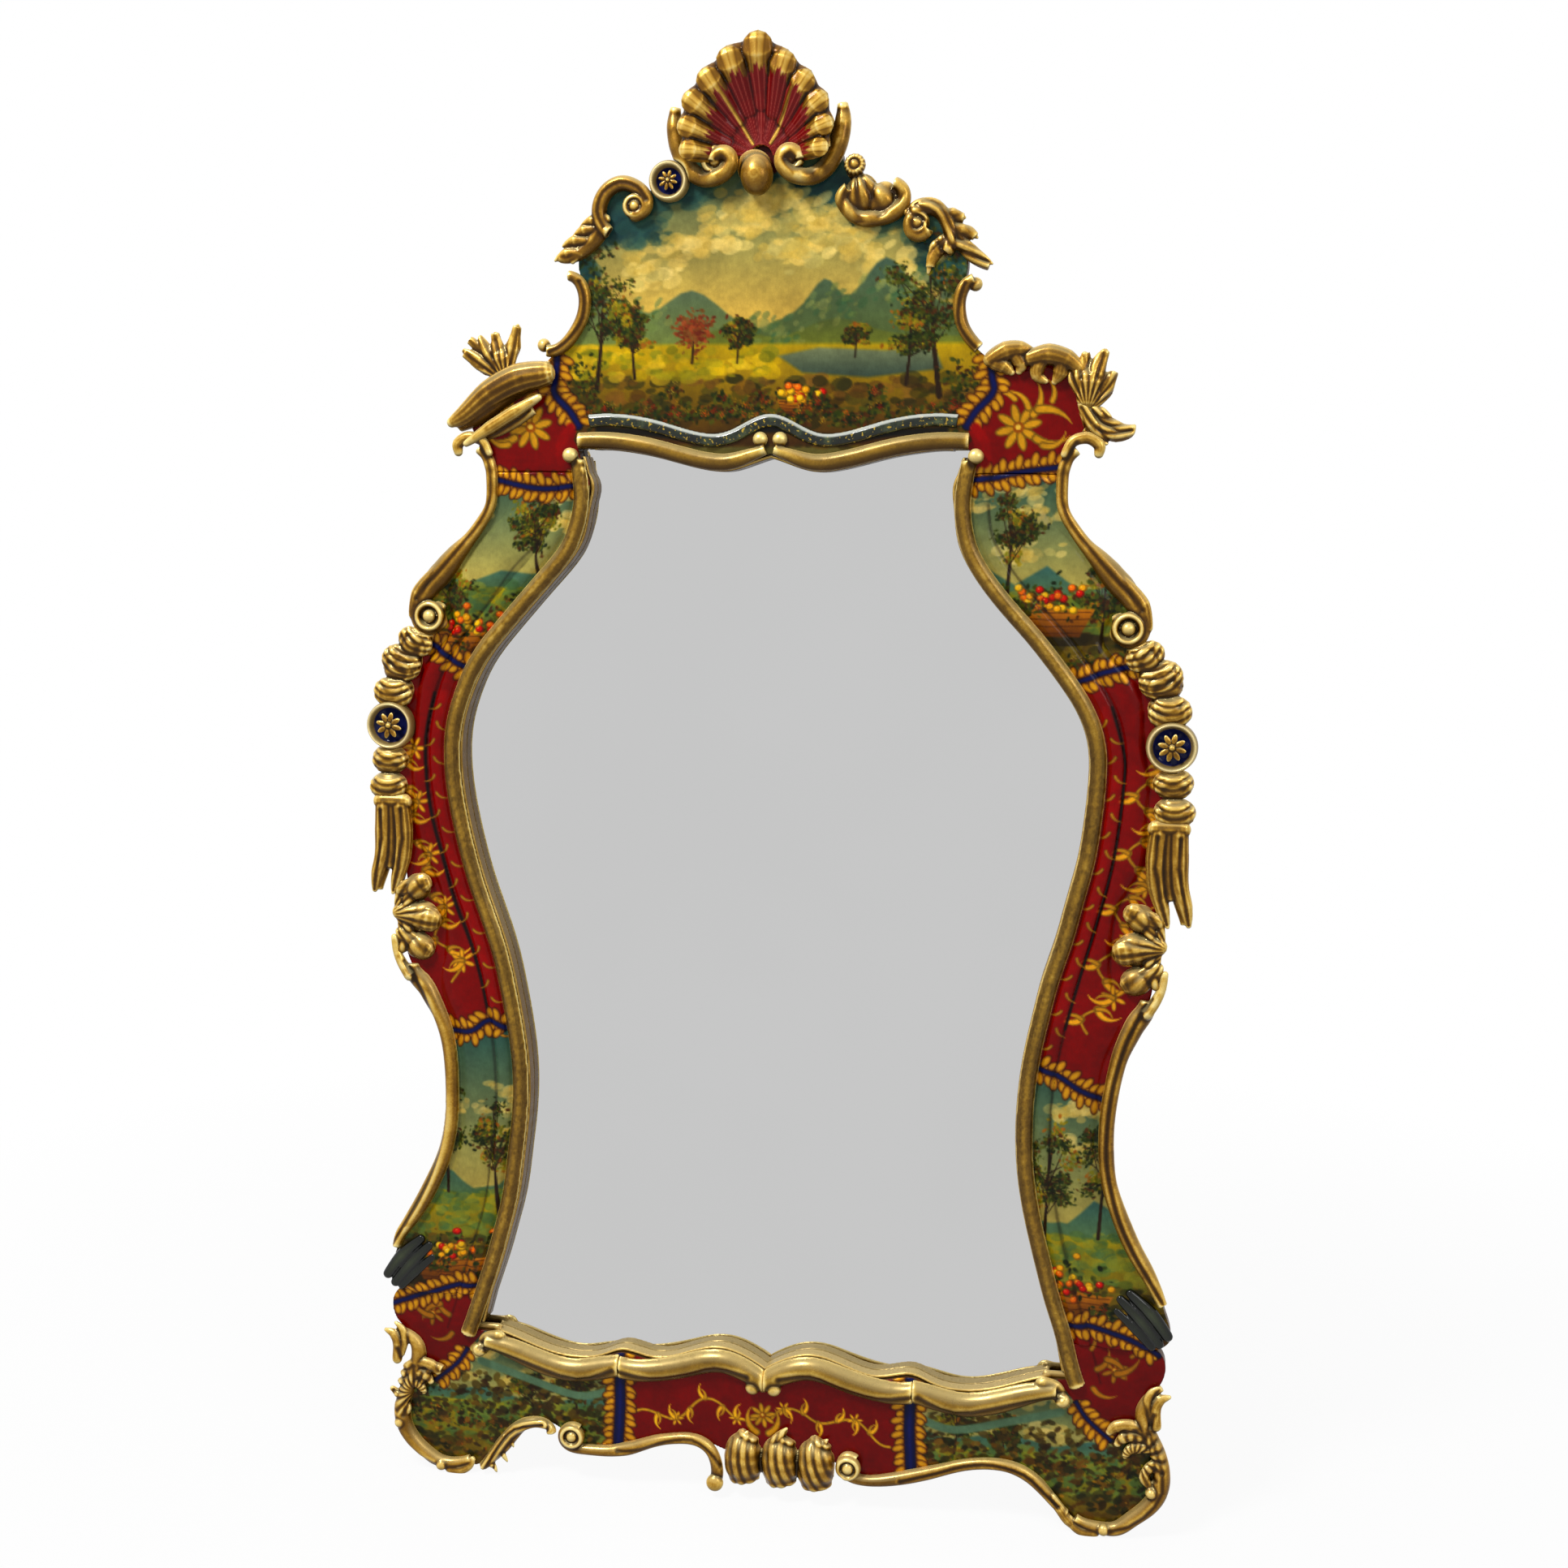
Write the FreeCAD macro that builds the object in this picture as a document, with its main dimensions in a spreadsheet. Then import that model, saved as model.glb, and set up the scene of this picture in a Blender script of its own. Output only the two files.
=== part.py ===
import FreeCAD, Part
import math
import os
import Sketcher
from FreeCAD import Matrix, Placement, Rotation, Vector

# A carved, gilded and painted wall mirror in the Venetian taste, built as a joiner builds it:
# four painted boards joined by plates and battens at the back, a shaped glass behind them,
# and gilt mouldings and carvings glued on their front.
#
# The frame of reference: X to the right, Z up, the front faces -Y. The wall is the plane Y = 0,
# and the origin is the middle of the crest batten's back face.
#
# Outlines are drawn as a carver draws a template, on a grid of squares. The points of the
# tables are in squares from the centre line and from the lowest foot of the frame.

doc = FreeCAD.newDocument("PaintedMirror")
sheet = doc.addObject("Spreadsheet::Sheet", "Sizes")

DRIVING_SIZES = (
    ("square_across", 100.0, "side of a template square, across"),
    ("square_up", 100.0, "side of a template square, upwards"),
    ("batten_thickness", 12.0, "stand-off of the boards from the wall"),
    ("board_thickness", 22.0, "thickness of the four painted boards at their edges"),
    ("field_rise", 8.0, "crown of the wide painted field of a stile"),
    ("bead_rise", 5.0, "crown of the narrow painted bead of a stile"),
    ("bead_width", 19.0, "width of the narrow painted bead of a stile"),
    ("joint_gap", 0.4, "glue line between two boards"),
    ("glass_thickness", 4.0, "mirror glass"),
    ("backboard_thickness", 5.0, "plywood behind the glass"),
    ("glass_bite", 12.0, "overlap of the glass behind the boards"),
    ("seat_gap", 0.3, "clearance between parts that lie beside each other"),
    ("slip_width", 4.0, "gilt slip that lines the sight edge"),
    ("slip_setback", 4.0, "front of the slip behind the front of the boards"),
    ("sight_width", 22.0, "half-round sight moulding"),
    ("sight_rise", 10.0, "height of the sight moulding"),
    ("sight_overhang", 5.0, "sight moulding past the edge of its board"),
    ("sight_eye_radius", 9.5, "balls that end the sight mouldings"),
    ("bottom_sight_width", 33.0, "double moulding over the bottom board"),
    ("bottom_sight_rise", 15.0, "height of the bottom sight moulding"),
    ("crest_bead_width", 17.0, "dark bead over the top sight moulding"),
    ("crest_bead_rise", 6.0, "height of the dark bead"),
    ("upper_lip_width", 31.0, "upper outer moulding at its widest"),
    ("upper_lip_rise", 14.0, "height of the upper outer moulding"),
    ("lip_volute_radius", 25.0, "volute of the upper outer moulding, over all"),
    ("lip_eye_radius", 8.0, "ball in the volute of the upper outer moulding"),
    ("lower_lip_width", 27.0, "lower outer moulding at its widest"),
    ("lower_lip_rise", 12.0, "height of the lower outer moulding"),
    ("disc_width", 54.0, "carved disc of the side chain, across"),
    ("disc_height", 40.0, "carved disc of the side chain, upwards"),
    ("disc_rise", 17.0, "height of a carved disc"),
    ("roundel_radius", 31.0, "side roundel"),
    ("roundel_rise", 18.0, "rim of the side roundel"),
    ("roundel_well_radius", 23.0, "blue well of the side roundel"),
    ("petal_length", 13.0, "petal of the flower in a roundel"),
    ("petal_width", 7.0, "petal of the flower in a roundel"),
    ("petal_thickness", 2.5, "petal of the flower in a roundel"),
    ("drop_width", 24.0, "one lobe of the hanging drop"),
    ("drop_rise", 12.0, "height of the hanging drop"),
    ("fan_width", 46.0, "lobe of the side rocaille"),
    ("fan_rise", 17.0, "height of the side rocaille"),
    ("corner_scroll_width", 23.0, "corner scroll at its widest"),
    ("corner_scroll_rise", 13.0, "height of the corner scroll"),
    ("edge_width", 18.0, "scroll along the bottom edge"),
    ("edge_rise", 11.0, "height of the bottom edge scroll"),
    ("rocaille_width", 52.0, "bulging lobe in the middle of the bottom edge"),
    ("rocaille_rise", 22.0, "height of the bottom lobes"),
    ("edging_width", 14.0, "edging of the crest"),
    ("edging_rise", 11.0, "height of the crest edging"),
    ("crest_scroll_width", 16.0, "scrolls on the crest"),
    ("crest_scroll_rise", 14.0, "height of the crest scrolls"),
    ("leaf_width", 17.0, "leaf at its widest"),
    ("leaf_rise", 10.0, "height of a leaf"),
    ("crest_roundel_radius", 24.5, "small roundel beside the shell"),
    ("crest_roundel_rise", 16.0, "rim of the small roundel"),
    ("crest_well_radius", 16.0, "blue well of the small roundel"),
    ("shell_reach", 141.0, "longest ridge of the shell from its hub"),
    ("shell_hub_radius", 14.0, "inner end of the shell's ridges"),
    ("shell_floor", 9.0, "thickness of the shell near its hub"),
    ("shell_rise", 38.0, "height of the shell's rim"),
    ("flute_depth", 5.0, "valleys between the shell's ridges"),
    ("shell_scroll_width", 18.0, "scroll that holds the shell"),
    ("shell_scroll_rise", 17.0, "height of the scroll that holds the shell"),
    ("ball_radius", 19.5, "gilt ball under the shell, across"),
    ("ball_height", 24.0, "gilt ball under the shell, half its height"),
    ("roll_width", 38.0, "bulging roll on the left shoulder"),
    ("roll_rise", 19.0, "height of the shoulder roll"),
    ("loop_width", 14.0, "hollow bead under the shoulder roll"),
    ("loop_rise", 6.0, "height of the hollow bead"),
    ("plate_width", 50.0, "joint plate across a board joint"),
    ("upper_plate_length", 190.0, "joint plate between stile and crest"),
    ("lower_plate_length", 250.0, "joint plate between stile and bottom board"),
    ("batten_length", 420.0, "batten across the crest and the bottom board"),
    ("batten_height", 52.0, "width of a batten"),
    ("batten_chamfer", 2.0, "broken edges of the battens"),
    ("cleat_length", 46.0, "block that holds the backboard"),
    ("cleat_width", 22.0, "block that holds the backboard"),
    ("cleat_lip", 2.0, "lip of the block over the backboard"),
    ("screw_head_radius", 4.0, "countersunk wood screw"),
    ("screw_shank_radius", 1.9, "countersunk wood screw"),
    ("screw_head_height", 2.4, "countersunk wood screw"),
    ("screw_length", 26.0, "screw through a batten or plate"),
    ("strap_width", 15.0, "hanger strap"),
    ("strap_length", 44.0, "hanger strap"),
    ("strap_thickness", 1.5, "hanger strap"),
    ("strap_hole_radius", 2.3, "screw hole of the hanger strap"),
    ("hanger_screw_length", 14.0, "screw of the hanger"),
    ("ring_wire_radius", 1.5, "wire of the hanging ring"),
    ("ring_inner_radius", 10.0, "bend of the hanging ring"),
    ("ring_clearance", 0.3, "play of the ring in the strap's eye"),
    ("overrun", 1.0, "extra reach of a cutting tool"),
)

for row, (alias, value, note) in enumerate(DRIVING_SIZES, start=1):
    sheet.set("A%d" % row, note)
    sheet.set("B%d" % row, "%g" % value)
    sheet.setAlias("B%d" % row, alias)
doc.recompute()


def size(alias):
    return float(sheet.get(alias))


SQUARE_ACROSS = size("square_across")
SQUARE_UP = size("square_up")
BACK_DEPTH = size("batten_thickness")
SEAT_DEPTH = BACK_DEPTH + size("board_thickness")
SEAT_GAP = size("seat_gap")

# The crest batten's middle, in squares: the origin of the part.
ORIGIN_UP_SHARE = 14.30
ORIGIN = Vector(0, 0, ORIGIN_UP_SHARE * SQUARE_UP)

sub_parts = []


def at(across, up, depth=0.0):
    """A point of the template, at a depth in front of the wall."""
    return Vector(across * SQUARE_ACROSS, -depth, up * SQUARE_UP)


def keep(label, shape):
    """A sub-part whose shape was made with Part's own functions."""
    if shape.Volume < 0:
        shape.reverse()
    feature = doc.addObject("Part::Feature", label)
    feature.Label = label
    feature.Shape = shape
    feature.Placement = Placement(-ORIGIN, Rotation()).multiply(shape.Placement)
    sub_parts.append(feature)
    return feature


def keep_object(feature, label):
    """A sub-part that is an object of the document with its own placement."""
    feature.Label = label
    sub_parts.append(feature)
    return feature


def bind(feature, expressions):
    for name, expression in expressions.items():
        feature.setExpression(name, expression)


def new_sketch(body, name, role, height=""):
    """A sketch on one of its body's planes, raised by an expression."""
    planes = {feature.Role: feature for feature in body.Origin.OriginFeatures}
    sketch = body.newObject("Sketcher::SketchObject", name)
    sketch.AttachmentSupport = [(planes[role], "")]
    sketch.MapMode = "FlatFace"
    if height:
        sketch.setExpression("AttachmentOffset.Base.z", height)
    return sketch


def pin_point(sketch, geometry, point, expressions):
    """Ties a point of a sketch to two expressions, measured from the sketch's origin."""
    for kind, expression in zip(("DistanceX", "DistanceY"), expressions):
        value = sheet.evalExpression(expression)
        index = sketch.addConstraint(Sketcher.Constraint(kind, -1, 1, geometry, point, value))
        sketch.setExpression("Constraints[%d]" % index, expression)


def add_polygon(sketch, corners):
    """A closed outline whose corners are pairs of expressions."""
    places = [Vector(*[sheet.evalExpression(text) for text in corner]) for corner in corners]
    first = sketch.GeometryCount
    count = len(corners)
    for index in range(count):
        line = Part.LineSegment(places[index], places[(index + 1) % count])
        sketch.addGeometry(line, False)
    for index in range(count):
        after = first + (index + 1) % count
        sketch.addConstraint(Sketcher.Constraint("Coincident", first + index, 2, after, 1))
        pin_point(sketch, first + index, 1, corners[index])


def add_circle(sketch, centre, radius):
    place = Vector(*[sheet.evalExpression(text) for text in centre])
    circle = Part.Circle(place, Vector(0, 0, 1), sheet.evalExpression(radius))
    index = sketch.addGeometry(circle, False)
    pin_point(sketch, index, 3, centre)
    constraint = sketch.addConstraint(Sketcher.Constraint("Radius", index, circle.Radius))
    sketch.setExpression("Constraints[%d]" % constraint, radius)


def pad(body, name, sketch, length):
    feature = body.newObject("PartDesign::Pad", name)
    feature.Profile = sketch
    feature.setExpression("Length", length)
    doc.recompute()
    return feature


def pocket(body, name, sketch, length):
    feature = body.newObject("PartDesign::Pocket", name)
    feature.Profile = sketch
    feature.setExpression("Length", length)
    doc.recompute()
    return feature


def spline(points, closed=False):
    curve = Part.BSplineCurve()
    curve.interpolate(points, PeriodicFlag=closed)
    return curve


def share_along(shares, fraction):
    """The value of an evenly spaced list of shares at a fraction of its length."""
    place = fraction * (len(shares) - 1)
    first = min(int(place), len(shares) - 2)
    rest = place - first
    return shares[first] * (1 - rest) + shares[first + 1] * rest


def loft(sections, ruled=False):
    solid = Part.makeLoft(sections, True, ruled)
    if solid.Volume < 0:
        solid.reverse()
    return solid


def fused(shapes):
    whole = shapes[0].multiFuse(list(shapes[1:])) if len(shapes) > 1 else shapes[0]
    if len(whole.Solids) == 1:
        return whole.Solids[0]
    return whole


def strip(path, width, rise, width_shares=(1, 1), rise_shares=(1, 1), seat=SEAT_DEPTH,
          lift_shares=(0, 0), lift=0.0):
    """A moulding with a flat back along a smooth path, wider and narrower along its length."""
    curve = spline(path)
    count = 2 * len(path) + 1
    sections = []
    for index, centre in enumerate(curve.discretize(Number=count)):
        fraction = index / (count - 1)
        along = Vector(*curve.tangent(curve.parameter(centre))[0])
        side = Vector(along.z, 0, -along.x)
        half = 0.5 * width * share_along(width_shares, fraction)
        top = rise * share_along(rise_shares, fraction)
        base = Vector(0, -seat - lift * share_along(lift_shares, fraction), 0)
        left = centre + base - side * half
        right = centre + base + side * half
        crown = centre + base + Vector(0, -top, 0)
        front = Part.Arc(left, crown, right).toShape()
        sections.append(Part.Wire([front, Part.makeLine(right, left)]))
    return loft(sections)


def dome(centre, half_across, half_up, rise, tilt=0.0, seat=SEAT_DEPTH):
    """Half an egg on a flat back, turned in its own plane by tilt degrees."""
    ball = Part.makeSphere(1.0, Vector(), Vector(0, -1, 0), 0, 90)
    shaping = Matrix()
    shaping.scale(half_across, rise, half_up)
    ball = ball.transformGeometry(shaping)
    ball.rotate(Vector(), Vector(0, 1, 0), tilt)
    ball.translate(centre + Vector(0, -seat, 0))
    return ball


def eye(centre, radius, seat=SEAT_DEPTH, rise_share=1.0):
    """The ball in the middle of a volute."""
    return dome(centre, radius, radius, radius * rise_share, 0.0, seat)


def template(shares, side=1):
    return [at(side * across, up) for across, up in shares]


def plate(edges, front, back):
    """A board cut to an outline, between two depths in front of the wall."""
    face = Part.Face(Part.Wire(Part.__sortEdges__(edges)))
    board = face.extrude(Vector(0, -(front - back), 0))
    board.translate(Vector(0, -back, 0))
    return board


LEFT = -1
RIGHT = 1
SIDE_NAMES = {LEFT: "left", RIGHT: "right"}

# One row for each height of a stile: up, middle of the sight moulding, outer edge of the painted
# field, outer edge of the board, all in squares.
STILE_SHARES = {
    RIGHT: (
        (13.38, 2.40, 3.33, 3.57), (13.00, 2.36, 3.34, 3.57), (12.76, 2.385, 3.48, 3.68),
        (12.53, 2.44, 3.73, 3.89),
        (12.12, 2.67, 4.02, 4.28), (11.80, 2.93, 4.20, 4.50), (11.46, 3.24, 4.08, 4.50),
        (11.00, 3.61, 4.42, 4.72), (10.58, 3.89, 4.58, 4.90), (10.16, 4.04, 4.60, 4.96),
        (9.70, 4.06, 4.68, 4.98), (9.20, 4.02, 4.66, 4.97), (8.70, 3.95, 4.64, 4.90),
        (8.20, 3.83, 4.36, 4.82), (7.70, 3.71, 4.28, 4.80), (7.20, 3.56, 4.32, 4.80),
        (6.80, 3.47, 4.44, 4.70), (6.30, 3.37, 4.28, 4.47), (5.70, 3.30, 4.18, 4.33),
        (5.10, 3.29, 4.16, 4.32), (4.50, 3.35, 4.25, 4.45), (3.90, 3.48, 4.46, 4.70),
        (3.40, 3.61, 4.74, 4.98), (3.05, 3.71, 4.92, 5.08), (2.75, 3.81, 5.12, 5.17),
        (2.54, 3.87, 4.96, 5.01),
    ),
    LEFT: (
        (13.38, 2.41, 3.33, 3.57), (13.00, 2.39, 3.34, 3.59), (12.76, 2.44, 3.48, 3.69),
        (12.53, 2.52, 3.73, 3.90),
        (12.12, 2.83, 4.01, 4.28), (11.80, 3.12, 4.18, 4.48), (11.46, 3.42, 4.08, 4.52),
        (11.00, 3.78, 4.42, 4.72), (10.58, 3.98, 4.57, 4.90), (10.16, 4.10, 4.60, 4.96),
        (9.70, 4.13, 4.68, 4.98), (9.20, 4.08, 4.66, 4.97), (8.70, 3.98, 4.62, 4.90),
        (8.20, 3.85, 4.34, 4.78), (7.70, 3.68, 4.26, 4.77), (7.20, 3.52, 4.28, 4.80),
        (6.80, 3.43, 4.34, 4.62), (6.30, 3.34, 4.18, 4.38), (5.70, 3.27, 4.07, 4.23),
        (5.10, 3.28, 4.07, 4.22), (4.50, 3.35, 4.15, 4.34), (3.90, 3.44, 4.40, 4.62),
        (3.40, 3.57, 4.70, 4.92), (3.05, 3.67, 4.88, 5.04), (2.75, 3.77, 5.08, 5.12),
        (2.54, 3.84, 4.96, 5.00),
    ),
}

# The outer outline of the crest board, from the right joint over the top to the left joint.
CREST_OUTLINE_SHARES = (
    (3.57, 13.38), (3.60, 13.58), (3.72, 13.80), (3.84, 14.10), (3.72, 14.48), (3.30, 14.58),
    (2.90, 14.62), (2.60, 14.76), (2.38, 14.99), (2.28, 15.28), (2.33, 15.62), (2.36, 15.95),
    (2.16, 16.28), (1.84, 16.46), (1.56, 16.52), (1.34, 16.70), (1.02, 16.80), (0.86, 17.05),
    (0.74, 17.50), (0.30, 17.85), (-0.20, 17.98), (-0.66, 17.82), (-0.98, 17.40), (-1.14, 17.00),
    (-1.32, 16.80), (-1.58, 16.76), (-1.92, 16.84), (-2.10, 16.60), (-2.18, 16.25), (-2.40, 15.95),
    (-2.34, 15.62), (-2.33, 15.30), (-2.46, 15.05), (-2.66, 14.88), (-2.95, 14.62), (-3.35, 14.44),
    (-3.72, 14.18), (-3.78, 13.84), (-3.63, 13.60), (-3.57, 13.38),
)

# The middle line of the top sight moulding, from the cusp to the right corner.
TOP_SIGHT_SHARES = (
    (0.00, 13.68), (0.24, 13.60), (0.52, 13.52), (0.85, 13.54), (1.42, 13.68), (1.90, 13.76),
    (2.20, 13.775), (2.44, 13.73),
)

# The upper edge of the bottom sight moulding, from the middle to the right end.
BOTTOM_SIGHT_SHARES = (
    (0.00, 1.83), (0.22, 1.96), (0.60, 2.07), (1.00, 1.98), (1.50, 1.86), (1.95, 1.93),
    (2.20, 1.83), (2.54, 1.77), (3.00, 1.84), (3.45, 2.00), (3.93, 2.09),
)

# The outer outline of the bottom board, from the right joint under the bottom to the left joint.
BOTTOM_OUTLINE_SHARES = (
    (5.01, 2.54), (5.12, 2.34), (5.06, 2.08), (4.88, 1.82), (4.90, 1.56), (5.03, 1.26),
    (5.12, 0.86), (5.04, 0.52), (4.78, 0.28), (4.44, 0.14), (4.12, 0.16), (3.86, 0.34),
    (3.62, 0.58), (3.32, 0.78), (2.94, 0.84), (2.50, 0.74), (2.00, 0.58), (1.40, 0.48),
    (1.02, 0.62), (0.50, 0.68), (0.00, 0.66), (-0.46, 0.66), (-0.80, 0.78), (-1.20, 0.79),
    (-1.70, 0.62), (-2.10, 0.52), (-2.50, 0.54), (-2.80, 0.78), (-3.12, 0.84), (-3.40, 0.64),
    (-3.62, 0.34), (-3.90, 0.14), (-4.30, 0.14), (-4.64, 0.26), (-4.90, 0.52), (-4.96, 0.86),
    (-4.84, 1.22), (-4.72, 1.54), (-4.78, 1.84), (-5.02, 2.08), (-5.10, 2.32), (-5.00, 2.54),
)

UP, SIGHT, FIELD, EDGE = range(4)
EDGE_OFFSET = 0.5 * size("sight_width") - size("sight_overhang")


def slants(line):
    """How much longer a level cut through a line of (across, up) places is than a square one."""
    lengths = []
    for index in range(len(line)):
        before = line[max(index - 1, 0)]
        after = line[min(index + 1, len(line) - 1)]
        run = after[0] - before[0]
        rise = after[1] - before[1]
        lengths.append(math.hypot(run, rise) / abs(rise))
    return lengths


def sight_line(side):
    """The middle of a side's sight moulding: (across, up) for each row of the stile."""
    return [(row[SIGHT] * SQUARE_ACROSS, row[UP] * SQUARE_UP) for row in STILE_SHARES[side]]


def stile(side):
    """A stile as sections across it: a flat under the sight moulding, a bead, a crowned field."""
    ledge = 0.5 * size("sight_width") + 6 * SEAT_GAP
    sections = []
    for row, slant in zip(STILE_SHARES[side], slants(sight_line(side))):
        up = row[UP]
        sight = row[SIGHT] * SQUARE_ACROSS
        inner = sight - EDGE_OFFSET * slant
        bead = sight + ledge * slant
        groove = bead + size("bead_width") * slant
        field = max(row[FIELD] * SQUARE_ACROSS, groove + size("bead_width"))
        edge = max(row[EDGE] * SQUARE_ACROSS, field + SEAT_GAP)

        def corner(across, depth):
            return Vector(side * across, -depth, up * SQUARE_UP)

        back_inner = corner(inner, BACK_DEPTH)
        back_outer = corner(edge, BACK_DEPTH)
        front_outer = corner(edge, SEAT_DEPTH)
        field_outer = corner(field, SEAT_DEPTH)
        field_crown = corner(0.5 * (field + groove), SEAT_DEPTH + size("field_rise"))
        groove_floor = corner(groove, SEAT_DEPTH)
        bead_crown = corner(0.5 * (groove + bead), SEAT_DEPTH + size("bead_rise"))
        bead_inner = corner(bead, SEAT_DEPTH)
        front_inner = corner(inner, SEAT_DEPTH)
        sections.append(Part.Wire([
            Part.makeLine(back_inner, back_outer),
            Part.makeLine(back_outer, front_outer),
            Part.makeLine(front_outer, field_outer),
            Part.Arc(field_outer, field_crown, groove_floor).toShape(),
            Part.Arc(groove_floor, bead_crown, bead_inner).toShape(),
            Part.makeLine(bead_inner, front_inner),
            Part.makeLine(front_inner, back_inner),
        ]))
    return loft(sections)


def sight_points(side, top_share, bottom_share, offset=0.0):
    """The sight line of one side between two heights, moved towards the glass by an offset."""
    points = []
    for row in STILE_SHARES[side]:
        if bottom_share < row[UP] < top_share:
            points.append(Vector(side * (row[SIGHT] * SQUARE_ACROSS - offset), 0,
                                 row[UP] * SQUARE_UP))
    return points


def crest_board():
    top = Vector(0, 0, size("joint_gap"))
    outline = [point + top for point in template(CREST_OUTLINE_SHARES)]
    sight_drop = Vector(0, 0, -EDGE_OFFSET)
    edges = [spline(outline).toShape()]
    for side in (RIGHT, LEFT):
        first = STILE_SHARES[side][0]
        slant = slants(sight_line(side))[0]
        curve = [point + sight_drop for point in template(TOP_SIGHT_SHARES, side)]
        corner = Vector(side * (first[SIGHT] * SQUARE_ACROSS - EDGE_OFFSET * slant), 0,
                        first[UP] * SQUARE_UP) + top
        edges.append(spline(curve).toShape())
        edges.append(Part.makeLine(curve[-1], corner))
        edges.append(Part.makeLine(corner, outline[0] if side == RIGHT else outline[-1]))
    return plate(edges, SEAT_DEPTH, BACK_DEPTH)


def bottom_board():
    drop = Vector(0, 0, -size("joint_gap"))
    outline = [point + drop for point in template(BOTTOM_OUTLINE_SHARES)]
    sight_drop = Vector(0, 0, -size("sight_overhang"))
    edges = [spline(outline).toShape()]
    for side in (RIGHT, LEFT):
        last = STILE_SHARES[side][-1]
        slant = slants(sight_line(side))[-1]
        curve = [point + sight_drop for point in template(BOTTOM_SIGHT_SHARES, side)]
        corner = Vector(side * (last[SIGHT] * SQUARE_ACROSS - EDGE_OFFSET * slant), 0,
                        outline[0].z)
        edges.append(spline(curve).toShape())
        edges.append(Part.makeLine(curve[-1], corner))
        edges.append(Part.makeLine(corner, outline[0] if side == RIGHT else outline[-1]))
    return plate(edges, SEAT_DEPTH, BACK_DEPTH)


# Everything that is screwed on at the back: plates over the joints, battens, cleats and hangers.
UPPER_PLATE_SHARE = (3.15, 13.38)
LOWER_PLATE_SHARE = (4.34, 2.53)
BOTTOM_BATTEN_UP_SHARE = 1.10
CLEAT_UP_SHARES = (12.75, 9.70, 5.40)
FOOT_CLEAT_SHARE = (2.90, 1.58)
HANGER_SHARE = (3.60, 12.06)

HEAD_RADIUS = size("screw_head_radius")
SHANK_RADIUS = size("screw_shank_radius")
HEAD_HEIGHT = size("screw_head_height")
BORE_GAP = 0.5 * SEAT_GAP
TOWARDS_FRONT = Vector(0, -1, 0)


def rod(centre, depth, radius, length):
    """A round rod that starts at a depth in front of the wall and runs to the front."""
    return Part.makeCylinder(radius, length, centre + Vector(0, -depth, 0), TOWARDS_FRONT)


def screw(centre, head_depth, length):
    """A screw whose head starts at a depth in front of the wall."""
    head = rod(centre, head_depth, HEAD_RADIUS, HEAD_HEIGHT)
    shank = rod(centre, head_depth + HEAD_HEIGHT, SHANK_RADIUS, length - HEAD_HEIGHT)
    return fused([head, shank])


def bore(centre, head_depth, length):
    """The hole for such a screw, with its counterbore open to the wall."""
    mouth = head_depth + HEAD_HEIGHT + BORE_GAP
    head = rod(centre, -size("overrun"), HEAD_RADIUS + BORE_GAP, mouth + size("overrun"))
    shank = rod(centre, head_depth, SHANK_RADIUS + BORE_GAP, length + BORE_GAP)
    return head.fuse(shank)


def plate_screw_places(centre, length):
    """Four screws of a joint plate, two on each side of the joint."""
    reach = 0.5 * length
    inset = 3 * HEAD_RADIUS
    heights = (-reach + inset, -2 * inset, 2 * inset, reach - inset)
    return [centre + Vector(0, 0, height) for height in heights]


def batten_screw_places(centre):
    reach = 0.5 * size("batten_length") - 4 * HEAD_RADIUS
    return [centre + Vector(across, 0, 0)
            for across in (-reach, -reach / 3, reach / 3, reach)]


plate_centres = []
for side in (LEFT, RIGHT):
    plate_centres.append((at(side * UPPER_PLATE_SHARE[0], UPPER_PLATE_SHARE[1]),
                          size("upper_plate_length")))
    plate_centres.append((at(side * LOWER_PLATE_SHARE[0], LOWER_PLATE_SHARE[1]),
                          size("lower_plate_length")))
plate_screws = []
for centre, length in plate_centres:
    plate_screws.extend(plate_screw_places(centre, length))

batten_centres = [Vector(ORIGIN), at(0, BOTTOM_BATTEN_UP_SHARE)]
batten_screws = []
for centre in batten_centres:
    batten_screws.extend(batten_screw_places(centre))



def sight_across(side, height):
    """The sight line of one side at a height."""
    line = sight_line(side)
    for (top_across, top), (low_across, low) in zip(line, line[1:]):
        if low <= height <= top:
            share = (height - low) / (top - low)
            return low_across + share * (top_across - low_across)
    raise ValueError("the height lies outside the stile")


cleat_places = []
for side in (LEFT, RIGHT):
    clear = size("glass_bite") + 0.5 * size("cleat_width") + size("cleat_lip")
    for up_share in CLEAT_UP_SHARES:
        middle = up_share * SQUARE_UP
        reach = 0.5 * size("cleat_length")
        across = max(sight_across(side, middle + step) for step in (-reach, 0, reach))
        cleat_places.append((Vector(side * (across + clear), 0, middle), -side))
    drop = Vector(0, 0, -0.5 * size("cleat_width") - SEAT_GAP)
    cleat_places.append((at(side * FOOT_CLEAT_SHARE[0], FOOT_CLEAT_SHARE[1]) + drop, 0))

HANGER_HOLE_DROPS = (0.45 * size("strap_length"), 0.82 * size("strap_length"))
hanger_screws = []
for side in (LEFT, RIGHT):
    for drop in HANGER_HOLE_DROPS:
        hanger_screws.append(at(side * HANGER_SHARE[0], HANGER_SHARE[1]) + Vector(0, 0, -drop))

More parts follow.
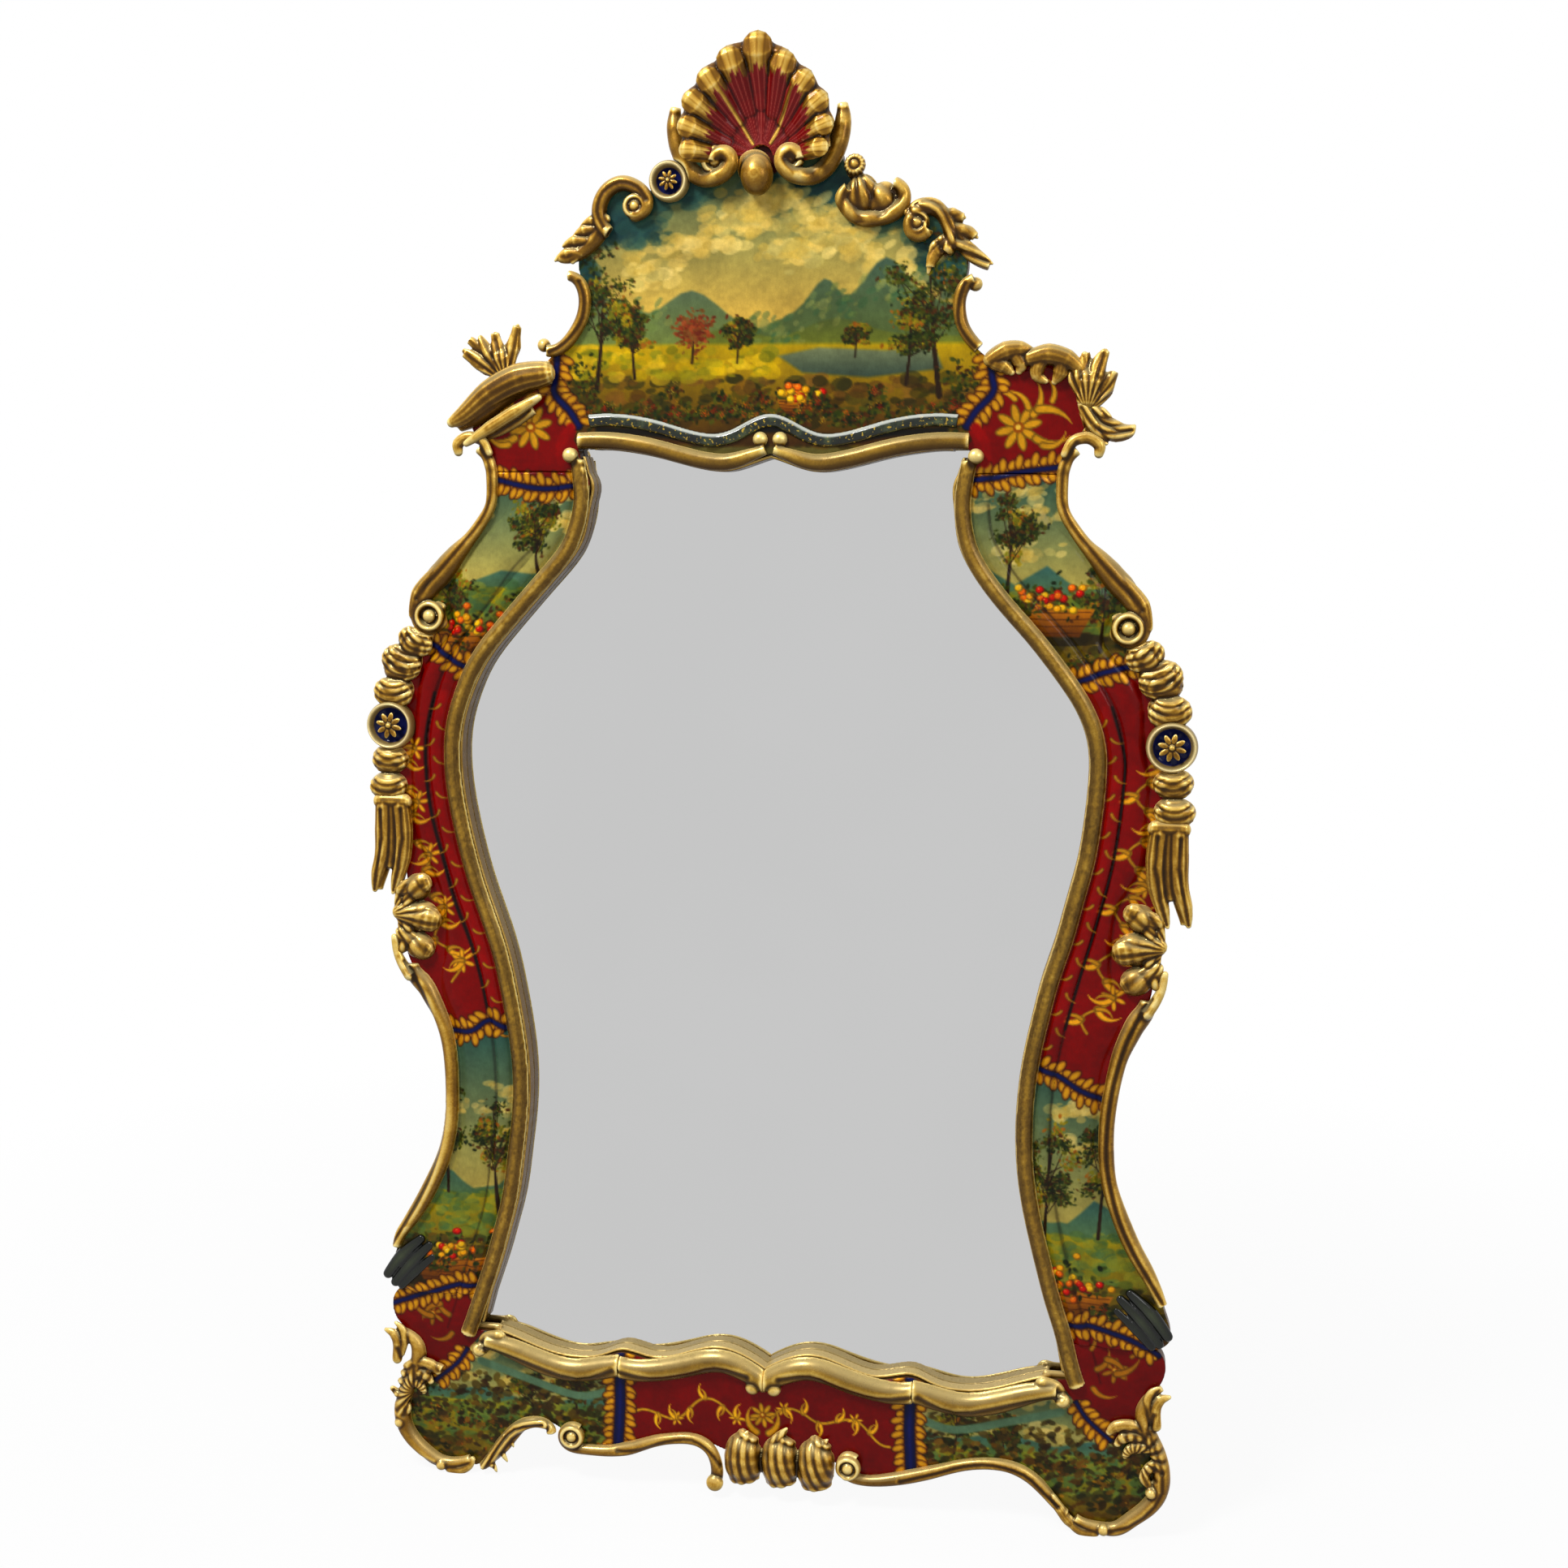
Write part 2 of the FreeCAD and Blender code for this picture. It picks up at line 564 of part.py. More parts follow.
HEAD_SINK = SEAT_GAP
STRAP_FACE = BACK_DEPTH - size("strap_thickness")
joint_holes = [bore(place, HEAD_SINK, size("screw_length")) for place in plate_screws]
batten_holes = [bore(place, HEAD_SINK, size("screw_length")) for place in batten_screws]
CLEAT_BACK = BACK_DEPTH - size("glass_thickness") - size("backboard_thickness") - size("cleat_lip")
CLEAT_SCREW_LENGTH = 0.75 * size("screw_length")
cleat_holes = [bore(place, CLEAT_BACK + HEAD_SINK, CLEAT_SCREW_LENGTH)
               for place, toward in cleat_places]
hanger_holes = [rod(place, STRAP_FACE, SHANK_RADIUS + BORE_GAP,
                    size("hanger_screw_length")) for place in hanger_screws]
all_holes = joint_holes + batten_holes + cleat_holes + hanger_holes


def bored(board, holes):
    """The board without the holes that reach it."""
    room = board.BoundBox
    near = [hole for hole in holes if room.intersect(hole.BoundBox)]
    return board.cut(Part.makeCompound(near)).Solids[0] if near else board


for side in (LEFT, RIGHT):
    keep(SIDE_NAMES[side] + "_stile", bored(stile(side), all_holes))
keep("crest_board", bored(crest_board(), all_holes))
keep("bottom_board", bored(bottom_board(), all_holes))


def joint_plates():
    plates = []
    width = size("plate_width")
    for centre, length in plate_centres:
        corner = centre - Vector(0.5 * width, BACK_DEPTH, 0.5 * length)
        block = Part.makeBox(width, BACK_DEPTH, length, corner)
        plates.append(bored(block, joint_holes))
    return Part.makeCompound(plates)


keep("joint_plates", joint_plates())


def batten(label, centre):
    """A batten on the wall plane, its back edges broken, its screw heads sunk."""
    body = doc.addObject("PartDesign::Body", label)
    half_length = "0.5 * Sizes.batten_length"
    half_height = "0.5 * Sizes.batten_height"
    outline = new_sketch(body, label + "_outline", "XZ_Plane")
    add_polygon(outline, (
        ("-" + half_length, "-" + half_height), (half_length, "-" + half_height),
        (half_length, half_height), ("-" + half_length, half_height)))
    block = pad(body, label + "_block", outline, "Sizes.batten_thickness")
    reach = "(0.5 * Sizes.batten_length - 4 * Sizes.screw_head_radius)"
    places = [("%s * %s" % (share, reach), "0 mm") for share in ("-1", "-1 / 3", "1 / 3", "1")]
    play = "0.5 * Sizes.seat_gap"
    heads = new_sketch(body, label + "_counterbores", "XZ_Plane")
    shanks = new_sketch(body, label + "_holes", "XZ_Plane")
    for place in places:
        add_circle(heads, place, "Sizes.screw_head_radius + " + play)
        add_circle(shanks, place, "Sizes.screw_shank_radius + " + play)
    sunk = "Sizes.seat_gap + Sizes.screw_head_height + " + play
    for name, sketch, depth in (("_head_pocket", heads, sunk),
                                ("_shank_pocket", shanks, "Sizes.batten_thickness")):
        cut = pocket(body, label + name, sketch, depth)
        cut.Reversed = True
        doc.recompute()
    body.Placement = Placement(centre - ORIGIN, Rotation())
    doc.recompute()
    if body.Shape.Volume >= block.Shape.Volume:
        raise RuntimeError("the batten's holes cut nothing")
    return keep_object(body, label)


batten("crest_batten", batten_centres[0])
batten("bottom_batten", batten_centres[1])


def cleat(place, toward):
    """A block beside the glass, with a lip that holds the backboard."""
    depth = BACK_DEPTH - CLEAT_BACK
    lip = 0.3 * size("cleat_width")
    half_width = 0.5 * size("cleat_width")
    half_length = 0.5 * size("cleat_length")
    corners = [Vector(-half_width, 0, 0), Vector(half_width, 0, 0),
               Vector(half_width, depth, 0), Vector(-half_width - lip, depth, 0),
               Vector(-half_width - lip, depth - size("cleat_lip") + BORE_GAP, 0),
               Vector(-half_width, depth - size("cleat_lip") + BORE_GAP, 0)]
    face = Part.Face(Part.makePolygon(corners + corners[:1]))
    block = face.extrude(Vector(0, 0, 2 * half_length))
    block.translate(Vector(0, 0, -half_length))
    if toward > 0:
        block = block.mirror(Vector(), Vector(1, 0, 0))
    elif toward == 0:
        block.rotate(Vector(), Vector(0, 1, 0), 90)
    block.translate(place + Vector(0, -BACK_DEPTH, 0))
    return block


keep("backboard_cleats", Part.makeCompound(
    [bored(cleat(place, toward), cleat_holes) for place, toward in cleat_places]))
keep("board_screws", Part.makeCompound(
    [screw(place, HEAD_SINK, size("screw_length")) for place in plate_screws + batten_screws]))
keep("small_screws", Part.makeCompound(
    [screw(place, CLEAT_BACK + HEAD_SINK, CLEAT_SCREW_LENGTH) for place, toward in cleat_places]
    + [screw(place, STRAP_FACE - HEAD_HEIGHT, size("hanger_screw_length"))
       for place in hanger_screws]))


def hanger_strap(label, place):
    """A steel strap with a rolled eye at its top, flat on the back of the stile."""
    body = doc.addObject("PartDesign::Body", label)
    half = "0.5 * Sizes.strap_width"
    eye_radius = "(Sizes.ring_wire_radius + Sizes.ring_clearance + Sizes.strap_thickness)"
    outline = new_sketch(body, label + "_outline", "XZ_Plane")
    add_polygon(outline, (
        ("-" + half, "-0.9 * Sizes.strap_length"), ("-0.6 * " + half, "-Sizes.strap_length"),
        ("0.6 * " + half, "-Sizes.strap_length"), (half, "-0.9 * Sizes.strap_length"),
        (half, "0 mm"), ("-" + half, "0 mm")))
    for share in (0.45, 0.82):
        add_circle(outline, ("0 mm", "-%g * Sizes.strap_length" % share),
                   "Sizes.strap_hole_radius")
    flat = pad(body, label + "_flat", outline, "Sizes.strap_thickness")
    flat.Reversed = True
    roll = new_sketch(body, label + "_roll", "YZ_Plane")
    centre = (eye_radius, "0 mm")
    add_circle(roll, centre, eye_radius)
    eye_pad = pad(body, label + "_eye", roll, "Sizes.strap_width")
    eye_pad.Midplane = True
    doc.recompute()
    bore_sketch = new_sketch(body, label + "_bore", "YZ_Plane")
    add_circle(bore_sketch, centre, "Sizes.ring_wire_radius + Sizes.ring_clearance")
    bore_cut = pocket(body, label + "_eye_bore", bore_sketch, "2 * Sizes.strap_width")
    bore_cut.Midplane = True
    body.Placement = Placement(place - ORIGIN + Vector(0, -BACK_DEPTH, 0), Rotation())
    doc.recompute()
    if bore_cut.Shape.Volume >= eye_pad.Shape.Volume:
        raise RuntimeError("the strap's eye isn't bored")
    return keep_object(body, label)


EYE_DEPTH = (BACK_DEPTH - size("ring_wire_radius") - size("ring_clearance")
             - size("strap_thickness"))


def hanging_ring(label, place):
    """A D of steel wire: a straight leg in the strap's eye, and a half ring above it."""
    bend = doc.addObject("Part::Torus", label + "_bend")
    bind(bend, {"Radius1": "Sizes.ring_inner_radius + Sizes.ring_wire_radius",
                "Radius2": "Sizes.ring_wire_radius"})
    bend.Angle3 = 180.0
    bend.Placement = Placement(Vector(), Rotation(Vector(1, 0, 0), 90))
    leg = doc.addObject("Part::Cylinder", label + "_leg")
    bind(leg, {"Radius": "Sizes.ring_wire_radius",
               "Height": "2 * (Sizes.ring_inner_radius + Sizes.ring_wire_radius)",
               "Placement.Base.x": "-Sizes.ring_inner_radius - Sizes.ring_wire_radius"})
    leg.Placement = Placement(leg.Placement.Base, Rotation(Vector(0, 1, 0), 90))
    parts = [bend, leg]
    for side in (LEFT, RIGHT):
        corner = doc.addObject("Part::Sphere", "%s_%s_corner" % (label, SIDE_NAMES[side]))
        bind(corner, {"Radius": "Sizes.ring_wire_radius",
                      "Placement.Base.x": "%d * (Sizes.ring_inner_radius"
                                          " + Sizes.ring_wire_radius)" % side})
        parts.append(corner)
    ring = doc.addObject("Part::MultiFuse", label)
    ring.Shapes = parts
    doc.recompute()
    ring.Placement = Placement(place - ORIGIN + Vector(0, -EYE_DEPTH, 0), Rotation())
    return keep_object(ring, label)


for side in (LEFT, RIGHT):
    place = at(side * HANGER_SHARE[0], HANGER_SHARE[1])
    hanger_strap(SIDE_NAMES[side] + "_hanger_strap", place)
    hanging_ring(SIDE_NAMES[side] + "_hanging_ring", place)

# The glass lies on the back of the boards, and the backboard on the glass.
GLASS_TOP_SHARE = 13.96
GLASS_BOTTOM_SHARE = 1.58
FOOT_GLASS_SHARE = 3.90
GLASS_FRONT = BACK_DEPTH
GLASS_BACK = GLASS_FRONT - size("glass_thickness")
BACKBOARD_BACK = GLASS_BACK - size("backboard_thickness")


def glass_outline(inset):
    """Straight at the top and bottom, and shaped to the stiles at the sides."""
    bite = size("glass_bite") - inset
    top = GLASS_TOP_SHARE * SQUARE_UP - inset
    bottom = GLASS_BOTTOM_SHARE * SQUARE_UP + inset
    sides = []
    for side in (LEFT, RIGHT):
        points = sight_points(side, GLASS_TOP_SHARE, GLASS_BOTTOM_SHARE, -bite)
        points.insert(0, Vector(points[0].x, 0, top))
        points.append(Vector(side * (FOOT_GLASS_SHARE * SQUARE_ACROSS + bite), 0, bottom))
        sides.append(points)
    left, right = sides
    return [spline(left).toShape(), spline(right).toShape(),
            Part.makeLine(left[0], right[0]), Part.makeLine(left[-1], right[-1])]


keep("mirror_glass", plate(glass_outline(0.0), GLASS_FRONT, GLASS_BACK))
keep("backboard", plate(glass_outline(size("ring_wire_radius")), GLASS_BACK, BACKBOARD_BACK))


def slip(edge, direction):
    """A thin gilt lath along the sight edge, from the edge line into the opening."""
    front = SEAT_DEPTH - size("slip_setback")
    sections = []
    for point, width in edge:
        inward = direction * width
        corners = [point + Vector(0, -GLASS_FRONT, 0), point + inward + Vector(0, -GLASS_FRONT, 0),
                   point + inward + Vector(0, -front, 0), point + Vector(0, -front, 0)]
        sections.append(Part.makePolygon(corners + corners[:1]))
    return loft(sections)


SLIP_GAP = 5 * SEAT_GAP
# The ends of the side slips: up, and the sight line there.
SLIP_TOP_SHARES = (13.58, 2.46)
SLIP_FOOT_SHARES = (2.13, 3.95)
TOP_SLIP_END_SHARE = 2.28
BOTTOM_SLIP_END_SHARE = 3.80
for side in (LEFT, RIGHT):
    line = sight_line(side)
    lengths = slants(line)
    line.insert(0, (SLIP_TOP_SHARES[1] * SQUARE_ACROSS, SLIP_TOP_SHARES[0] * SQUARE_UP))
    line.append((SLIP_FOOT_SHARES[1] * SQUARE_ACROSS, SLIP_FOOT_SHARES[0] * SQUARE_UP))
    edge = []
    for (across, height), slant in zip(line, lengths[:1] + lengths + lengths[-1:]):
        across -= EDGE_OFFSET * slant + SLIP_GAP
        edge.append((Vector(side * across, 0, height), size("slip_width") * slant))
    inward = Vector(-side, 0, 0)
    keep(SIDE_NAMES[side] + "_slip",
         fused([slip(edge[1:-1], inward), slip(edge[:2], inward), slip(edge[-2:], inward)]))


def level_slip(path, direction, end_share):
    """A slip under the crest board or over the bottom board, in two halves that meet."""
    stations = [point for point in spline(path).discretize(Number=3 * len(path))
                if point.x < end_share * SQUARE_ACROSS]
    halves = []
    for side in (LEFT, RIGHT):
        edge = [(Vector(side * point.x, 0, point.z), size("slip_width")) for point in stations]
        halves.append(slip(edge, direction))
    return fused(halves)


down = Vector(0, 0, -1)
top_edge = [point + down * (EDGE_OFFSET + SLIP_GAP) for point in template(TOP_SIGHT_SHARES)]
keep("top_slip", level_slip(top_edge, down, TOP_SLIP_END_SHARE))
bottom_edge = [point + down * (size("sight_overhang") - SLIP_GAP)
               for point in template(BOTTOM_SIGHT_SHARES)]
keep("bottom_slip", level_slip(bottom_edge, -down, BOTTOM_SLIP_END_SHARE))

# The gilt mouldings round the glass.
SIDE_MOULDING_TOP_SHARES = (2.43, 13.53)
SIDE_MOULDING_FOOT_SHARES = ((3.96, 2.20), (4.04, 1.98))
CORNER_EYE_SHARES = (2.512, 13.59)
CUSP_SHARES = (0.055, 13.665)
CUSP_EYE_SHARES = (0.122, 13.79)
TOP_END_SHARES = (2.42, 13.77)
for side in (LEFT, RIGHT):
    line = sight_points(side, GLASS_TOP_SHARE, GLASS_BOTTOM_SHARE)
    corner = at(side * CORNER_EYE_SHARES[0], CORNER_EYE_SHARES[1])
    path = template((SIDE_MOULDING_TOP_SHARES,), side) + line
    path += template(SIDE_MOULDING_FOOT_SHARES, side)
    body = strip(path, size("sight_width"), size("sight_rise"), (0.9, 1, 1, 1, 1, 1, 1, 1, 1, 1))
    keep(SIDE_NAMES[side] + "_sight_moulding",
         fused([body, eye(corner, size("sight_eye_radius"))]))

for side in (LEFT, RIGHT):
    path = template((CUSP_SHARES,) + TOP_SIGHT_SHARES[1:-1] + (TOP_END_SHARES,), side)
    body = strip(path, size("sight_width"), size("sight_rise"), (0.45, 0.9, 1, 1, 1, 1, 1, 0.9))
    cusp_eye = eye(at(side * CUSP_EYE_SHARES[0], CUSP_EYE_SHARES[1]), size("sight_eye_radius"))
    keep("top_sight_moulding_" + SIDE_NAMES[side], fused([body, cusp_eye]))

# The four pieces over the bottom board are sawn off where they meet.
INNER_END_SHARES = ((-0.12, 1.76), (2.06, 1.90))
OUTER_START_SHARES = (1.84, 1.91)
OUTER_END_SHARES = (3.78, 2.065)
INNER_EYE_SHARES = (0.132, 1.60)
OUTER_EYE_SHARES = (3.84, 1.80)
JOINT_ACROSS_SHARE = 1.95


def sawn(body, side, start, end):
    """The part of a moulding between two distances from the centre line."""
    height = 2 * size("bottom_sight_width")
    room = body.BoundBox
    first = min(side * start, side * end)
    box = Part.makeBox(abs(end - start), height, room.ZLength + height,
                       Vector(first, -SEAT_DEPTH - height + size("overrun"), room.ZMin - 0.5 * height))
    return body.common(box)


for side in (LEFT, RIGHT):
    drop = Vector(0, 0, -0.5 * size("bottom_sight_width"))
    inner_shares = (INNER_END_SHARES[0],) + BOTTOM_SIGHT_SHARES[1:5] + (INNER_END_SHARES[1],)
    outer_shares = (OUTER_START_SHARES,) + BOTTOM_SIGHT_SHARES[6:-1] + (OUTER_END_SHARES,)
    inner = strip([point + drop for point in template(inner_shares, side)],
                  size("bottom_sight_width"), size("bottom_sight_rise"),
                  (0.7, 0.95, 1, 1, 0.95, 0.9))
    outer = strip([point + drop for point in template(outer_shares, side)],
                  size("bottom_sight_width"), size("bottom_sight_rise"),
                  (0.9, 1, 1, 1, 0.9, 0.6))
    joint = JOINT_ACROSS_SHARE * SQUARE_ACROSS
    inner = sawn(inner, side, 0.5 * SEAT_GAP, joint - 0.5 * SEAT_GAP)
    outer = sawn(outer, side, joint + 0.5 * SEAT_GAP, OUTER_END_SHARES[0] * SQUARE_ACROSS
                 + size("bottom_sight_width"))
    name = "bottom_sight_moulding_%s_" + SIDE_NAMES[side]
    inner_eye = eye(at(side * INNER_EYE_SHARES[0], INNER_EYE_SHARES[1]), size("sight_eye_radius"))
    outer_eye = eye(at(side * OUTER_EYE_SHARES[0], OUTER_EYE_SHARES[1]), size("sight_eye_radius"))
    keep(name % "inner", fused([inner, inner_eye]))
    keep(name % "outer", fused([outer, outer_eye]))

CREST_BEAD_SHARES = ((-2.28, 14.01), (-1.90, 14.02), (-1.42, 13.94), (-0.90, 13.80), (-0.60, 13.79),
                     (-0.30, 13.91), (0.00, 14.02), (0.30, 13.91), (0.60, 13.79), (0.90, 13.80),
                     (1.42, 13.94), (1.90, 14.02), (2.28, 14.01))
keep("crest_bead", strip(template(CREST_BEAD_SHARES), size("crest_bead_width"),
                         size("crest_bead_rise")))

# The carved and gilt work on the outer edge of each side.
UPPER_LIP_SHARES = ((3.70, 13.68), (3.57, 13.50), (3.54, 13.18), (3.56, 12.98), (3.68, 12.76),
                    (3.84, 12.55), (4.02, 12.36), (4.19, 12.16), (4.35, 11.98), (4.47, 11.80),
                    (4.55, 11.62), (4.51, 11.46), (4.38, 11.41), (4.25, 11.47), (4.22, 11.60),
                    (4.30, 11.71))
UPPER_LIP_WIDTH_SHARES = (0.4, 0.45, 0.45, 0.42, 0.42, 0.45, 0.5, 0.75, 0.95, 1.0, 0.8, 0.5,
                          0.4, 0.35, 0.3, 0.2)
LIP_EYE_SHARE = (4.385, 11.57)
VOLUTE_SHARE = (4.41, 11.58)
DISC_SHARES = ((4.58, 11.24, 0.92, 0.90, 38), (4.77, 10.95, 1.04, 1.10, 28),
               (4.89, 10.60, 1.0, 1.0, 12), (4.96, 9.72, 0.92, 0.94, -4),
               (4.99, 9.38, 0.94, 0.90, 4))
ROUNDEL_SHARE = (4.927, 10.165)


def disc_chain(side, roundel_cut, lip_cut):
    """Carved discs that overlap like coins above and below the roundel."""
    above = []
    below = []
    for across, up, wide, high, tilt in DISC_SHARES:
        disc = dome(at(side * across, up), 0.5 * wide * size("disc_width"),
                    0.5 * high * size("disc_height"), size("disc_rise"), side * tilt)
        (above if up > ROUNDEL_SHARE[1] else below).append(disc)
    groups = [fused(above).cut(lip_cut).cut(roundel_cut), fused(below).cut(roundel_cut)]
    return Part.makeCompound(groups)


def round_cutter(centre, radius, rise):
    return Part.makeCylinder(radius + SEAT_GAP, 2 * rise, centre + Vector(0, -SEAT_DEPTH, 0),
                             Vector(0, -1, 0))


for side in (LEFT, RIGHT):
    body = strip(template(UPPER_LIP_SHARES, side), size("upper_lip_width"),
                 size("upper_lip_rise"), UPPER_LIP_WIDTH_SHARES,
                 (0.7, 0.7, 0.7, 0.8, 1, 1, 1, 0.9, 0.8))
    lip_eye = eye(at(side * LIP_EYE_SHARE[0], LIP_EYE_SHARE[1]), size("lip_eye_radius"))
    keep(SIDE_NAMES[side] + "_upper_lip", Part.makeCompound([body, lip_eye]))
    roundel_cut = round_cutter(at(side * ROUNDEL_SHARE[0], ROUNDEL_SHARE[1]),
                               size("roundel_radius"), size("disc_rise"))
    lip_cut = round_cutter(at(side * VOLUTE_SHARE[0], VOLUTE_SHARE[1]),
                           size("lip_volute_radius"), size("disc_rise"))
    keep(SIDE_NAMES[side] + "_disc_chain", disc_chain(side, roundel_cut, lip_cut))

LOWER_LIP_SHARES = {
    RIGHT: ((4.76, 7.03), (4.72, 6.90), (4.62, 6.74), (4.53, 6.55), (4.45, 6.35), (4.38, 6.06),
            (4.33, 5.75), (4.30, 5.40), (4.31, 5.00), (4.35, 4.69), (4.44, 4.40), (4.56, 4.10),
            (4.70, 3.81), (4.86, 3.54), (4.98, 3.31), (5.06, 3.14)),
    LEFT: ((4.74, 7.03), (4.70, 6.90), (4.57, 6.76), (4.45, 6.56), (4.35, 6.36), (4.25, 6.06),
           (4.21, 5.75), (4.20, 5.40), (4.21, 5.05), (4.25, 4.75), (4.33, 4.45), (4.50, 4.06),
           (4.66, 3.76), (4.84, 3.48), (4.97, 3.28), (5.02, 3.14)),
}
LOWER_LIP_WIDTH_SHARES = (0.8, 1.0, 0.9, 0.75, 0.7, 0.7, 0.7, 0.7, 0.7, 0.7, 0.75, 0.8, 0.8,
                          0.75, 0.6, 0.4)
DROP_SHARES = (
    ((4.80, 9.16), (4.80, 8.90), (4.81, 8.65), (4.84, 8.40), (4.88, 8.18), (4.93, 7.98)),
    ((5.04, 9.14), (5.05, 8.92), (5.02, 8.70), (5.05, 8.48), (5.11, 8.25), (5.16, 8.00)),
)
DROP_WIDTH_SHARES = (0.85, 1.0, 0.95, 0.85, 0.75, 0.45)
FAN_SHARES = ((4.62, 8.05, 0.74, 0.78, 30), (4.56, 7.66, 0.96, 0.90, 20),
              (4.60, 7.26, 0.86, 0.80, -20))
FAN_RIM_SHARES = ((4.62, 8.15), (4.72, 7.97), (4.76, 7.72), (4.76, 7.48), (4.80, 7.30),
                  (4.91, 7.19))

for side in (LEFT, RIGHT):
    keep(SIDE_NAMES[side] + "_lower_lip",
         strip(template(LOWER_LIP_SHARES[side], side), size("lower_lip_width"),
               size("lower_lip_rise"), LOWER_LIP_WIDTH_SHARES, (0.8, 1, 1, 1, 1, 1, 1, 0.8)))
    lobes = []
    for lobe_shares in DROP_SHARES:
        lobes.append(strip(template(lobe_shares, side), size("drop_width"), size("drop_rise"),
                           DROP_WIDTH_SHARES, (0.9, 1, 1, 1, 0.9, 0.6)))
    keep(SIDE_NAMES[side] + "_drop", fused(lobes))
    lobes = [strip(template(FAN_RIM_SHARES, side), 0.4 * size("fan_width"),
                   0.7 * size("fan_rise"), (0.5, 0.9, 1, 1, 0.9, 0.5))]
    for across, up, wide, high, tilt in FAN_SHARES:
        lobes.append(dome(at(side * across, up), 0.5 * wide * size("fan_width"),
                          0.5 * high * size("fan_width"), size("fan_rise"), side * tilt))
    keep(SIDE_NAMES[side] + "_side_rocaille", fused(lobes))


def turned_body(label, radius, rise, well):
    """A disc with a raised rim round a sunk well, turned on a lathe."""
    body = doc.addObject("PartDesign::Body", label)
    sketch = new_sketch(body, label + "_profile", "XY_Plane")
    radius = "Sizes." + radius
    rise = "Sizes." + rise
    well = "Sizes." + well
    add_polygon(sketch, (
        ("0 mm", "0 mm"), (radius, "0 mm"), (radius, "-0.55 * " + rise),
        ("0.5 * (%s + %s)" % (radius, well), "-" + rise), (well, "-0.7 * " + rise),
        (well, "-0.3 * " + rise), ("0 mm", "-0.3 * " + rise)))
    turned = body.newObject("PartDesign::Revolution", label + "_turned")
    turned.Profile = sketch
    turned.ReferenceAxis = (sketch, ["V_Axis"])
    turned.Angle = 360.0
    doc.recompute()
    return body


def add_flower(body, rise, length_share):
    """Eight petals round a hub, on the floor of the well."""
    label = body.Label
    length = "%g * Sizes.petal_length" % length_share
    hub = "0.2 * " + length
    half = "0.5 * %g * Sizes.petal_width" % length_share
    sketch = new_sketch(body, label + "_petal_outline", "XZ_Plane", "0.3 * Sizes." + rise)
    add_polygon(sketch, (
        (hub, "0 mm"), ("0.55 * " + length, "-" + half), (length, "-0.8 * " + half),
        ("1.12 * " + length, "0 mm"), (length, "0.8 * " + half), ("0.55 * " + length, half)))
    petal = pad(body, label + "_petal", sketch, "Sizes.petal_thickness")
    axes = {feature.Role: feature for feature in body.Origin.OriginFeatures}
    pattern = body.newObject("PartDesign::PolarPattern", label + "_flower")
    pattern.Originals = [petal]
    pattern.Axis = (axes["Y_Axis"], [""])
    pattern.Angle = 360.0
    pattern.Occurrences = 8
    body.Tip = pattern
    doc.recompute()


for side in (LEFT, RIGHT):
    body = turned_body(SIDE_NAMES[side] + "_roundel", "roundel_radius", "roundel_rise",
                       "roundel_well_radius")
    add_flower(body, "roundel_rise", 1.0)
    body.Placement = Placement(at(side * ROUNDEL_SHARE[0], ROUNDEL_SHARE[1], SEAT_DEPTH) - ORIGIN,
                               Rotation())
    keep_object(body, SIDE_NAMES[side] + "_roundel")

CREST_ROUNDEL_SHARE = (-1.25, 16.85)
body = turned_body("crest_roundel", "crest_roundel_radius", "crest_roundel_rise",
                   "crest_well_radius")
add_flower(body, "crest_roundel_rise", 0.75)
body.Placement = Placement(at(CREST_ROUNDEL_SHARE[0], CREST_ROUNDEL_SHARE[1], SEAT_DEPTH) - ORIGIN,
                           Rotation())
keep_object(body, "crest_roundel")


# The scrolls of the two lower corners and of the bottom edge.
CORNER_SCROLL_SHARES = {
    RIGHT: ((5.09, 2.06), (4.98, 1.96), (4.88, 1.78), (4.88, 1.60), (4.95, 1.42), (5.05, 1.22),
            (5.11, 1.02), (5.12, 0.80), (5.06, 0.58), (4.92, 0.40), (4.76, 0.26), (4.58, 0.13),
            (4.38, 0.12), (4.20, 0.15), (4.06, 0.22)),
    LEFT: ((5.04, 1.98), (4.90, 1.92), (4.76, 1.78), (4.74, 1.58), (4.80, 1.38), (4.90, 1.16),
           (4.97, 0.96), (4.98, 0.74), (4.93, 0.56), (4.80, 0.38), (4.66, 0.26), (4.48, 0.16),
           (4.30, 0.14), (4.14, 0.17), (4.02, 0.22)),
}
CORNER_SCROLL_WIDTH_SHARES = (0.25, 0.6, 0.85, 0.9, 0.85, 0.85, 0.9, 1.0, 1.0, 0.95, 0.85, 0.8,
                              0.6, 0.5, 0.35)
CORNER_LEAF_SHARES = {
    RIGHT: ((4.86, 1.20), (4.78, 1.36), (4.66, 1.48), (4.52, 1.47)),
    LEFT: ((4.74, 1.20), (4.66, 1.36), (4.54, 1.48), (4.40, 1.47)),
}
for side in (LEFT, RIGHT):
    scroll = strip(template(CORNER_SCROLL_SHARES[side], side), size("corner_scroll_width"),
                   size("corner_scroll_rise"), CORNER_SCROLL_WIDTH_SHARES,
                   (0.5, 0.9, 1, 1, 1, 1, 0.8))
    leaf = strip(template(CORNER_LEAF_SHARES[side], side),
                 size("leaf_width"), size("leaf_rise"), (1, 0.9, 0.7, 0.2))
    keep(SIDE_NAMES[side] + "_corner_scroll", fused([scroll, leaf]))

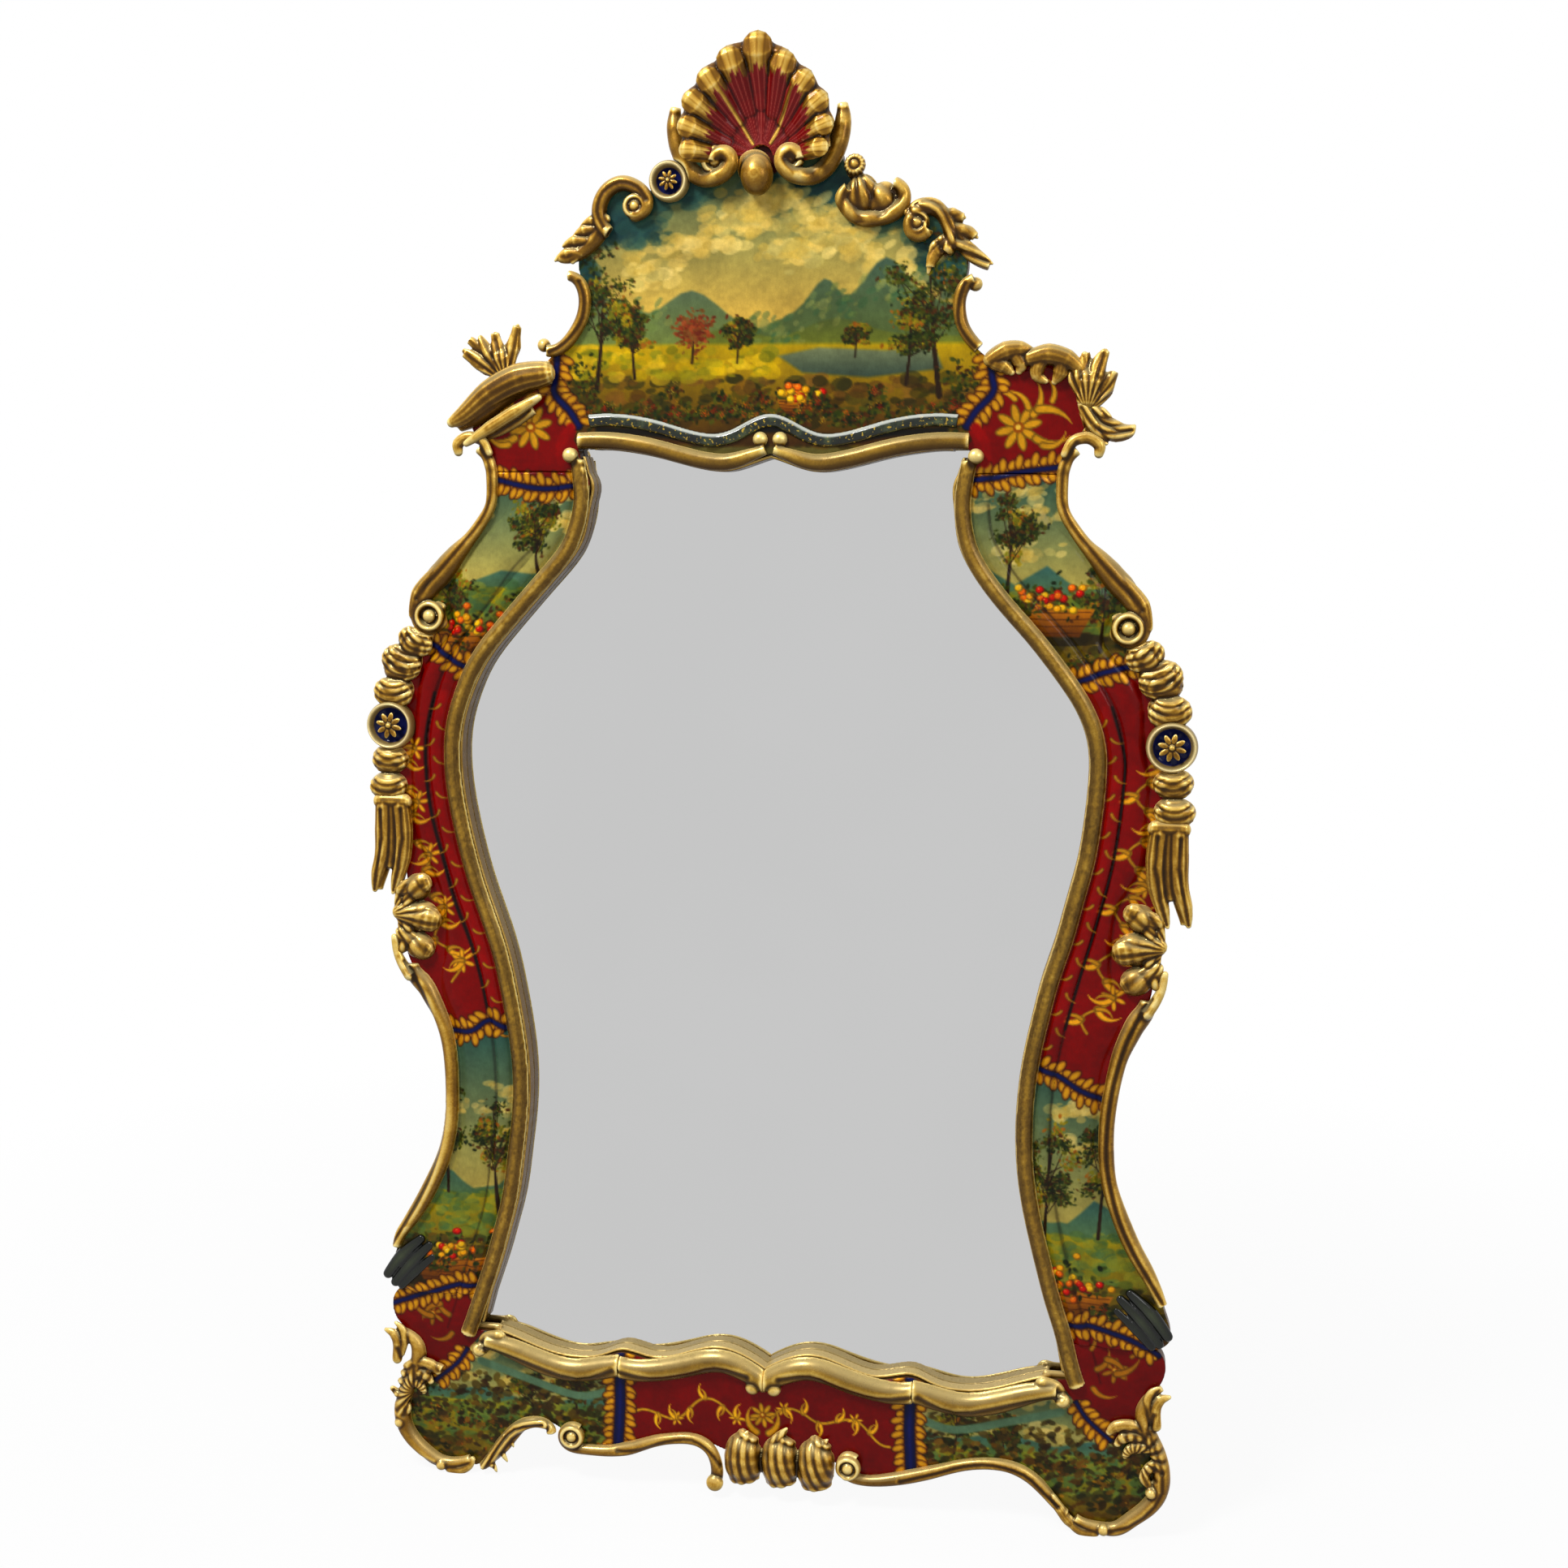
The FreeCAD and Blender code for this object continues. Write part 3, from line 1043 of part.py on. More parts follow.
BOTTOM_LEAF_SHARES = ((-3.86, 0.12), (-3.66, 0.34), (-3.50, 0.54), (-3.32, 0.74), (-3.10, 0.83),
                      (-2.94, 0.80), (-2.88, 0.70))
BOTTOM_LEFT_SHARES = ((-2.50, 0.80), (-2.63, 0.81), (-2.72, 0.71), (-2.69, 0.58), (-2.57, 0.52),
                      (-2.41, 0.51), (-2.09, 0.52), (-1.84, 0.57), (-1.42, 0.73), (-1.13, 0.79),
                      (-0.88, 0.78), (-0.72, 0.68), (-0.64, 0.52), (-0.62, 0.34), (-0.64, 0.22))
BOTTOM_LEFT_WIDTH_SHARES = (0.4, 0.55, 0.6, 0.65, 0.7, 0.8, 1.0, 0.9, 0.8, 0.7, 0.75, 0.8, 0.8,
                            0.85, 0.9)
BOTTOM_RIGHT_SHARES = ((3.94, 0.27), (3.80, 0.40), (3.65, 0.56), (3.49, 0.70), (3.23, 0.82),
                       (2.94, 0.84), (2.63, 0.79), (2.28, 0.67), (1.80, 0.52), (1.50, 0.46),
                       (1.25, 0.46), (1.09, 0.53), (1.04, 0.66), (1.11, 0.76), (1.22, 0.74))
BOTTOM_RIGHT_WIDTH_SHARES = (0.4, 0.7, 0.9, 0.9, 0.8, 0.75, 0.75, 0.8, 0.95, 1.0, 0.9, 0.7,
                             0.65, 0.6, 0.5)

BOTTOM_LEFT_EYE_SHARES = (-2.59, 0.67)
BOTTOM_RIGHT_EYE_SHARES = (1.17, 0.63)

leaf = strip(template(BOTTOM_LEAF_SHARES), size("edge_width"), size("edge_rise"),
             (0.4, 0.9, 1.2, 1.1, 0.9, 0.7, 0.5))
edge = strip(template(BOTTOM_LEFT_SHARES), size("edge_width"), size("edge_rise"),
             BOTTOM_LEFT_WIDTH_SHARES)
volute_eye = eye(at(*BOTTOM_LEFT_EYE_SHARES), 0.55 * size("edge_width"))
keep("bottom_edge_left", Part.makeCompound([leaf, fused([edge, volute_eye])]))
edge = strip(template(BOTTOM_RIGHT_SHARES), size("edge_width"), size("edge_rise"),
             BOTTOM_RIGHT_WIDTH_SHARES)
volute_eye = eye(at(*BOTTOM_RIGHT_EYE_SHARES), 0.6 * size("edge_width"))
keep("bottom_edge_right", fused([edge, volute_eye]))

BOTTOM_LOBE_SHARES = (-0.27, 0.22, 0.69)
BOTTOM_LOBE_PATH_SHARES = ((0.02, 0.27), (0.0, 0.45), (0.0, 0.62), (0.03, 0.80), (0.09, 0.95))
lobes = []
for across in BOTTOM_LOBE_SHARES:
    path = [at(across + aside, up) for aside, up in BOTTOM_LOBE_PATH_SHARES]
    lobes.append(strip(path, size("rocaille_width"), size("rocaille_rise"),
                       (0.72, 0.97, 1.0, 0.9, 0.4), (0.6, 0.95, 1, 0.9, 0.4)))
keep("bottom_rocaille", fused(lobes))


# The carved work of the crest.
EDGING_SHARES = {
    LEFT: ((-2.52, 15.76), (-2.40, 15.70), (-2.32, 15.50), (-2.34, 15.30), (-2.47, 15.05),
           (-2.66, 14.88), (-2.80, 14.86)),
    RIGHT: ((2.44, 15.66), (2.35, 15.60), (2.28, 15.44), (2.28, 15.28), (2.32, 15.12),
            (2.42, 14.96), (2.52, 14.86)),
}
EDGING_EYE_SHARES = {LEFT: (-2.85, 14.93), RIGHT: (2.46, 15.60)}
for side in (LEFT, RIGHT):
    edging = strip(template(EDGING_SHARES[side]), size("edging_width"), size("edging_rise"),
                   (0.6, 1, 1, 1, 1, 1, 0.9))
    across, up = EDGING_EYE_SHARES[side]
    keep("crest_edging_" + SIDE_NAMES[side],
         fused([edging, eye(at(across, up), 0.6 * size("edging_width"))]))

CREST_SCROLL_SHARES = ((-2.00, 16.26), (-2.12, 16.44), (-2.10, 16.64), (-1.98, 16.79),
                       (-1.84, 16.84), (-1.68, 16.80), (-1.56, 16.70), (-1.53, 16.58),
                       (-1.60, 16.48), (-1.70, 16.47))
crest_scroll = strip(template(CREST_SCROLL_SHARES), size("crest_scroll_width"),
                     size("crest_scroll_rise"),
                     (0.7, 1, 1, 1, 1, 1, 0.9, 0.8, 0.6, 0.5))
CREST_SCROLL_EYE_SHARES = (-1.68, 16.57)
crest_scroll_eye = eye(at(*CREST_SCROLL_EYE_SHARES), 0.55 * size("crest_scroll_width"))
HUSK_STEM_SHARES = ((-2.05, 16.32), (-2.20, 16.18), (-2.36, 16.04), (-2.50, 15.97), (-2.62, 15.97))
husk_stem = strip(template(HUSK_STEM_SHARES), size("leaf_width"), size("leaf_rise"),
                  (0.9, 1.2, 1.1, 0.8, 0.4))
HUSK_TIP_SHARES = ((-2.10, 16.24, -2.32, 16.34), (-2.22, 16.14, -2.44, 16.24),
                   (-2.32, 16.06, -2.55, 16.14))
HUSK_SAG_SHARE = 0.04
husks = [husk_stem]
for root_across, root_up, tip_across, tip_up in HUSK_TIP_SHARES:
    root = at(root_across, root_up)
    tip = at(tip_across, tip_up)
    middle = root + (tip - root) * 0.5 - at(0, HUSK_SAG_SHARE)
    husks.append(strip([root, middle, tip], 0.8 * size("leaf_width"), 0.9 * size("leaf_rise"),
                       (1, 0.9, 0.3)))
keep("crest_scroll_left", fused([crest_scroll, crest_scroll_eye] + husks))

ROCAILLE_RIM_SHARES = ((0.93, 16.72), (0.86, 16.60), (0.95, 16.46), (1.10, 16.37), (1.28, 16.37),
                       (1.46, 16.42), (1.58, 16.54), (1.58, 16.68), (1.48, 16.77))
rim = strip(template(ROCAILLE_RIM_SHARES), size("crest_scroll_width"),
            size("crest_scroll_rise"), (0.6, 0.9, 1, 1, 1, 1, 1, 0.9, 0.6))
RUFFLE_SHARES = ((1.08, 16.66), (1.34, 16.60))
ROCAILLE_EYE_SHARES = (0.99, 16.92)
ruffle_left = dome(at(*RUFFLE_SHARES[0]), 1.25 * size("crest_scroll_width"),
                   1.5 * size("crest_scroll_width"), size("crest_scroll_rise"), 20)
ruffle_right = dome(at(*RUFFLE_SHARES[1]), 1.1 * size("crest_scroll_width"),
                    1.3 * size("crest_scroll_width"), size("crest_scroll_rise"), 20)
rocaille_eye = eye(at(*ROCAILLE_EYE_SHARES), 0.55 * size("crest_scroll_width"))
keep("crest_rocaille", fused([rim, ruffle_left, ruffle_right, rocaille_eye]))

LEAF_SCROLL_SHARES = ((1.87, 16.24), (1.79, 16.16), (1.69, 16.21), (1.68, 16.34), (1.76, 16.45),
                      (1.88, 16.49), (2.02, 16.44), (2.13, 16.28), (2.16, 16.12), (2.10, 15.96))
scroll = strip(template(LEAF_SCROLL_SHARES), size("crest_scroll_width"),
               size("crest_scroll_rise"), (0.4, 0.5, 0.6, 0.75, 0.85, 1, 1, 1, 0.9, 0.5))
LEAF_SCROLL_EYE_SHARES = (1.80, 16.34)
scroll_eye = eye(at(*LEAF_SCROLL_EYE_SHARES), 0.6 * size("crest_scroll_width"))
LEAF_PATH_SHARES = (
    ((2.10, 16.34), (2.26, 16.12), (2.42, 15.92), (2.62, 15.80)),
    ((2.08, 16.40), (2.20, 16.38), (2.31, 16.36)),
    ((2.20, 16.18), (2.33, 16.20), (2.45, 16.14)),
    ((2.12, 16.10), (1.99, 15.98), (1.92, 15.80)),
)
leaves = [strip(template(path), size("leaf_width"), size("leaf_rise"),
                (0.9, 1.1, 0.9, 0.3)) for path in LEAF_PATH_SHARES]
keep("crest_leaf_scroll", fused([scroll, scroll_eye] + leaves))

SHELL_HUB_SHARE = (-0.12, 17.10)
SHELL_SPAN_SHARES = (0.62, 0.70, 0.76, 0.80, 0.87, 1.0, 0.92, 0.85, 0.81, 0.74, 0.68)
SHELL_FIRST_ANGLE = 4.0
SHELL_LAST_ANGLE = 176.0
SHELL_CUTS = 4
SHELL_FOOT_SHARE = 0.80
# The shell's front from the hub to the rim: way outwards, then shares of the floor, of the rise
# and of the valley's depth.
SHELL_PROFILE_SHARES = ((0.0, 1.0, 0.0, 0.0), (0.40, 1.0, 0.0, 0.4), (0.72, 0.4, 0.46, 0.8),
                        (0.93, 0.0, 1.0, 1.0), (1.0, 0.0, 0.80, 1.0))


def shell():
    """A scallop: sections fan out from the hub, over the ridges and through the valleys."""
    ridges = len(SHELL_SPAN_SHARES)
    hub = at(SHELL_HUB_SHARE[0], SHELL_HUB_SHARE[1])
    count = SHELL_CUTS * (ridges - 1) + 1
    sections = []
    for index in range(count):
        fraction = index / (count - 1)
        valley = 0.5 - 0.5 * math.cos(2 * math.pi * index / SHELL_CUTS)
        angle = SHELL_FIRST_ANGLE + fraction * (SHELL_LAST_ANGLE - SHELL_FIRST_ANGLE)
        sink = valley * size("flute_depth")
        reach = size("shell_reach") * share_along(SHELL_SPAN_SHARES, fraction) - sink
        turn = Rotation(Vector(0, 1, 0), -angle)
        front = []
        for radius_share, floor_share, rise_share, sink_share in SHELL_PROFILE_SHARES:
            radius = size("shell_hub_radius") + radius_share * (reach - size("shell_hub_radius"))
            rise = (floor_share * size("shell_floor") + rise_share * size("shell_rise")
                    - sink_share * sink)
            front.append(hub + turn.multVec(Vector(radius, -SEAT_DEPTH - rise, 0)))
        hub_foot = hub + turn.multVec(Vector(size("shell_hub_radius"), -SEAT_DEPTH, 0))
        rim_foot = hub + turn.multVec(Vector(SHELL_FOOT_SHARE * reach, -SEAT_DEPTH, 0))
        sections.append(Part.Wire([
            spline(front).toShape(), Part.makeLine(front[-1], rim_foot),
            Part.makeLine(rim_foot, hub_foot), Part.makeLine(hub_foot, front[0])]))
    return loft(sections, True)


keep("shell", shell())

# The scrolls that hold the shell are drawn from its hub, outside first, and end in front of it.
SHELL_SCROLL_SHARES = ((1.01, 0.60), (1.02, 0.41), (0.99, 0.20), (0.91, -0.01), (0.79, -0.16),
                       (0.63, -0.24), (0.47, -0.23), (0.35, -0.15), (0.31, -0.04), (0.37, 0.04),
                       (0.47, 0.03), (0.53, -0.05))
SHELL_SCROLL_MIDDLE_SHARE = -0.16
SHELL_SCROLL_EYE_SHARES = (0.445, -0.07)
SHELL_SCROLL_LIFT_SHARES = (0, 0, 0, 0, 0, 0, 0.2, 0.9, 1, 1, 1, 1)
for side in (LEFT, RIGHT):
    path = [at(SHELL_SCROLL_MIDDLE_SHARE + side * across, SHELL_HUB_SHARE[1] + up)
            for across, up in SHELL_SCROLL_SHARES]
    lift = size("shell_floor") + 4 * SEAT_GAP
    scroll = strip(path, size("shell_scroll_width"), size("shell_scroll_rise"),
                   (0.5, 0.9, 1, 1, 1, 1, 0.95, 0.8, 0.7, 0.6, 0.55, 0.45),
                   (0.6, 0.9, 1, 1, 1, 1, 1, 1, 0.9), lift=lift,
                   lift_shares=SHELL_SCROLL_LIFT_SHARES)
    across, up = SHELL_SCROLL_EYE_SHARES
    scroll_eye = eye(at(SHELL_SCROLL_MIDDLE_SHARE + side * across, SHELL_HUB_SHARE[1] + up),
                     0.5 * size("shell_scroll_width"), SEAT_DEPTH + lift)
    roundel_cut = round_cutter(at(CREST_ROUNDEL_SHARE[0], CREST_ROUNDEL_SHARE[1]),
                               size("crest_roundel_radius"), size("shell_scroll_rise"))
    keep("shell_scroll_" + SIDE_NAMES[side], fused([scroll, scroll_eye]).cut(roundel_cut))

SHELL_BALL_SHARE = (-0.15, 16.88)
ball = doc.addObject("Part::Ellipsoid", "ball_egg")
bind(ball, {"Radius2": "Sizes.ball_radius", "Radius3": "Sizes.ball_radius",
            "Radius1": "Sizes.ball_height"})
doc.recompute()
ball_front = size("ball_radius")
ball.Placement = Placement(at(SHELL_BALL_SHARE[0], SHELL_BALL_SHARE[1],
                              SEAT_DEPTH + size("shell_floor") + 0.45 * ball_front), Rotation())
back_block = doc.addObject("Part::Box", "ball_back")
bind(back_block, {"Length": "4 * Sizes.ball_height", "Height": "4 * Sizes.ball_height",
                  "Width": "Sizes.board_thickness"})
back_block.Placement = Placement(ball.Placement.Base
                                 + Vector(-2 * size("ball_height"), 0, -2 * size("ball_height")),
                                 Rotation())
doc.recompute()
back_block.Placement = Placement(Vector(back_block.Placement.Base.x, -SEAT_DEPTH,
                                        back_block.Placement.Base.z), Rotation())
ball_cut = doc.addObject("Part::Cut", "shell_ball")
ball_cut.Base = ball
ball_cut.Tool = back_block
doc.recompute()
ball_cut.Placement = Placement(-ORIGIN, Rotation())
keep_object(ball_cut, "shell_ball")

# The carved work of the two shoulders.
ROLL_SHARES = ((-2.76, 14.60), (-3.04, 14.54), (-3.34, 14.40), (-3.62, 14.20), (-3.82, 14.06),
               (-3.98, 13.97))
LOOP_SHARES = ((-2.98, 14.14), (-3.22, 14.00), (-3.46, 13.88), (-3.68, 13.81))
roll = strip(template(ROLL_SHARES), size("roll_width"), size("roll_rise"),
             (0.75, 0.95, 1, 0.95, 0.9, 0.55), (0.7, 1, 1, 1, 0.9, 0.6))
loop = strip(template(LOOP_SHARES), size("loop_width"), size("loop_rise"), (0.7, 1, 1, 0.7))
keep("left_shoulder_roll", Part.makeCompound([roll, loop]))

PALMETTE_SHARES = {
    LEFT: (((-3.30, 14.69), (-3.24, 14.92), (-3.18, 15.16)),
           ((-3.36, 14.66), (-3.43, 14.88), (-3.47, 15.08)),
           ((-3.41, 14.64), (-3.62, 14.85), (-3.80, 15.00)),
           ((-3.47, 14.60), (-3.67, 14.71), (-3.87, 14.84))),
    RIGHT: (((3.80, 14.20), (3.70, 14.44), (3.62, 14.64)),
            ((3.82, 14.20), (3.80, 14.52), (3.77, 14.80)),
            ((3.84, 14.20), (3.92, 14.54), (4.00, 14.82)),
            ((3.86, 14.18), (4.02, 14.38), (4.11, 14.58))),
}
for side in (LEFT, RIGHT):
    fronds = [strip(template(path), size("leaf_width"), size("leaf_rise"), (0.7, 1.1, 0.3))
              for path in PALMETTE_SHARES[side]]
    keep(SIDE_NAMES[side] + "_palmette", fused(fronds))

SHOULDER_LEAF_SHARES = (
    ((2.64, 14.74), (2.80, 14.84), (2.98, 14.86), (3.14, 14.80)),
    ((3.12, 14.66), (3.26, 14.78), (3.46, 14.78), (3.64, 14.68)),
)
SIDE_LEAF_SHARES = (
    ((3.74, 14.02), (3.94, 14.02), (4.14, 13.94), (4.35, 13.92)),
    ((3.80, 13.96), (3.98, 13.88), (4.16, 13.84)),
)
upper_leaves = [strip(template(path), size("leaf_width"), size("leaf_rise"), (0.7, 1, 0.9, 0.4))
                for path in SHOULDER_LEAF_SHARES]
side_leaves = [strip(template(path), 1.2 * size("leaf_width"), size("leaf_rise"),
                     (0.9, 1, 0.8, 0.3)) for path in SIDE_LEAF_SHARES]
keep("right_shoulder_leaves", Part.makeCompound(upper_leaves + [fused(side_leaves)]))


doc.recompute()
for feature in doc.Objects:
    if "Invalid" in feature.State or "Error" in feature.State:
        raise RuntimeError("failed to compute: " + feature.Label)
for feature in sub_parts:
    if feature.Shape.isNull() or not feature.Shape.isValid():
        raise RuntimeError("bad shape: " + feature.Label)

os.makedirs("parts", exist_ok=True)
for feature in sub_parts:
    print(feature.Label, len(feature.Shape.Solids), round(feature.Shape.Volume))
    feature.Shape.exportStep("parts/%s.step" % feature.Label)
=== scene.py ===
"""Looks of a tall wall mirror: painted and gilt carved frame, shell crest, two hanging rings."""
import logging
import math
from dataclasses import dataclass, field
from enum import Enum
from typing import Callable, Sequence

import bpy
import numpy as np
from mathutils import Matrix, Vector


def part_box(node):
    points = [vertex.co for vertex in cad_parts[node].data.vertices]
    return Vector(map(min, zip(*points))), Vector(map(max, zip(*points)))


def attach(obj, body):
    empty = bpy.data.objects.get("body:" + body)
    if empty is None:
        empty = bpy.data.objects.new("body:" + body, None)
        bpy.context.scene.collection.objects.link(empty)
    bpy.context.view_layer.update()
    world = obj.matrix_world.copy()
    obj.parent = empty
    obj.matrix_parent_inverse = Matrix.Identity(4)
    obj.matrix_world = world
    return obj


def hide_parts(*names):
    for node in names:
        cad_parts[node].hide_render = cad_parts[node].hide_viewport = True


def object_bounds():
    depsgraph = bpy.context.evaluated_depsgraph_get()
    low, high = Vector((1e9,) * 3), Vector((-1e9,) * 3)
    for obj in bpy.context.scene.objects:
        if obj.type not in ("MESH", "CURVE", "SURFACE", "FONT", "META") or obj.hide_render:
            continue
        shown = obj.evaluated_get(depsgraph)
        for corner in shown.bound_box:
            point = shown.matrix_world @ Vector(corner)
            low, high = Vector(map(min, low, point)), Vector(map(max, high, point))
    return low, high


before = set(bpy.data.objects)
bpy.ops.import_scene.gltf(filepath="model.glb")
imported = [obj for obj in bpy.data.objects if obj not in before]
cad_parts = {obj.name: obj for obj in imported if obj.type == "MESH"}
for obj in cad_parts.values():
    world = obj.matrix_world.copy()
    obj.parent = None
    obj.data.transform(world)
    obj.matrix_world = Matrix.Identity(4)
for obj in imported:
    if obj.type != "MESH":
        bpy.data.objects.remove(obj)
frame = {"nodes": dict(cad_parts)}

CAD_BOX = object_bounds()
LOG = logging.getLogger("mirror")

Point = tuple[float, float]
Line = Sequence[Point]
Colour = tuple[float, float, float]
Rows = Sequence[tuple[Line, tuple[float, ...]]]
Piece = bpy.types.Object
Finish = bpy.types.Material
Socket = bpy.types.NodeSocket

# Places are in millimetres of the workshop template: across from the middle, up from the lowest
# point, out from the wall. The frame's own origin is this far up the template.
ORIGIN_UP = 1430.0
MM = 0.001
FULL = 255.0
WELD = 0.000002
BODY = "mirror_body"

# The painted layout is laid out on the plane of the mouldings' crests as the viewer sees it; the
# painted face lies a little deeper, so the layout shrinks towards the eye point by this much.
EYE_ACROSS = 449.0
EYE_UP = 1298.6
LAYOUT_SCALE = 0.9966


class Side(Enum):
    """A side of the mirror as the viewer sees it; the value is the sign of its places across."""

    LEFT = -1
    RIGHT = 1

    @property
    def word(self) -> str:
        """The side's name in lower case."""
        return self.name.lower()

    def turn(self, points: Line) -> list[Point]:
        """Turns a line of right-hand places to this side."""
        return [(self.value * x, z) for x, z in points]

    def span(self, inner: float, outer: float) -> Point:
        """A right-hand span on this side, its lower place across first."""
        return (inner, outer) if self is Side.RIGHT else (-outer, -inner)


def scene_values(display: np.ndarray) -> np.ndarray:
    """Turns display values of 0 to 255 into scene values, by the curve of a display."""
    values = np.clip(display, 0, FULL) / FULL
    return np.where(values <= 0.04045, values / 12.92, ((values + 0.055) / 1.055) ** 2.4)


def tint(colour: Colour) -> np.ndarray:
    """A display colour of 0 to 255 as red, green and blue of the scene."""
    return scene_values(np.asarray(colour, float))


def linear(colour: Colour) -> tuple[float, float, float, float]:
    """A display colour of 0 to 255 as scene values, with an alpha of one."""
    red, green, blue = tint(colour)
    return float(red), float(green), float(blue), 1.0


def blend(first: np.ndarray, second: np.ndarray, share: np.ndarray) -> np.ndarray:
    """Mixes two sets of colours by the second one's share at each point."""
    return first * (1 - share[:, None]) + second * share[:, None]


def place(across: float, up: float, out: float) -> Vector:
    """A template place, right of the middle, up and out from the wall, in the frame's metres."""
    return Vector((across * MM, -out * MM, (up - ORIGIN_UP) * MM))


# Mesh bench


def deselect_all() -> None:
    """Leaves object mode with nothing selected and nothing active."""
    if bpy.context.mode != "OBJECT":
        bpy.ops.object.mode_set(mode="OBJECT")
    bpy.ops.object.select_all(action="DESELECT")
    bpy.context.view_layer.objects.active = None


def activate(piece: Piece) -> None:
    """Makes one piece the only selected and active object."""
    deselect_all()
    piece.select_set(True)
    bpy.context.view_layer.objects.active = piece


def shape_all(piece: Piece, tool: Callable[..., object], **settings: object) -> None:
    """Uses one edit tool on the whole mesh of a piece.

    Args:
        piece: the piece to work.
        tool: the tool.
        **settings: the tool's settings.
    """
    activate(piece)
    bpy.ops.object.mode_set(mode="EDIT")
    bpy.ops.mesh.select_all(action="SELECT")
    tool(**settings)
    bpy.ops.object.mode_set(mode="OBJECT")


def vertex_values(piece: Piece, name: str) -> np.ndarray:
    """A place or direction that the mesh keeps for each vertex, in the frame."""
    flat = np.empty(len(piece.data.vertices) * 3, np.float64)
    piece.data.vertices.foreach_get(name, flat)
    return flat.reshape(-1, 3)


def keep_place() -> None:
    """Moves the active piece's place, turn and size into its mesh."""
    bpy.ops.object.transform_apply(location=True, rotation=True, scale=True)


def template_points(piece: Piece) -> np.ndarray:
    """The vertices of a piece at the origin as rows of across, out and up in the template."""
    points = vertex_values(piece, "co") / MM
    return points * (1, -1, 1) + (0, 0, ORIGIN_UP)


def vertex_normals(piece: Piece) -> np.ndarray:
    """The piece's vertex normals, one row for each vertex."""
    return vertex_values(piece, "normal")


def write_values(piece: Piece, name: str, values: np.ndarray) -> None:
    """Stores one number for each vertex under a name that the finishes read.

    Args:
        piece: the piece to mark.
        name: the attribute's name.
        values: one value for each vertex.
    """
    layer = piece.data.attributes.new(name, "FLOAT", "POINT")
    layer.data.foreach_set("value", np.ascontiguousarray(values, np.float32))


def write_colours(piece: Piece, name: str, colours: np.ndarray) -> None:
    """Stores one colour for each vertex under a name that the finishes read.

    Args:
        piece: the piece to mark.
        name: the attribute's name.
        colours: red, green and blue for each vertex, in scene values.
    """
    layer = piece.data.attributes.new(name, "FLOAT_COLOR", "POINT")
    four = np.ones((len(colours), 4), np.float32)
    four[:, :3] = colours
    layer.data.foreach_set("color", four.ravel())


def apply_modifier(piece: Piece, kind: str, **settings: object) -> None:
    """Adds a modifier with these settings and applies it.

    Args:
        piece: the piece to work.
        kind: the modifier's type.
        **settings: values set on the modifier.
    """
    activate(piece)
    modifier = piece.modifiers.new(kind.title(), kind)
    for key, value in settings.items():
        setattr(modifier, key, value)
    bpy.ops.object.modifier_apply(modifier=modifier.name)


def weight_group(piece: Piece, name: str, weights: np.ndarray) -> None:
    """Stores vertex weights of 0 to 1 in a vertex group, in a hundred steps.

    Args:
        piece: the piece to mark.
        name: the group's name.
        weights: one weight for each vertex.
    """
    group = piece.vertex_groups.new(name=name)
    steps = np.clip(np.rint(weights * 100), 0, 100).astype(int)
    order = np.argsort(steps, kind="stable")
    bounds = np.searchsorted(steps[order], np.arange(102))
    for step in range(101):
        chosen = order[bounds[step]:bounds[step + 1]]
        if len(chosen):
            group.add(chosen.tolist(), step / 100.0, "REPLACE")


def displace(piece: Piece, weights: np.ndarray, depth: float) -> None:
    """Raises the surface along its normals by a weight for each vertex.

    Args:
        piece: the piece to work.
        weights: 0 where the surface stays, 1 where it moves the whole depth.
        depth: millimetres outwards; a negative depth cuts in.
    """
    weight_group(piece, "carving", weights)
    apply_modifier(piece, "DISPLACE", strength=depth * MM, mid_level=0.0,
                   vertex_group="carving")
    piece.vertex_groups.clear()


def worked_copy(node: str, name: str, voxel: float,
                growth: Sequence[Piece] = ()) -> Piece:
    """A merged copy of a CAD node with an even, fine skin that can be carved.

    Args:
        node: the CAD node that the piece stands for.
        name: the new piece's name.
        voxel: the skin's cell in millimetres.
        growth: forms that are grown into it before the skin is laid.

    Returns:
        The new piece.
    """
    mesh = frame["nodes"][node].data.copy()
    mesh.name = name
    mesh.materials.clear()
    piece = bpy.data.objects.new(name, mesh)
    bpy.context.scene.collection.objects.link(piece)
    shape_all(piece, bpy.ops.mesh.remove_doubles, threshold=WELD)
    for attribute in [a.name for a in mesh.attributes if a.name.startswith("custom")]:
        mesh.attributes.remove(mesh.attributes[attribute])
    piece = join_parts((piece, *growth))
    apply_modifier(piece, "REMESH", mode="VOXEL", voxel_size=voxel * MM, use_smooth_shade=True)
    return piece


def neighbour_mean(values: np.ndarray, edges: np.ndarray) -> np.ndarray:
    """Averages each vertex's values over its neighbours.

    Args:
        values: a row for each vertex.
        edges: pairs of vertex numbers.

    Returns:
        The averages, in the same form as the values.
    """
    count = len(values)
    both = np.concatenate([edges, edges[:, ::-1]])
    number = np.maximum(np.bincount(both[:, 0], minlength=count), 1)
    return np.stack([
        np.bincount(both[:, 0], weights=values[both[:, 1], column], minlength=count) / number
        for column in range(values.shape[1])
    ], axis=1)


def edge_pairs(piece: Piece) -> np.ndarray:
    """The piece's edges as pairs of vertex numbers."""
    flat = np.empty(len(piece.data.edges) * 2, np.int32)
    piece.data.edges.foreach_get("vertices", flat)
    return flat.reshape(-1, 2)


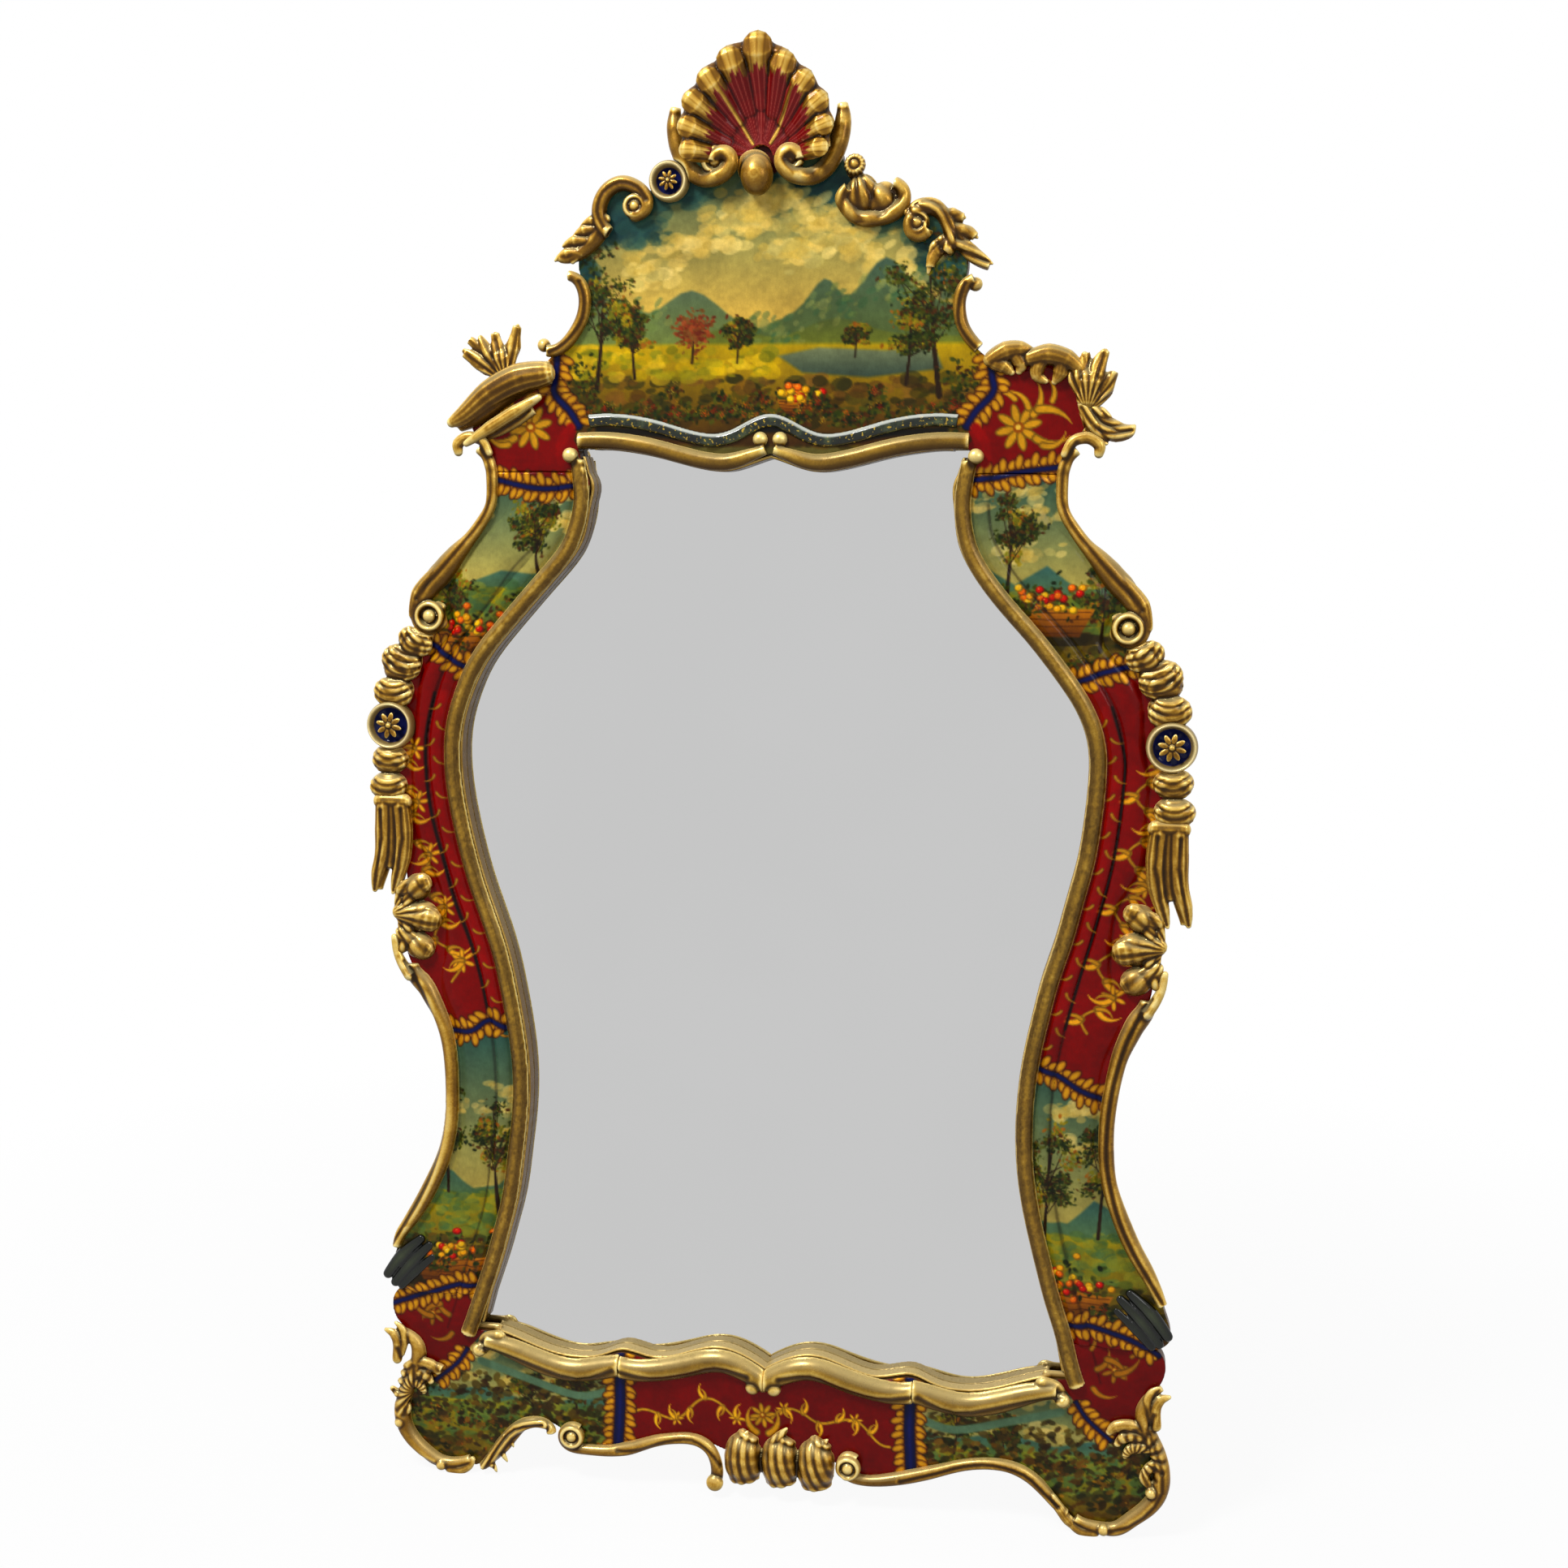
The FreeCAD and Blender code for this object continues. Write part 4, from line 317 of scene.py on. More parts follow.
def mark_relief(piece: Piece, rounds: int = 14, gain: float = 0.2) -> None:
    """Stores how far each point stands proud of its surroundings.

    The value is a half on the piece's ordinary surface, more on its ridges and less in its
    hollows. The finishes paint the ridges light, as burnished leaf and as painted highlight,
    and the hollows dark, as gathered size and dirt and as painted shade.

    Args:
        piece: the piece to mark.
        rounds: how many times the surface is averaged, which sets the reach.
        gain: change of value from the ordinary surface to a marked ridge.
    """
    points = template_points(piece)
    edges = edge_pairs(piece)
    smooth = points
    for _ in range(rounds):
        smooth = neighbour_mean(smooth, edges)
    normals = vertex_normals(piece)
    outwards = np.stack([normals[:, 0], -normals[:, 1], normals[:, 2]], axis=1)
    height = np.einsum("ij,ij->i", points - smooth, outwards)
    shown = height[outwards[:, 1] > 0.1]
    low, middle, high = np.percentile(shown if len(shown) else height, (8, 50, 92))
    spread = max(0.5 * (high - low), 0.12)
    write_values(piece, "relief", np.clip(0.5 + gain * (height - middle) / spread, 0.0, 1.0))


def line_length(line: Line) -> float:
    """The whole length of a line."""
    return sum(math.dist(first, second) for first, second in zip(line[:-1], line[1:]))


def along(line: Line, across: np.ndarray, up: np.ndarray) -> tuple[np.ndarray, np.ndarray]:
    """Places points along a line of the template and beside it.

    Args:
        line: the line's points.
        across: the points' places across.
        up: the points' places up.

    Returns:
        The distance along the line, and the distance to its left, both in millimetres.
    """
    best = np.full(across.shape, np.inf)
    run = np.zeros(across.shape)
    beside = np.zeros(across.shape)
    start = 0.0
    for (ax, az), (bx, bz) in zip(line[:-1], line[1:]):
        length = math.hypot(bx - ax, bz - az)
        ux, uz = (bx - ax) / length, (bz - az) / length
        share = np.clip((across - ax) * ux + (up - az) * uz, 0.0, length)
        gap_x, gap_z = across - ax - share * ux, up - az - share * uz
        distance = np.hypot(gap_x, gap_z)
        nearer = distance < best
        best = np.where(nearer, distance, best)
        run = np.where(nearer, start + share, run)
        beside = np.where(nearer, np.sign(ux * gap_z - uz * gap_x) * distance, beside)
        start += length
    return run, beside


# Finishes


class NodeBench:
    """A material's node tree, with short ways to add and join its nodes."""

    def __init__(self, name: str) -> None:
        """Starts an empty material.

        Args:
            name: the material's name.
        """
        self.material = bpy.data.materials.new(name)
        self.material.use_nodes = True
        self.tree = self.material.node_tree
        self.tree.nodes.clear()
        self.output = self.tree.nodes.new("ShaderNodeOutputMaterial")
        self.coordinates = self.add("ShaderNodeTexCoord").outputs["Object"]

    def feed(self, socket: Socket, value: object) -> None:
        """Links a source to a socket, or sets the socket's own value."""
        if isinstance(value, Socket):
            self.tree.links.new(value, socket)
        else:
            socket.default_value = value

    def add(self, kind: str, settings: dict[str, object] | None = None,
            **inputs: object) -> bpy.types.Node:
        """Adds a node.

        Args:
            kind: the node's type.
            settings: properties of the node itself.
            **inputs: socket values or sources by name, with _ for a space.

        Returns:
            The node.
        """
        node = self.tree.nodes.new(kind)
        for key, value in (settings or {}).items():
            setattr(node, key, value)
        for key, value in inputs.items():
            self.feed(node.inputs[key.replace("_", " ")], value)
        return node

    def noise(self, scale: float, detail: float = 3.0, rough: float = 0.5,
              stretch: tuple[float, float, float] = (1.0, 1.0, 1.0)) -> Socket:
        """A noise value in the object's own space.

        Args:
            scale: features to the metre.
            detail: octaves.
            rough: strength of the finer octaves.
            stretch: scale of each direction.

        Returns:
            The noise factor.
        """
        mapping = self.add("ShaderNodeMapping", Vector=self.coordinates, Scale=stretch)
        node = self.add("ShaderNodeTexNoise", Vector=mapping.outputs["Vector"], Scale=scale,
                        Detail=detail, Roughness=rough)
        return node.outputs["Fac"]

    def math(self, operation: str, first: object, second: object = 0.0,
             clamp: bool = False) -> Socket:
        """A sum, product or other simple working of two values."""
        node = self.add("ShaderNodeMath", {"operation": operation, "use_clamp": clamp})
        for socket, value in zip(node.inputs, (first, second)):
            self.feed(socket, value)
        return node.outputs[0]

    def span(self, value: Socket, low: float, high: float,
             out_low: float = 0.0, out_high: float = 1.0) -> Socket:
        """Maps a value from one span to another, held at its ends."""
        node = self.add("ShaderNodeMapRange", Value=value)
        for name, number in (("From Min", low), ("From Max", high), ("To Min", out_low),
                             ("To Max", out_high)):
            node.inputs[name].default_value = number
        return node.outputs["Result"]

    def mix(self, factor: object, first: object, second: object, blend: str = "MIX") -> Socket:
        """Mixes two colours.

        Args:
            factor: share of the second colour.
            first: the first colour or its source.
            second: the second colour or its source.
            blend: the way of mixing.

        Returns:
            The mixed colour.
        """
        node = self.add("ShaderNodeMix", {"data_type": "RGBA", "blend_type": blend})
        for index, value in ((0, factor), (6, first), (7, second)):
            self.feed(node.inputs[index], value)
        return node.outputs[2]

    def ramp(self, value: Socket, stops: Sequence[tuple[float, Colour]]) -> Socket:
        """A colour for each value.

        Args:
            value: the value to read.
            stops: positions and display colours, lowest first.

        Returns:
            The colour.
        """
        node = self.add("ShaderNodeValToRGB", Fac=value)
        elements = node.color_ramp.elements
        elements[0].position, elements[0].color = stops[0][0], linear(stops[0][1])
        elements[1].position, elements[1].color = stops[-1][0], linear(stops[-1][1])
        for position, colour in stops[1:-1]:
            elements.new(position).color = linear(colour)
        return node.outputs["Color"]

    def attribute(self, name: str, output: str = "Fac") -> Socket:
        """A value that the piece stores at its vertices."""
        return self.add("ShaderNodeAttribute", {"attribute_name": name}).outputs[output]

    def upward(self) -> Socket:
        """How far the surface looks up, from -1 to 1."""
        normal = self.add("ShaderNodeNewGeometry").outputs["Normal"]
        return self.add("ShaderNodeSeparateXYZ", Vector=normal).outputs["Z"]

    def bump(self, height: Socket, millimetres: float, strength: float = 1.0) -> Socket:
        """A fine relief that only bends the light."""
        node = self.add("ShaderNodeBump", Height=height, Strength=strength,
                        Distance=millimetres * MM)
        return node.outputs["Normal"]

    def finish(self, **inputs: object) -> Finish:
        """Closes the material with one shader.

        Args:
            **inputs: the shader's sockets by name, with _ for a space.

        Returns:
            The material.
        """
        shader = self.add("ShaderNodeBsdfPrincipled", **inputs)
        self.tree.links.new(shader.outputs["BSDF"], self.output.inputs["Surface"])
        return self.material


@dataclass(frozen=True)
class Gilding:
    """Water gilding over carved gesso, burnished on the ridges and dirty in the hollows, with
    painted highlight and painted shade laid over both.
    """

    name: str = "gilding"
    # The ramp paints the hollows dark and the ridges light: dirt and burnish, and also painted shade
    # and painted highlight.
    stops: tuple[tuple[float, Colour], ...] = (
        (0.08, (34, 20, 3)), (0.32, (76, 48, 8)), (0.44, (122, 84, 18)),
        (0.53, (172, 126, 36)), (0.62, (222, 180, 80)), (0.80, (252, 226, 144)),
    )
    metallic: float = 0.42
    roughness: float = 0.27
    patches: float = 22.0
    patch_tint: Colour = (168, 128, 44)
    # Painted shade on faces that look down, in the shadow colour; painted light on faces that look
    # up, in the bright colour.
    shadow: Colour = (62, 40, 8)
    underside_shade: float = 0.86
    bright: Colour = (246, 220, 146)
    top_light: float = 0.5
    specular: float = 0.2

    def build(self) -> Finish:
        """Builds the material."""
        bench = NodeBench(self.name)
        relief = bench.attribute("relief")
        drift = bench.span(bench.noise(self.patches, 4.0, 0.6), 0.25, 0.75, -0.07, 0.07)
        grain = bench.span(bench.noise(420.0, 2.0, 0.6), 0.2, 0.8, -0.03, 0.03)
        height = bench.math("ADD", bench.math("ADD", relief, drift), grain, clamp=True)
        # Colour by relief: painted shade in the hollows and painted highlight on the ridges, over
        # dirt and burnish.
        leaf = bench.ramp(height, self.stops)
        worn = bench.span(bench.noise(self.patches * 2.7, 5.0, 0.7), 0.56, 0.74, 0.0, 0.45)
        colour = bench.mix(worn, leaf, linear(self.patch_tint), "MULTIPLY")
        # Painted shade on the undersides and painted light on the upper faces.
        upward = bench.upward()
        under = bench.span(upward, -0.75, 0.15, self.underside_shade, 0.0)
        colour = bench.mix(under, colour, linear(self.shadow))
        upper = bench.span(upward, 0.15, 0.85, 0.0, self.top_light)
        colour = bench.mix(upper, colour, linear(self.bright))
        rough = bench.span(bench.noise(90.0, 3.0), 0.2, 0.8, self.roughness - 0.07,
                           self.roughness + 0.12)
        normal = bench.bump(bench.noise(650.0, 3.0, 0.6), 0.12, 0.5)
        return bench.finish(Base_Color=colour, Metallic=self.metallic, Roughness=rough,
                            Normal=normal, Specular_IOR_Level=self.specular)


@dataclass(frozen=True)
class PaintedLacquer:
    """Oil colours and gold paint under an old glossy varnish with a fine net of cracks."""

    name: str = "painted_wood"
    coat: float = 0.10
    coat_roughness: float = 0.05
    specular: float = 0.06
    crack_scale: float = 260.0
    crack: Colour = (30, 18, 10)

    def build(self) -> Finish:
        """Builds the material."""
        bench = NodeBench(self.name)
        paint = bench.attribute("paint", "Color")
        gilt = bench.attribute("gilt")
        relief = bench.attribute("relief")
        brush = bench.ramp(bench.span(bench.noise(300.0, 4.0, 0.65, (1.0, 1.0, 0.45)), 0.2, 0.8),
                           ((0.0, (226, 226, 226)), (1.0, (255, 255, 255))))
        colour = bench.mix(0.8, paint, brush, "MULTIPLY")
        # Painted shade: the paint is darkened in hollows and grooves by the relief.
        hollow_shade = bench.span(relief, 0.05, 0.40, 0.30, 1.0)
        grey = bench.add("ShaderNodeCombineColor", Red=hollow_shade, Green=hollow_shade, Blue=hollow_shade)
        colour = bench.mix(1.0, colour, grey.outputs["Color"], "MULTIPLY")
        cells = bench.add("ShaderNodeTexVoronoi", {"feature": "DISTANCE_TO_EDGE"},
                          Vector=bench.coordinates, Scale=self.crack_scale)
        cracks = bench.span(cells.outputs["Distance"], 0.0, 0.07)
        colour = bench.mix(bench.math("MULTIPLY", bench.math("SUBTRACT", 1.0, cracks), 0.10),
                           colour, linear(self.crack))
        metallic = bench.math("MULTIPLY", gilt, 0.35)
        rough = bench.span(gilt, 0.0, 1.0, 0.42, 0.36)
        height = bench.math("ADD", bench.math("MULTIPLY", cracks, 0.4),
                            bench.math("ADD", bench.math("MULTIPLY", gilt, 1.6),
                                       bench.noise(160.0, 3.0)))
        normal = bench.bump(height, 0.16, 0.5)
        return bench.finish(Base_Color=colour, Metallic=metallic, Roughness=rough, Normal=normal,
                            Specular_IOR_Level=self.specular, Coat_Weight=self.coat,
                            Coat_Roughness=self.coat_roughness)


@dataclass(frozen=True)
class PolishedBead:
    """The dark, glossy bead over the top sight moulding, with small gold specks in its green and a
    painted highlight along its top.
    """

    name: str = "polished_bead"
    greens: tuple[tuple[float, Colour], ...] = (
        (0.30, (8, 11, 8)), (0.52, (24, 32, 20)), (0.74, (84, 96, 60)))
    speck: Colour = (176, 146, 44)
    highlight_tint: Colour = (206, 210, 200)

    def build(self) -> Finish:
        """Builds the material."""
        bench = NodeBench(self.name)
        stone = bench.ramp(bench.noise(46.0, 5.0, 0.6), self.greens)
        specks = bench.span(bench.noise(230.0, 2.0, 0.5), 0.60, 0.66)
        colour = bench.mix(specks, stone, linear(self.speck))
        # Painted highlight: a pale streak on the faces that look up.
        upward = bench.upward()
        sheen = bench.math("MULTIPLY", bench.span(upward, 0.30, 0.55),
                           bench.span(upward, 0.95, 0.75))
        colour = bench.mix(bench.math("MULTIPLY", sheen, 0.75), colour, linear(self.highlight_tint))
        return bench.finish(Base_Color=colour, Roughness=0.3, Coat_Weight=0.5,
                            Specular_IOR_Level=0.1, Coat_Roughness=0.06,
                            Normal=bench.bump(bench.noise(90.0, 3.0), 0.10, 0.3))


@dataclass(frozen=True)
class Silvering:
    """The looking glass: a silvered plate with the faint haze of its age."""

    name: str = "mirror_glass"
    shade: Colour = (199, 199, 199)
    haze: Colour = (198, 198, 198)

    def build(self) -> Finish:
        """Builds the material."""
        bench = NodeBench(self.name)
        colour = bench.mix(bench.span(bench.noise(3.0, 2.0), 0.4, 0.6), linear(self.shade),
                           linear(self.haze))
        return bench.finish(Base_Color=colour, Metallic=1.0, Roughness=0.02)


@dataclass(frozen=True)
class SawnWood:
    """Plain softwood of the back, with its grain along one direction and saw marks across."""

    name: str
    pale: Colour = (186, 150, 104)
    dark: Colour = (122, 86, 50)
    stretch: tuple[float, float, float] = (1.0, 1.0, 9.0)
    dirt: Colour = (70, 52, 36)
    roughness: float = 0.72

    def build(self) -> Finish:
        """Builds the material."""
        bench = NodeBench(self.name)
        grain = bench.noise(26.0, 6.0, 0.6, self.stretch)
        pores = bench.noise(380.0, 3.0, 0.6, self.stretch)
        colour = bench.ramp(grain, ((0.32, self.dark), (0.55, self.pale), (0.8, self.dark)))
        colour = bench.mix(bench.span(pores, 0.5, 0.8, 0.0, 0.4), colour, linear(self.dark))
        soiled = bench.span(bench.noise(5.0, 3.0), 0.45, 0.75, 0.0, 0.35)
        colour = bench.mix(soiled, colour, linear(self.dirt))
        return bench.finish(Base_Color=colour, Roughness=self.roughness,
                            Normal=bench.bump(pores, 0.3, 0.6))


@dataclass(frozen=True)
class WornSteel:
    """Zinc-plated iron of the screws and hangers, dulled and spotted."""

    name: str
    bright: Colour = (176, 174, 168)
    spot: Colour = (104, 84, 62)

    def build(self) -> Finish:
        """Builds the material."""
        bench = NodeBench(self.name)
        rust = bench.span(bench.noise(190.0, 5.0, 0.7), 0.52, 0.70, 0.0, 0.8)
        colour = bench.mix(rust, linear(self.bright), linear(self.spot))
        rough = bench.span(rust, 0.0, 0.8, 0.30, 0.65)
        return bench.finish(Base_Color=colour, Metallic=0.9, Roughness=rough,
                            Normal=bench.bump(bench.noise(700.0, 2.0), 0.05, 0.5))


@dataclass(frozen=True)
class StudioFloor:
    """A pale floor that reads white to the eye and in the glass, and keeps a soft shadow."""

    name: str = "studio_floor"
    share: float = 0.93

    def build(self) -> Finish:
        """Builds the material."""
        bench = NodeBench(self.name)
        path = bench.add("ShaderNodeLightPath")
        seen = bench.math("MAXIMUM", path.outputs["Is Camera Ray"],
                          bench.math("MAXIMUM", path.outputs["Is Glossy Ray"],
                                     path.outputs["Is Transmission Ray"]))
        cloth = bench.mix(bench.noise(60.0, 3.0), (0.80, 0.80, 0.80, 1.0),
                          (0.86, 0.86, 0.86, 1.0))
        diffuse = bench.add("ShaderNodeBsdfDiffuse", Color=cloth)
        white = bench.add("ShaderNodeEmission", Color=(1.0, 1.0, 1.0, 1.0), Strength=1.0)
        mixer = bench.add("ShaderNodeMixShader")
        across = bench.add("ShaderNodeVectorMath", {"operation": "LENGTH"},
                           Vector=bench.coordinates)
        reach = bench.span(across.outputs["Value"], 1.5, 2.6, self.share, 1.0)
        share = bench.math("MAXIMUM", bench.math("MULTIPLY", seen, reach),
                           path.outputs["Is Glossy Ray"])
        bench.tree.links.new(share, mixer.inputs[0])
        bench.tree.links.new(diffuse.outputs[0], mixer.inputs[1])
        bench.tree.links.new(white.outputs[0], mixer.inputs[2])
        bench.tree.links.new(mixer.outputs[0], bench.output.inputs["Surface"])
        return bench.material


@dataclass
class FinishShelf:
    """Every finish of the mirror, each built once."""

    gilding: Finish = field(default_factory=Gilding().build)
    # The moulding and slip ramps also run from painted shade in the hollows to painted highlight on
    # the ridges.
    moulding: Finish = field(default_factory=Gilding(
        name="moulding_gilding",
        stops=((0.08, (36, 22, 4)), (0.36, (80, 56, 13)), (0.48, (116, 86, 28)),
               (0.57, (156, 118, 36)), (0.68, (212, 174, 78)), (0.86, (248, 220, 136)))).build)
    slip: Finish = field(default_factory=Gilding(
        name="slip_gilding",
        stops=((0.1, (118, 86, 28)), (0.45, (164, 126, 50)), (0.56, (202, 164, 78)),
               (0.9, (244, 216, 138))),
        metallic=0.3).build)
    painted: Finish = field(default_factory=PaintedLacquer().build)
    fin: Finish = field(default_factory=PaintedLacquer(
        name="fin_paint", coat=0.5, coat_roughness=0.12, crack_scale=300.0).build)
    shell: Finish = field(default_factory=PaintedLacquer(
        name="shell_paint", coat=0.15, crack_scale=330.0).build)
    roundel: Finish = field(default_factory=PaintedLacquer(
        name="roundel_paint", coat=0.2, crack_scale=400.0).build)
    bead: Finish = field(default_factory=PolishedBead().build)
    glass: Finish = field(default_factory=Silvering().build)
    bare_wood: Finish = field(default_factory=SawnWood("bare_wood").build)
    bare_wood_level: Finish = field(default_factory=SawnWood(
        "bare_wood_level", stretch=(9.0, 1.0, 1.0)).build)
    backboard: Finish = field(default_factory=SawnWood(
        "backboard", pale=(160, 128, 90), dark=(108, 80, 52), roughness=0.8).build)
    screw_steel: Finish = field(default_factory=WornSteel("screw_steel").build)
    hanger_steel: Finish = field(default_factory=WornSteel(
        "hanger_steel", bright=(190, 186, 176), spot=(120, 104, 84)).build)


def dress(piece: Piece, material: Finish) -> None:
    """Gives every face of a piece one finish.

    Args:
        piece: a new piece or a CAD node.
        material: the finish.
    """
    if piece.material_slots:
        for slot in piece.material_slots:
            slot.material = material
    else:
        piece.data.materials.append(material)


def settle(piece: Piece, replaced: Sequence[str] = (),
           body: str = BODY) -> None:
    """Attaches a finished piece to its body, hides the CAD nodes it stands for, and logs it.

    Args:
        piece: the piece.
        replaced: the CAD nodes that it stands for.
        body: the body that it moves with.
    """
    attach(piece, body)
    if replaced:
        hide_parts(*replaced)
    LOG.info("%s: %d faces", piece.name, len(piece.data.polygons))


# Painting


RED: Colour = (116, 3, 4)
RED_BRIGHT: Colour = (130, 5, 6)
RED_DARK: Colour = (66, 4, 6)
NAVY: Colour = (12, 18, 62)
GOLD: Colour = (204, 158, 52)
GOLD_LIGHT: Colour = (238, 204, 104)
OCHRE: Colour = (164, 116, 38)
BLACK: Colour = (16, 10, 8)
UMBER: Colour = (56, 26, 8)
GROOVE_DARK: Colour = (24, 22, 18)
BARK: Colour = (44, 30, 16)


class PaintCanvas:
    """A sheet in template millimetres that colours are brushed on in code."""

    STEP = 0.8
    WEST, EAST, FOOT, TOP = -560.0, 560.0, -20.0, 1880.0

    def __init__(self, ground: Colour, seed: int) -> None:
        """Primes the sheet.

        Args:
            ground: the display colour of the primer.
            seed: fixes every chance stroke.
        """
        self.columns = int((self.EAST - self.WEST) / self.STEP)
        self.rows = int((self.TOP - self.FOOT) / self.STEP)
        self.colour = np.empty((self.rows, self.columns, 3), np.float32)
        self.colour[:] = ground
        self.gilt = np.zeros((self.rows, self.columns), np.float32)
        self.chance = np.random.default_rng(seed)

    def window(self, west: float, east: float, foot: float,
               top: float) -> tuple[slice, slice, np.ndarray, np.ndarray] | None:
        """The part of the sheet inside a box, with the places of its cells."""
        c0 = max(int((west - self.WEST) / self.STEP), 0)
        c1 = min(int((east - self.WEST) / self.STEP) + 2, self.columns)
        r0 = max(int((foot - self.FOOT) / self.STEP), 0)
        r1 = min(int((top - self.FOOT) / self.STEP) + 2, self.rows)
        if c1 <= c0 or r1 <= r0:
            return None
        across = self.WEST + (np.arange(c0, c1) + 0.5) * self.STEP
        up = self.FOOT + (np.arange(r0, r1) + 0.5) * self.STEP
        x, z = np.meshgrid(across, up)
        return slice(r0, r1), slice(c0, c1), x, z

    def lay(self, rows: slice, columns: slice, cover: np.ndarray, colour: object,
            gilt: float = 0.0) -> None:
        """Lays colour over a part of the sheet.

        Args:
            rows: the rows.
            columns: the columns.
            cover: how opaque the colour is in each cell.
            colour: one display colour, or one for each cell.
            gilt: 1 for gold paint.
        """
        cover = np.clip(cover, 0.0, 1.0).astype(np.float32)
        patch = self.colour[rows, columns]
        patch += cover[..., None] * (np.asarray(colour, np.float32) - patch)
        leaf = self.gilt[rows, columns]
        leaf += cover * (gilt - leaf)

    def area(self, outline: Line, colour: Colour, fade: Colour | None = None,
             soft: float = 1.0, gilt: float = 0.0) -> None:
        """Fills an outline, shading from its foot to its top.

        Args:
            outline: the corners in order.
            colour: the display colour, at the foot where there is a fade.
            fade: the display colour at the top.
            soft: width of the edge in millimetres.
            gilt: 1 for gold paint.
        """
        xs, zs = zip(*outline)
        part = self.window(min(xs) - 3, max(xs) + 3, min(zs) - 3, max(zs) + 3)
        if part is None:
            return
        rows, columns, x, z = part
        inside = np.zeros(x.shape, bool)
        nearest = np.full(x.shape, 1e9)
        for (ax, az), (bx, bz) in zip(outline, list(outline[1:]) + [outline[0]]):
            crosses = ((az > z) != (bz > z)) & (
                x < (bx - ax) * (z - az) / ((bz - az) or 1e-9) + ax)
            inside ^= crosses
            length = max(math.hypot(bx - ax, bz - az), 1e-6)
            ux, uz = (bx - ax) / length, (bz - az) / length
            share = np.clip((x - ax) * ux + (z - az) * uz, 0, length)
            nearest = np.minimum(nearest, np.hypot(x - ax - share * ux, z - az - share * uz))
        cover = 0.5 + np.where(inside, nearest, -nearest) / soft
        if fade is None:
            paint: object = colour
        else:
            level = np.clip((z - min(zs)) / (max(zs) - min(zs)), 0, 1)[..., None]
            paint = np.asarray(colour) * (1 - level) + np.asarray(fade) * level
        self.lay(rows, columns, cover, paint, gilt)

    def stroke(self, line: Line, width: float, colour: Colour, end_width: float | None = None,
               middle: float = 1.0, gilt: float = 0.0, soft: float = 1.0,
               cover: float = 1.0) -> None:
        """Draws a brush stroke along a line.

        Args:
            line: the stroke's points.
            width: its width at the start, in millimetres.
            colour: the display colour.
            end_width: its width at the end.
            middle: how much wider it swells at half its run.
            gilt: 1 for gold paint.
            soft: width of the edge.
            cover: how opaque it is.
        """
        end_width = width if end_width is None else end_width
        reach = max(width, end_width) * max(middle, 1.0) + 3
        xs, zs = zip(*line)
        part = self.window(min(xs) - reach, max(xs) + reach, min(zs) - reach, max(zs) + reach)
        if part is None:
            return
        rows, columns, x, z = part
        run, beside = along(line, x, z)
        total = line_length(line)
        share = run / max(total, 1e-6)
        half = 0.5 * (width + (end_width - width) * share)
        half = half * (1 + (middle - 1) * np.sin(math.pi * share))
        self.lay(rows, columns, cover * (0.5 + (half - np.abs(beside)) / soft), colour, gilt)

    def dab(self, x0: float, z0: float, long: float, short: float, turn: float, colour: Colour,
            gilt: float = 0.0, cover: float = 0.9) -> None:
        """Puts down one oval touch of the brush.

        Args:
            x0: its middle across.
            z0: its middle up.
            long: half its length.
            short: half its width.
            turn: its slope in radians.
            colour: the display colour.
            gilt: 1 for gold paint.
            cover: how opaque it is.
        """
        part = self.window(x0 - long - 2, x0 + long + 2, z0 - long - 2, z0 + long + 2)
        if part is None:
            return
        rows, columns, x, z = part
        a = (x - x0) * math.cos(turn) + (z - z0) * math.sin(turn)
        b = -(x - x0) * math.sin(turn) + (z - z0) * math.cos(turn)
        distance = np.sqrt((a / long) ** 2 + (b / short) ** 2)
        self.lay(rows, columns, cover * np.clip((1.12 - distance) * short * 0.9, 0, 1), colour,
                 gilt)

    def dabs(self, count: int, spread: Callable[[], Point], size: tuple[float, float],
             colours: Sequence[Colour], turn: float = 0.0, loose: float = 0.6,
             cover: float = 0.8) -> None:
        """Scatters touches of several colours.

        Args:
            count: how many touches.
            spread: gives the place of the next touch.
            size: half lengths from and to.
            colours: the display colours to choose from.
            turn: their usual slope.
            loose: how far the slope strays.
            cover: how opaque they are.
        """
        for _ in range(count):
            x, z = spread()
            long = self.chance.uniform(*size)
            colour = colours[int(self.chance.integers(len(colours)))]
            shift = self.chance.uniform(-12, 12)
            self.dab(x, z, long, long * self.chance.uniform(0.4, 0.75),
                     turn + self.chance.uniform(-loose, loose),
                     tuple(part + shift for part in colour), cover=cover)

    def ragged(self, line: Line, side: float) -> None:
        """Draws one ragged gold border of leaf curls beside a band.

        Args:
            line: the border's line.
            side: 1 for curls to the left of the line's direction, -1 for the right.
        """
        for width, colour, gilt in ((7.0, UMBER, 0.0), (4.6, OCHRE, 1.0), (2.76, GOLD, 1.0)):
            self.stroke(line, width, colour, gilt=gilt)
        for number, start in enumerate(np.arange(3.0, line_length(line) - 2.0, 9.5)):
            x, z, ux, uz = point_at(line, start)
            reach = 8.0 + 6.0 * abs(math.sin(number * 1.7 + line[0][0]))
            way = math.atan2(ux * side, -uz * side) - side * (0.75 if number % 2 else 0.35)
            cx, cz = x + math.cos(way) * reach * 0.45, z + math.sin(way) * reach * 0.45
            self.dab(cx, cz, reach * 0.66 + 1.0, 5.4, way, (60, 26, 8), cover=0.9)
            self.dab(cx, cz, reach * 0.62, 4.4, way, OCHRE, 1.0, 1.0)
            self.dab(cx, cz, reach * 0.50, 2.8, way, GOLD, 1.0, 1.0)

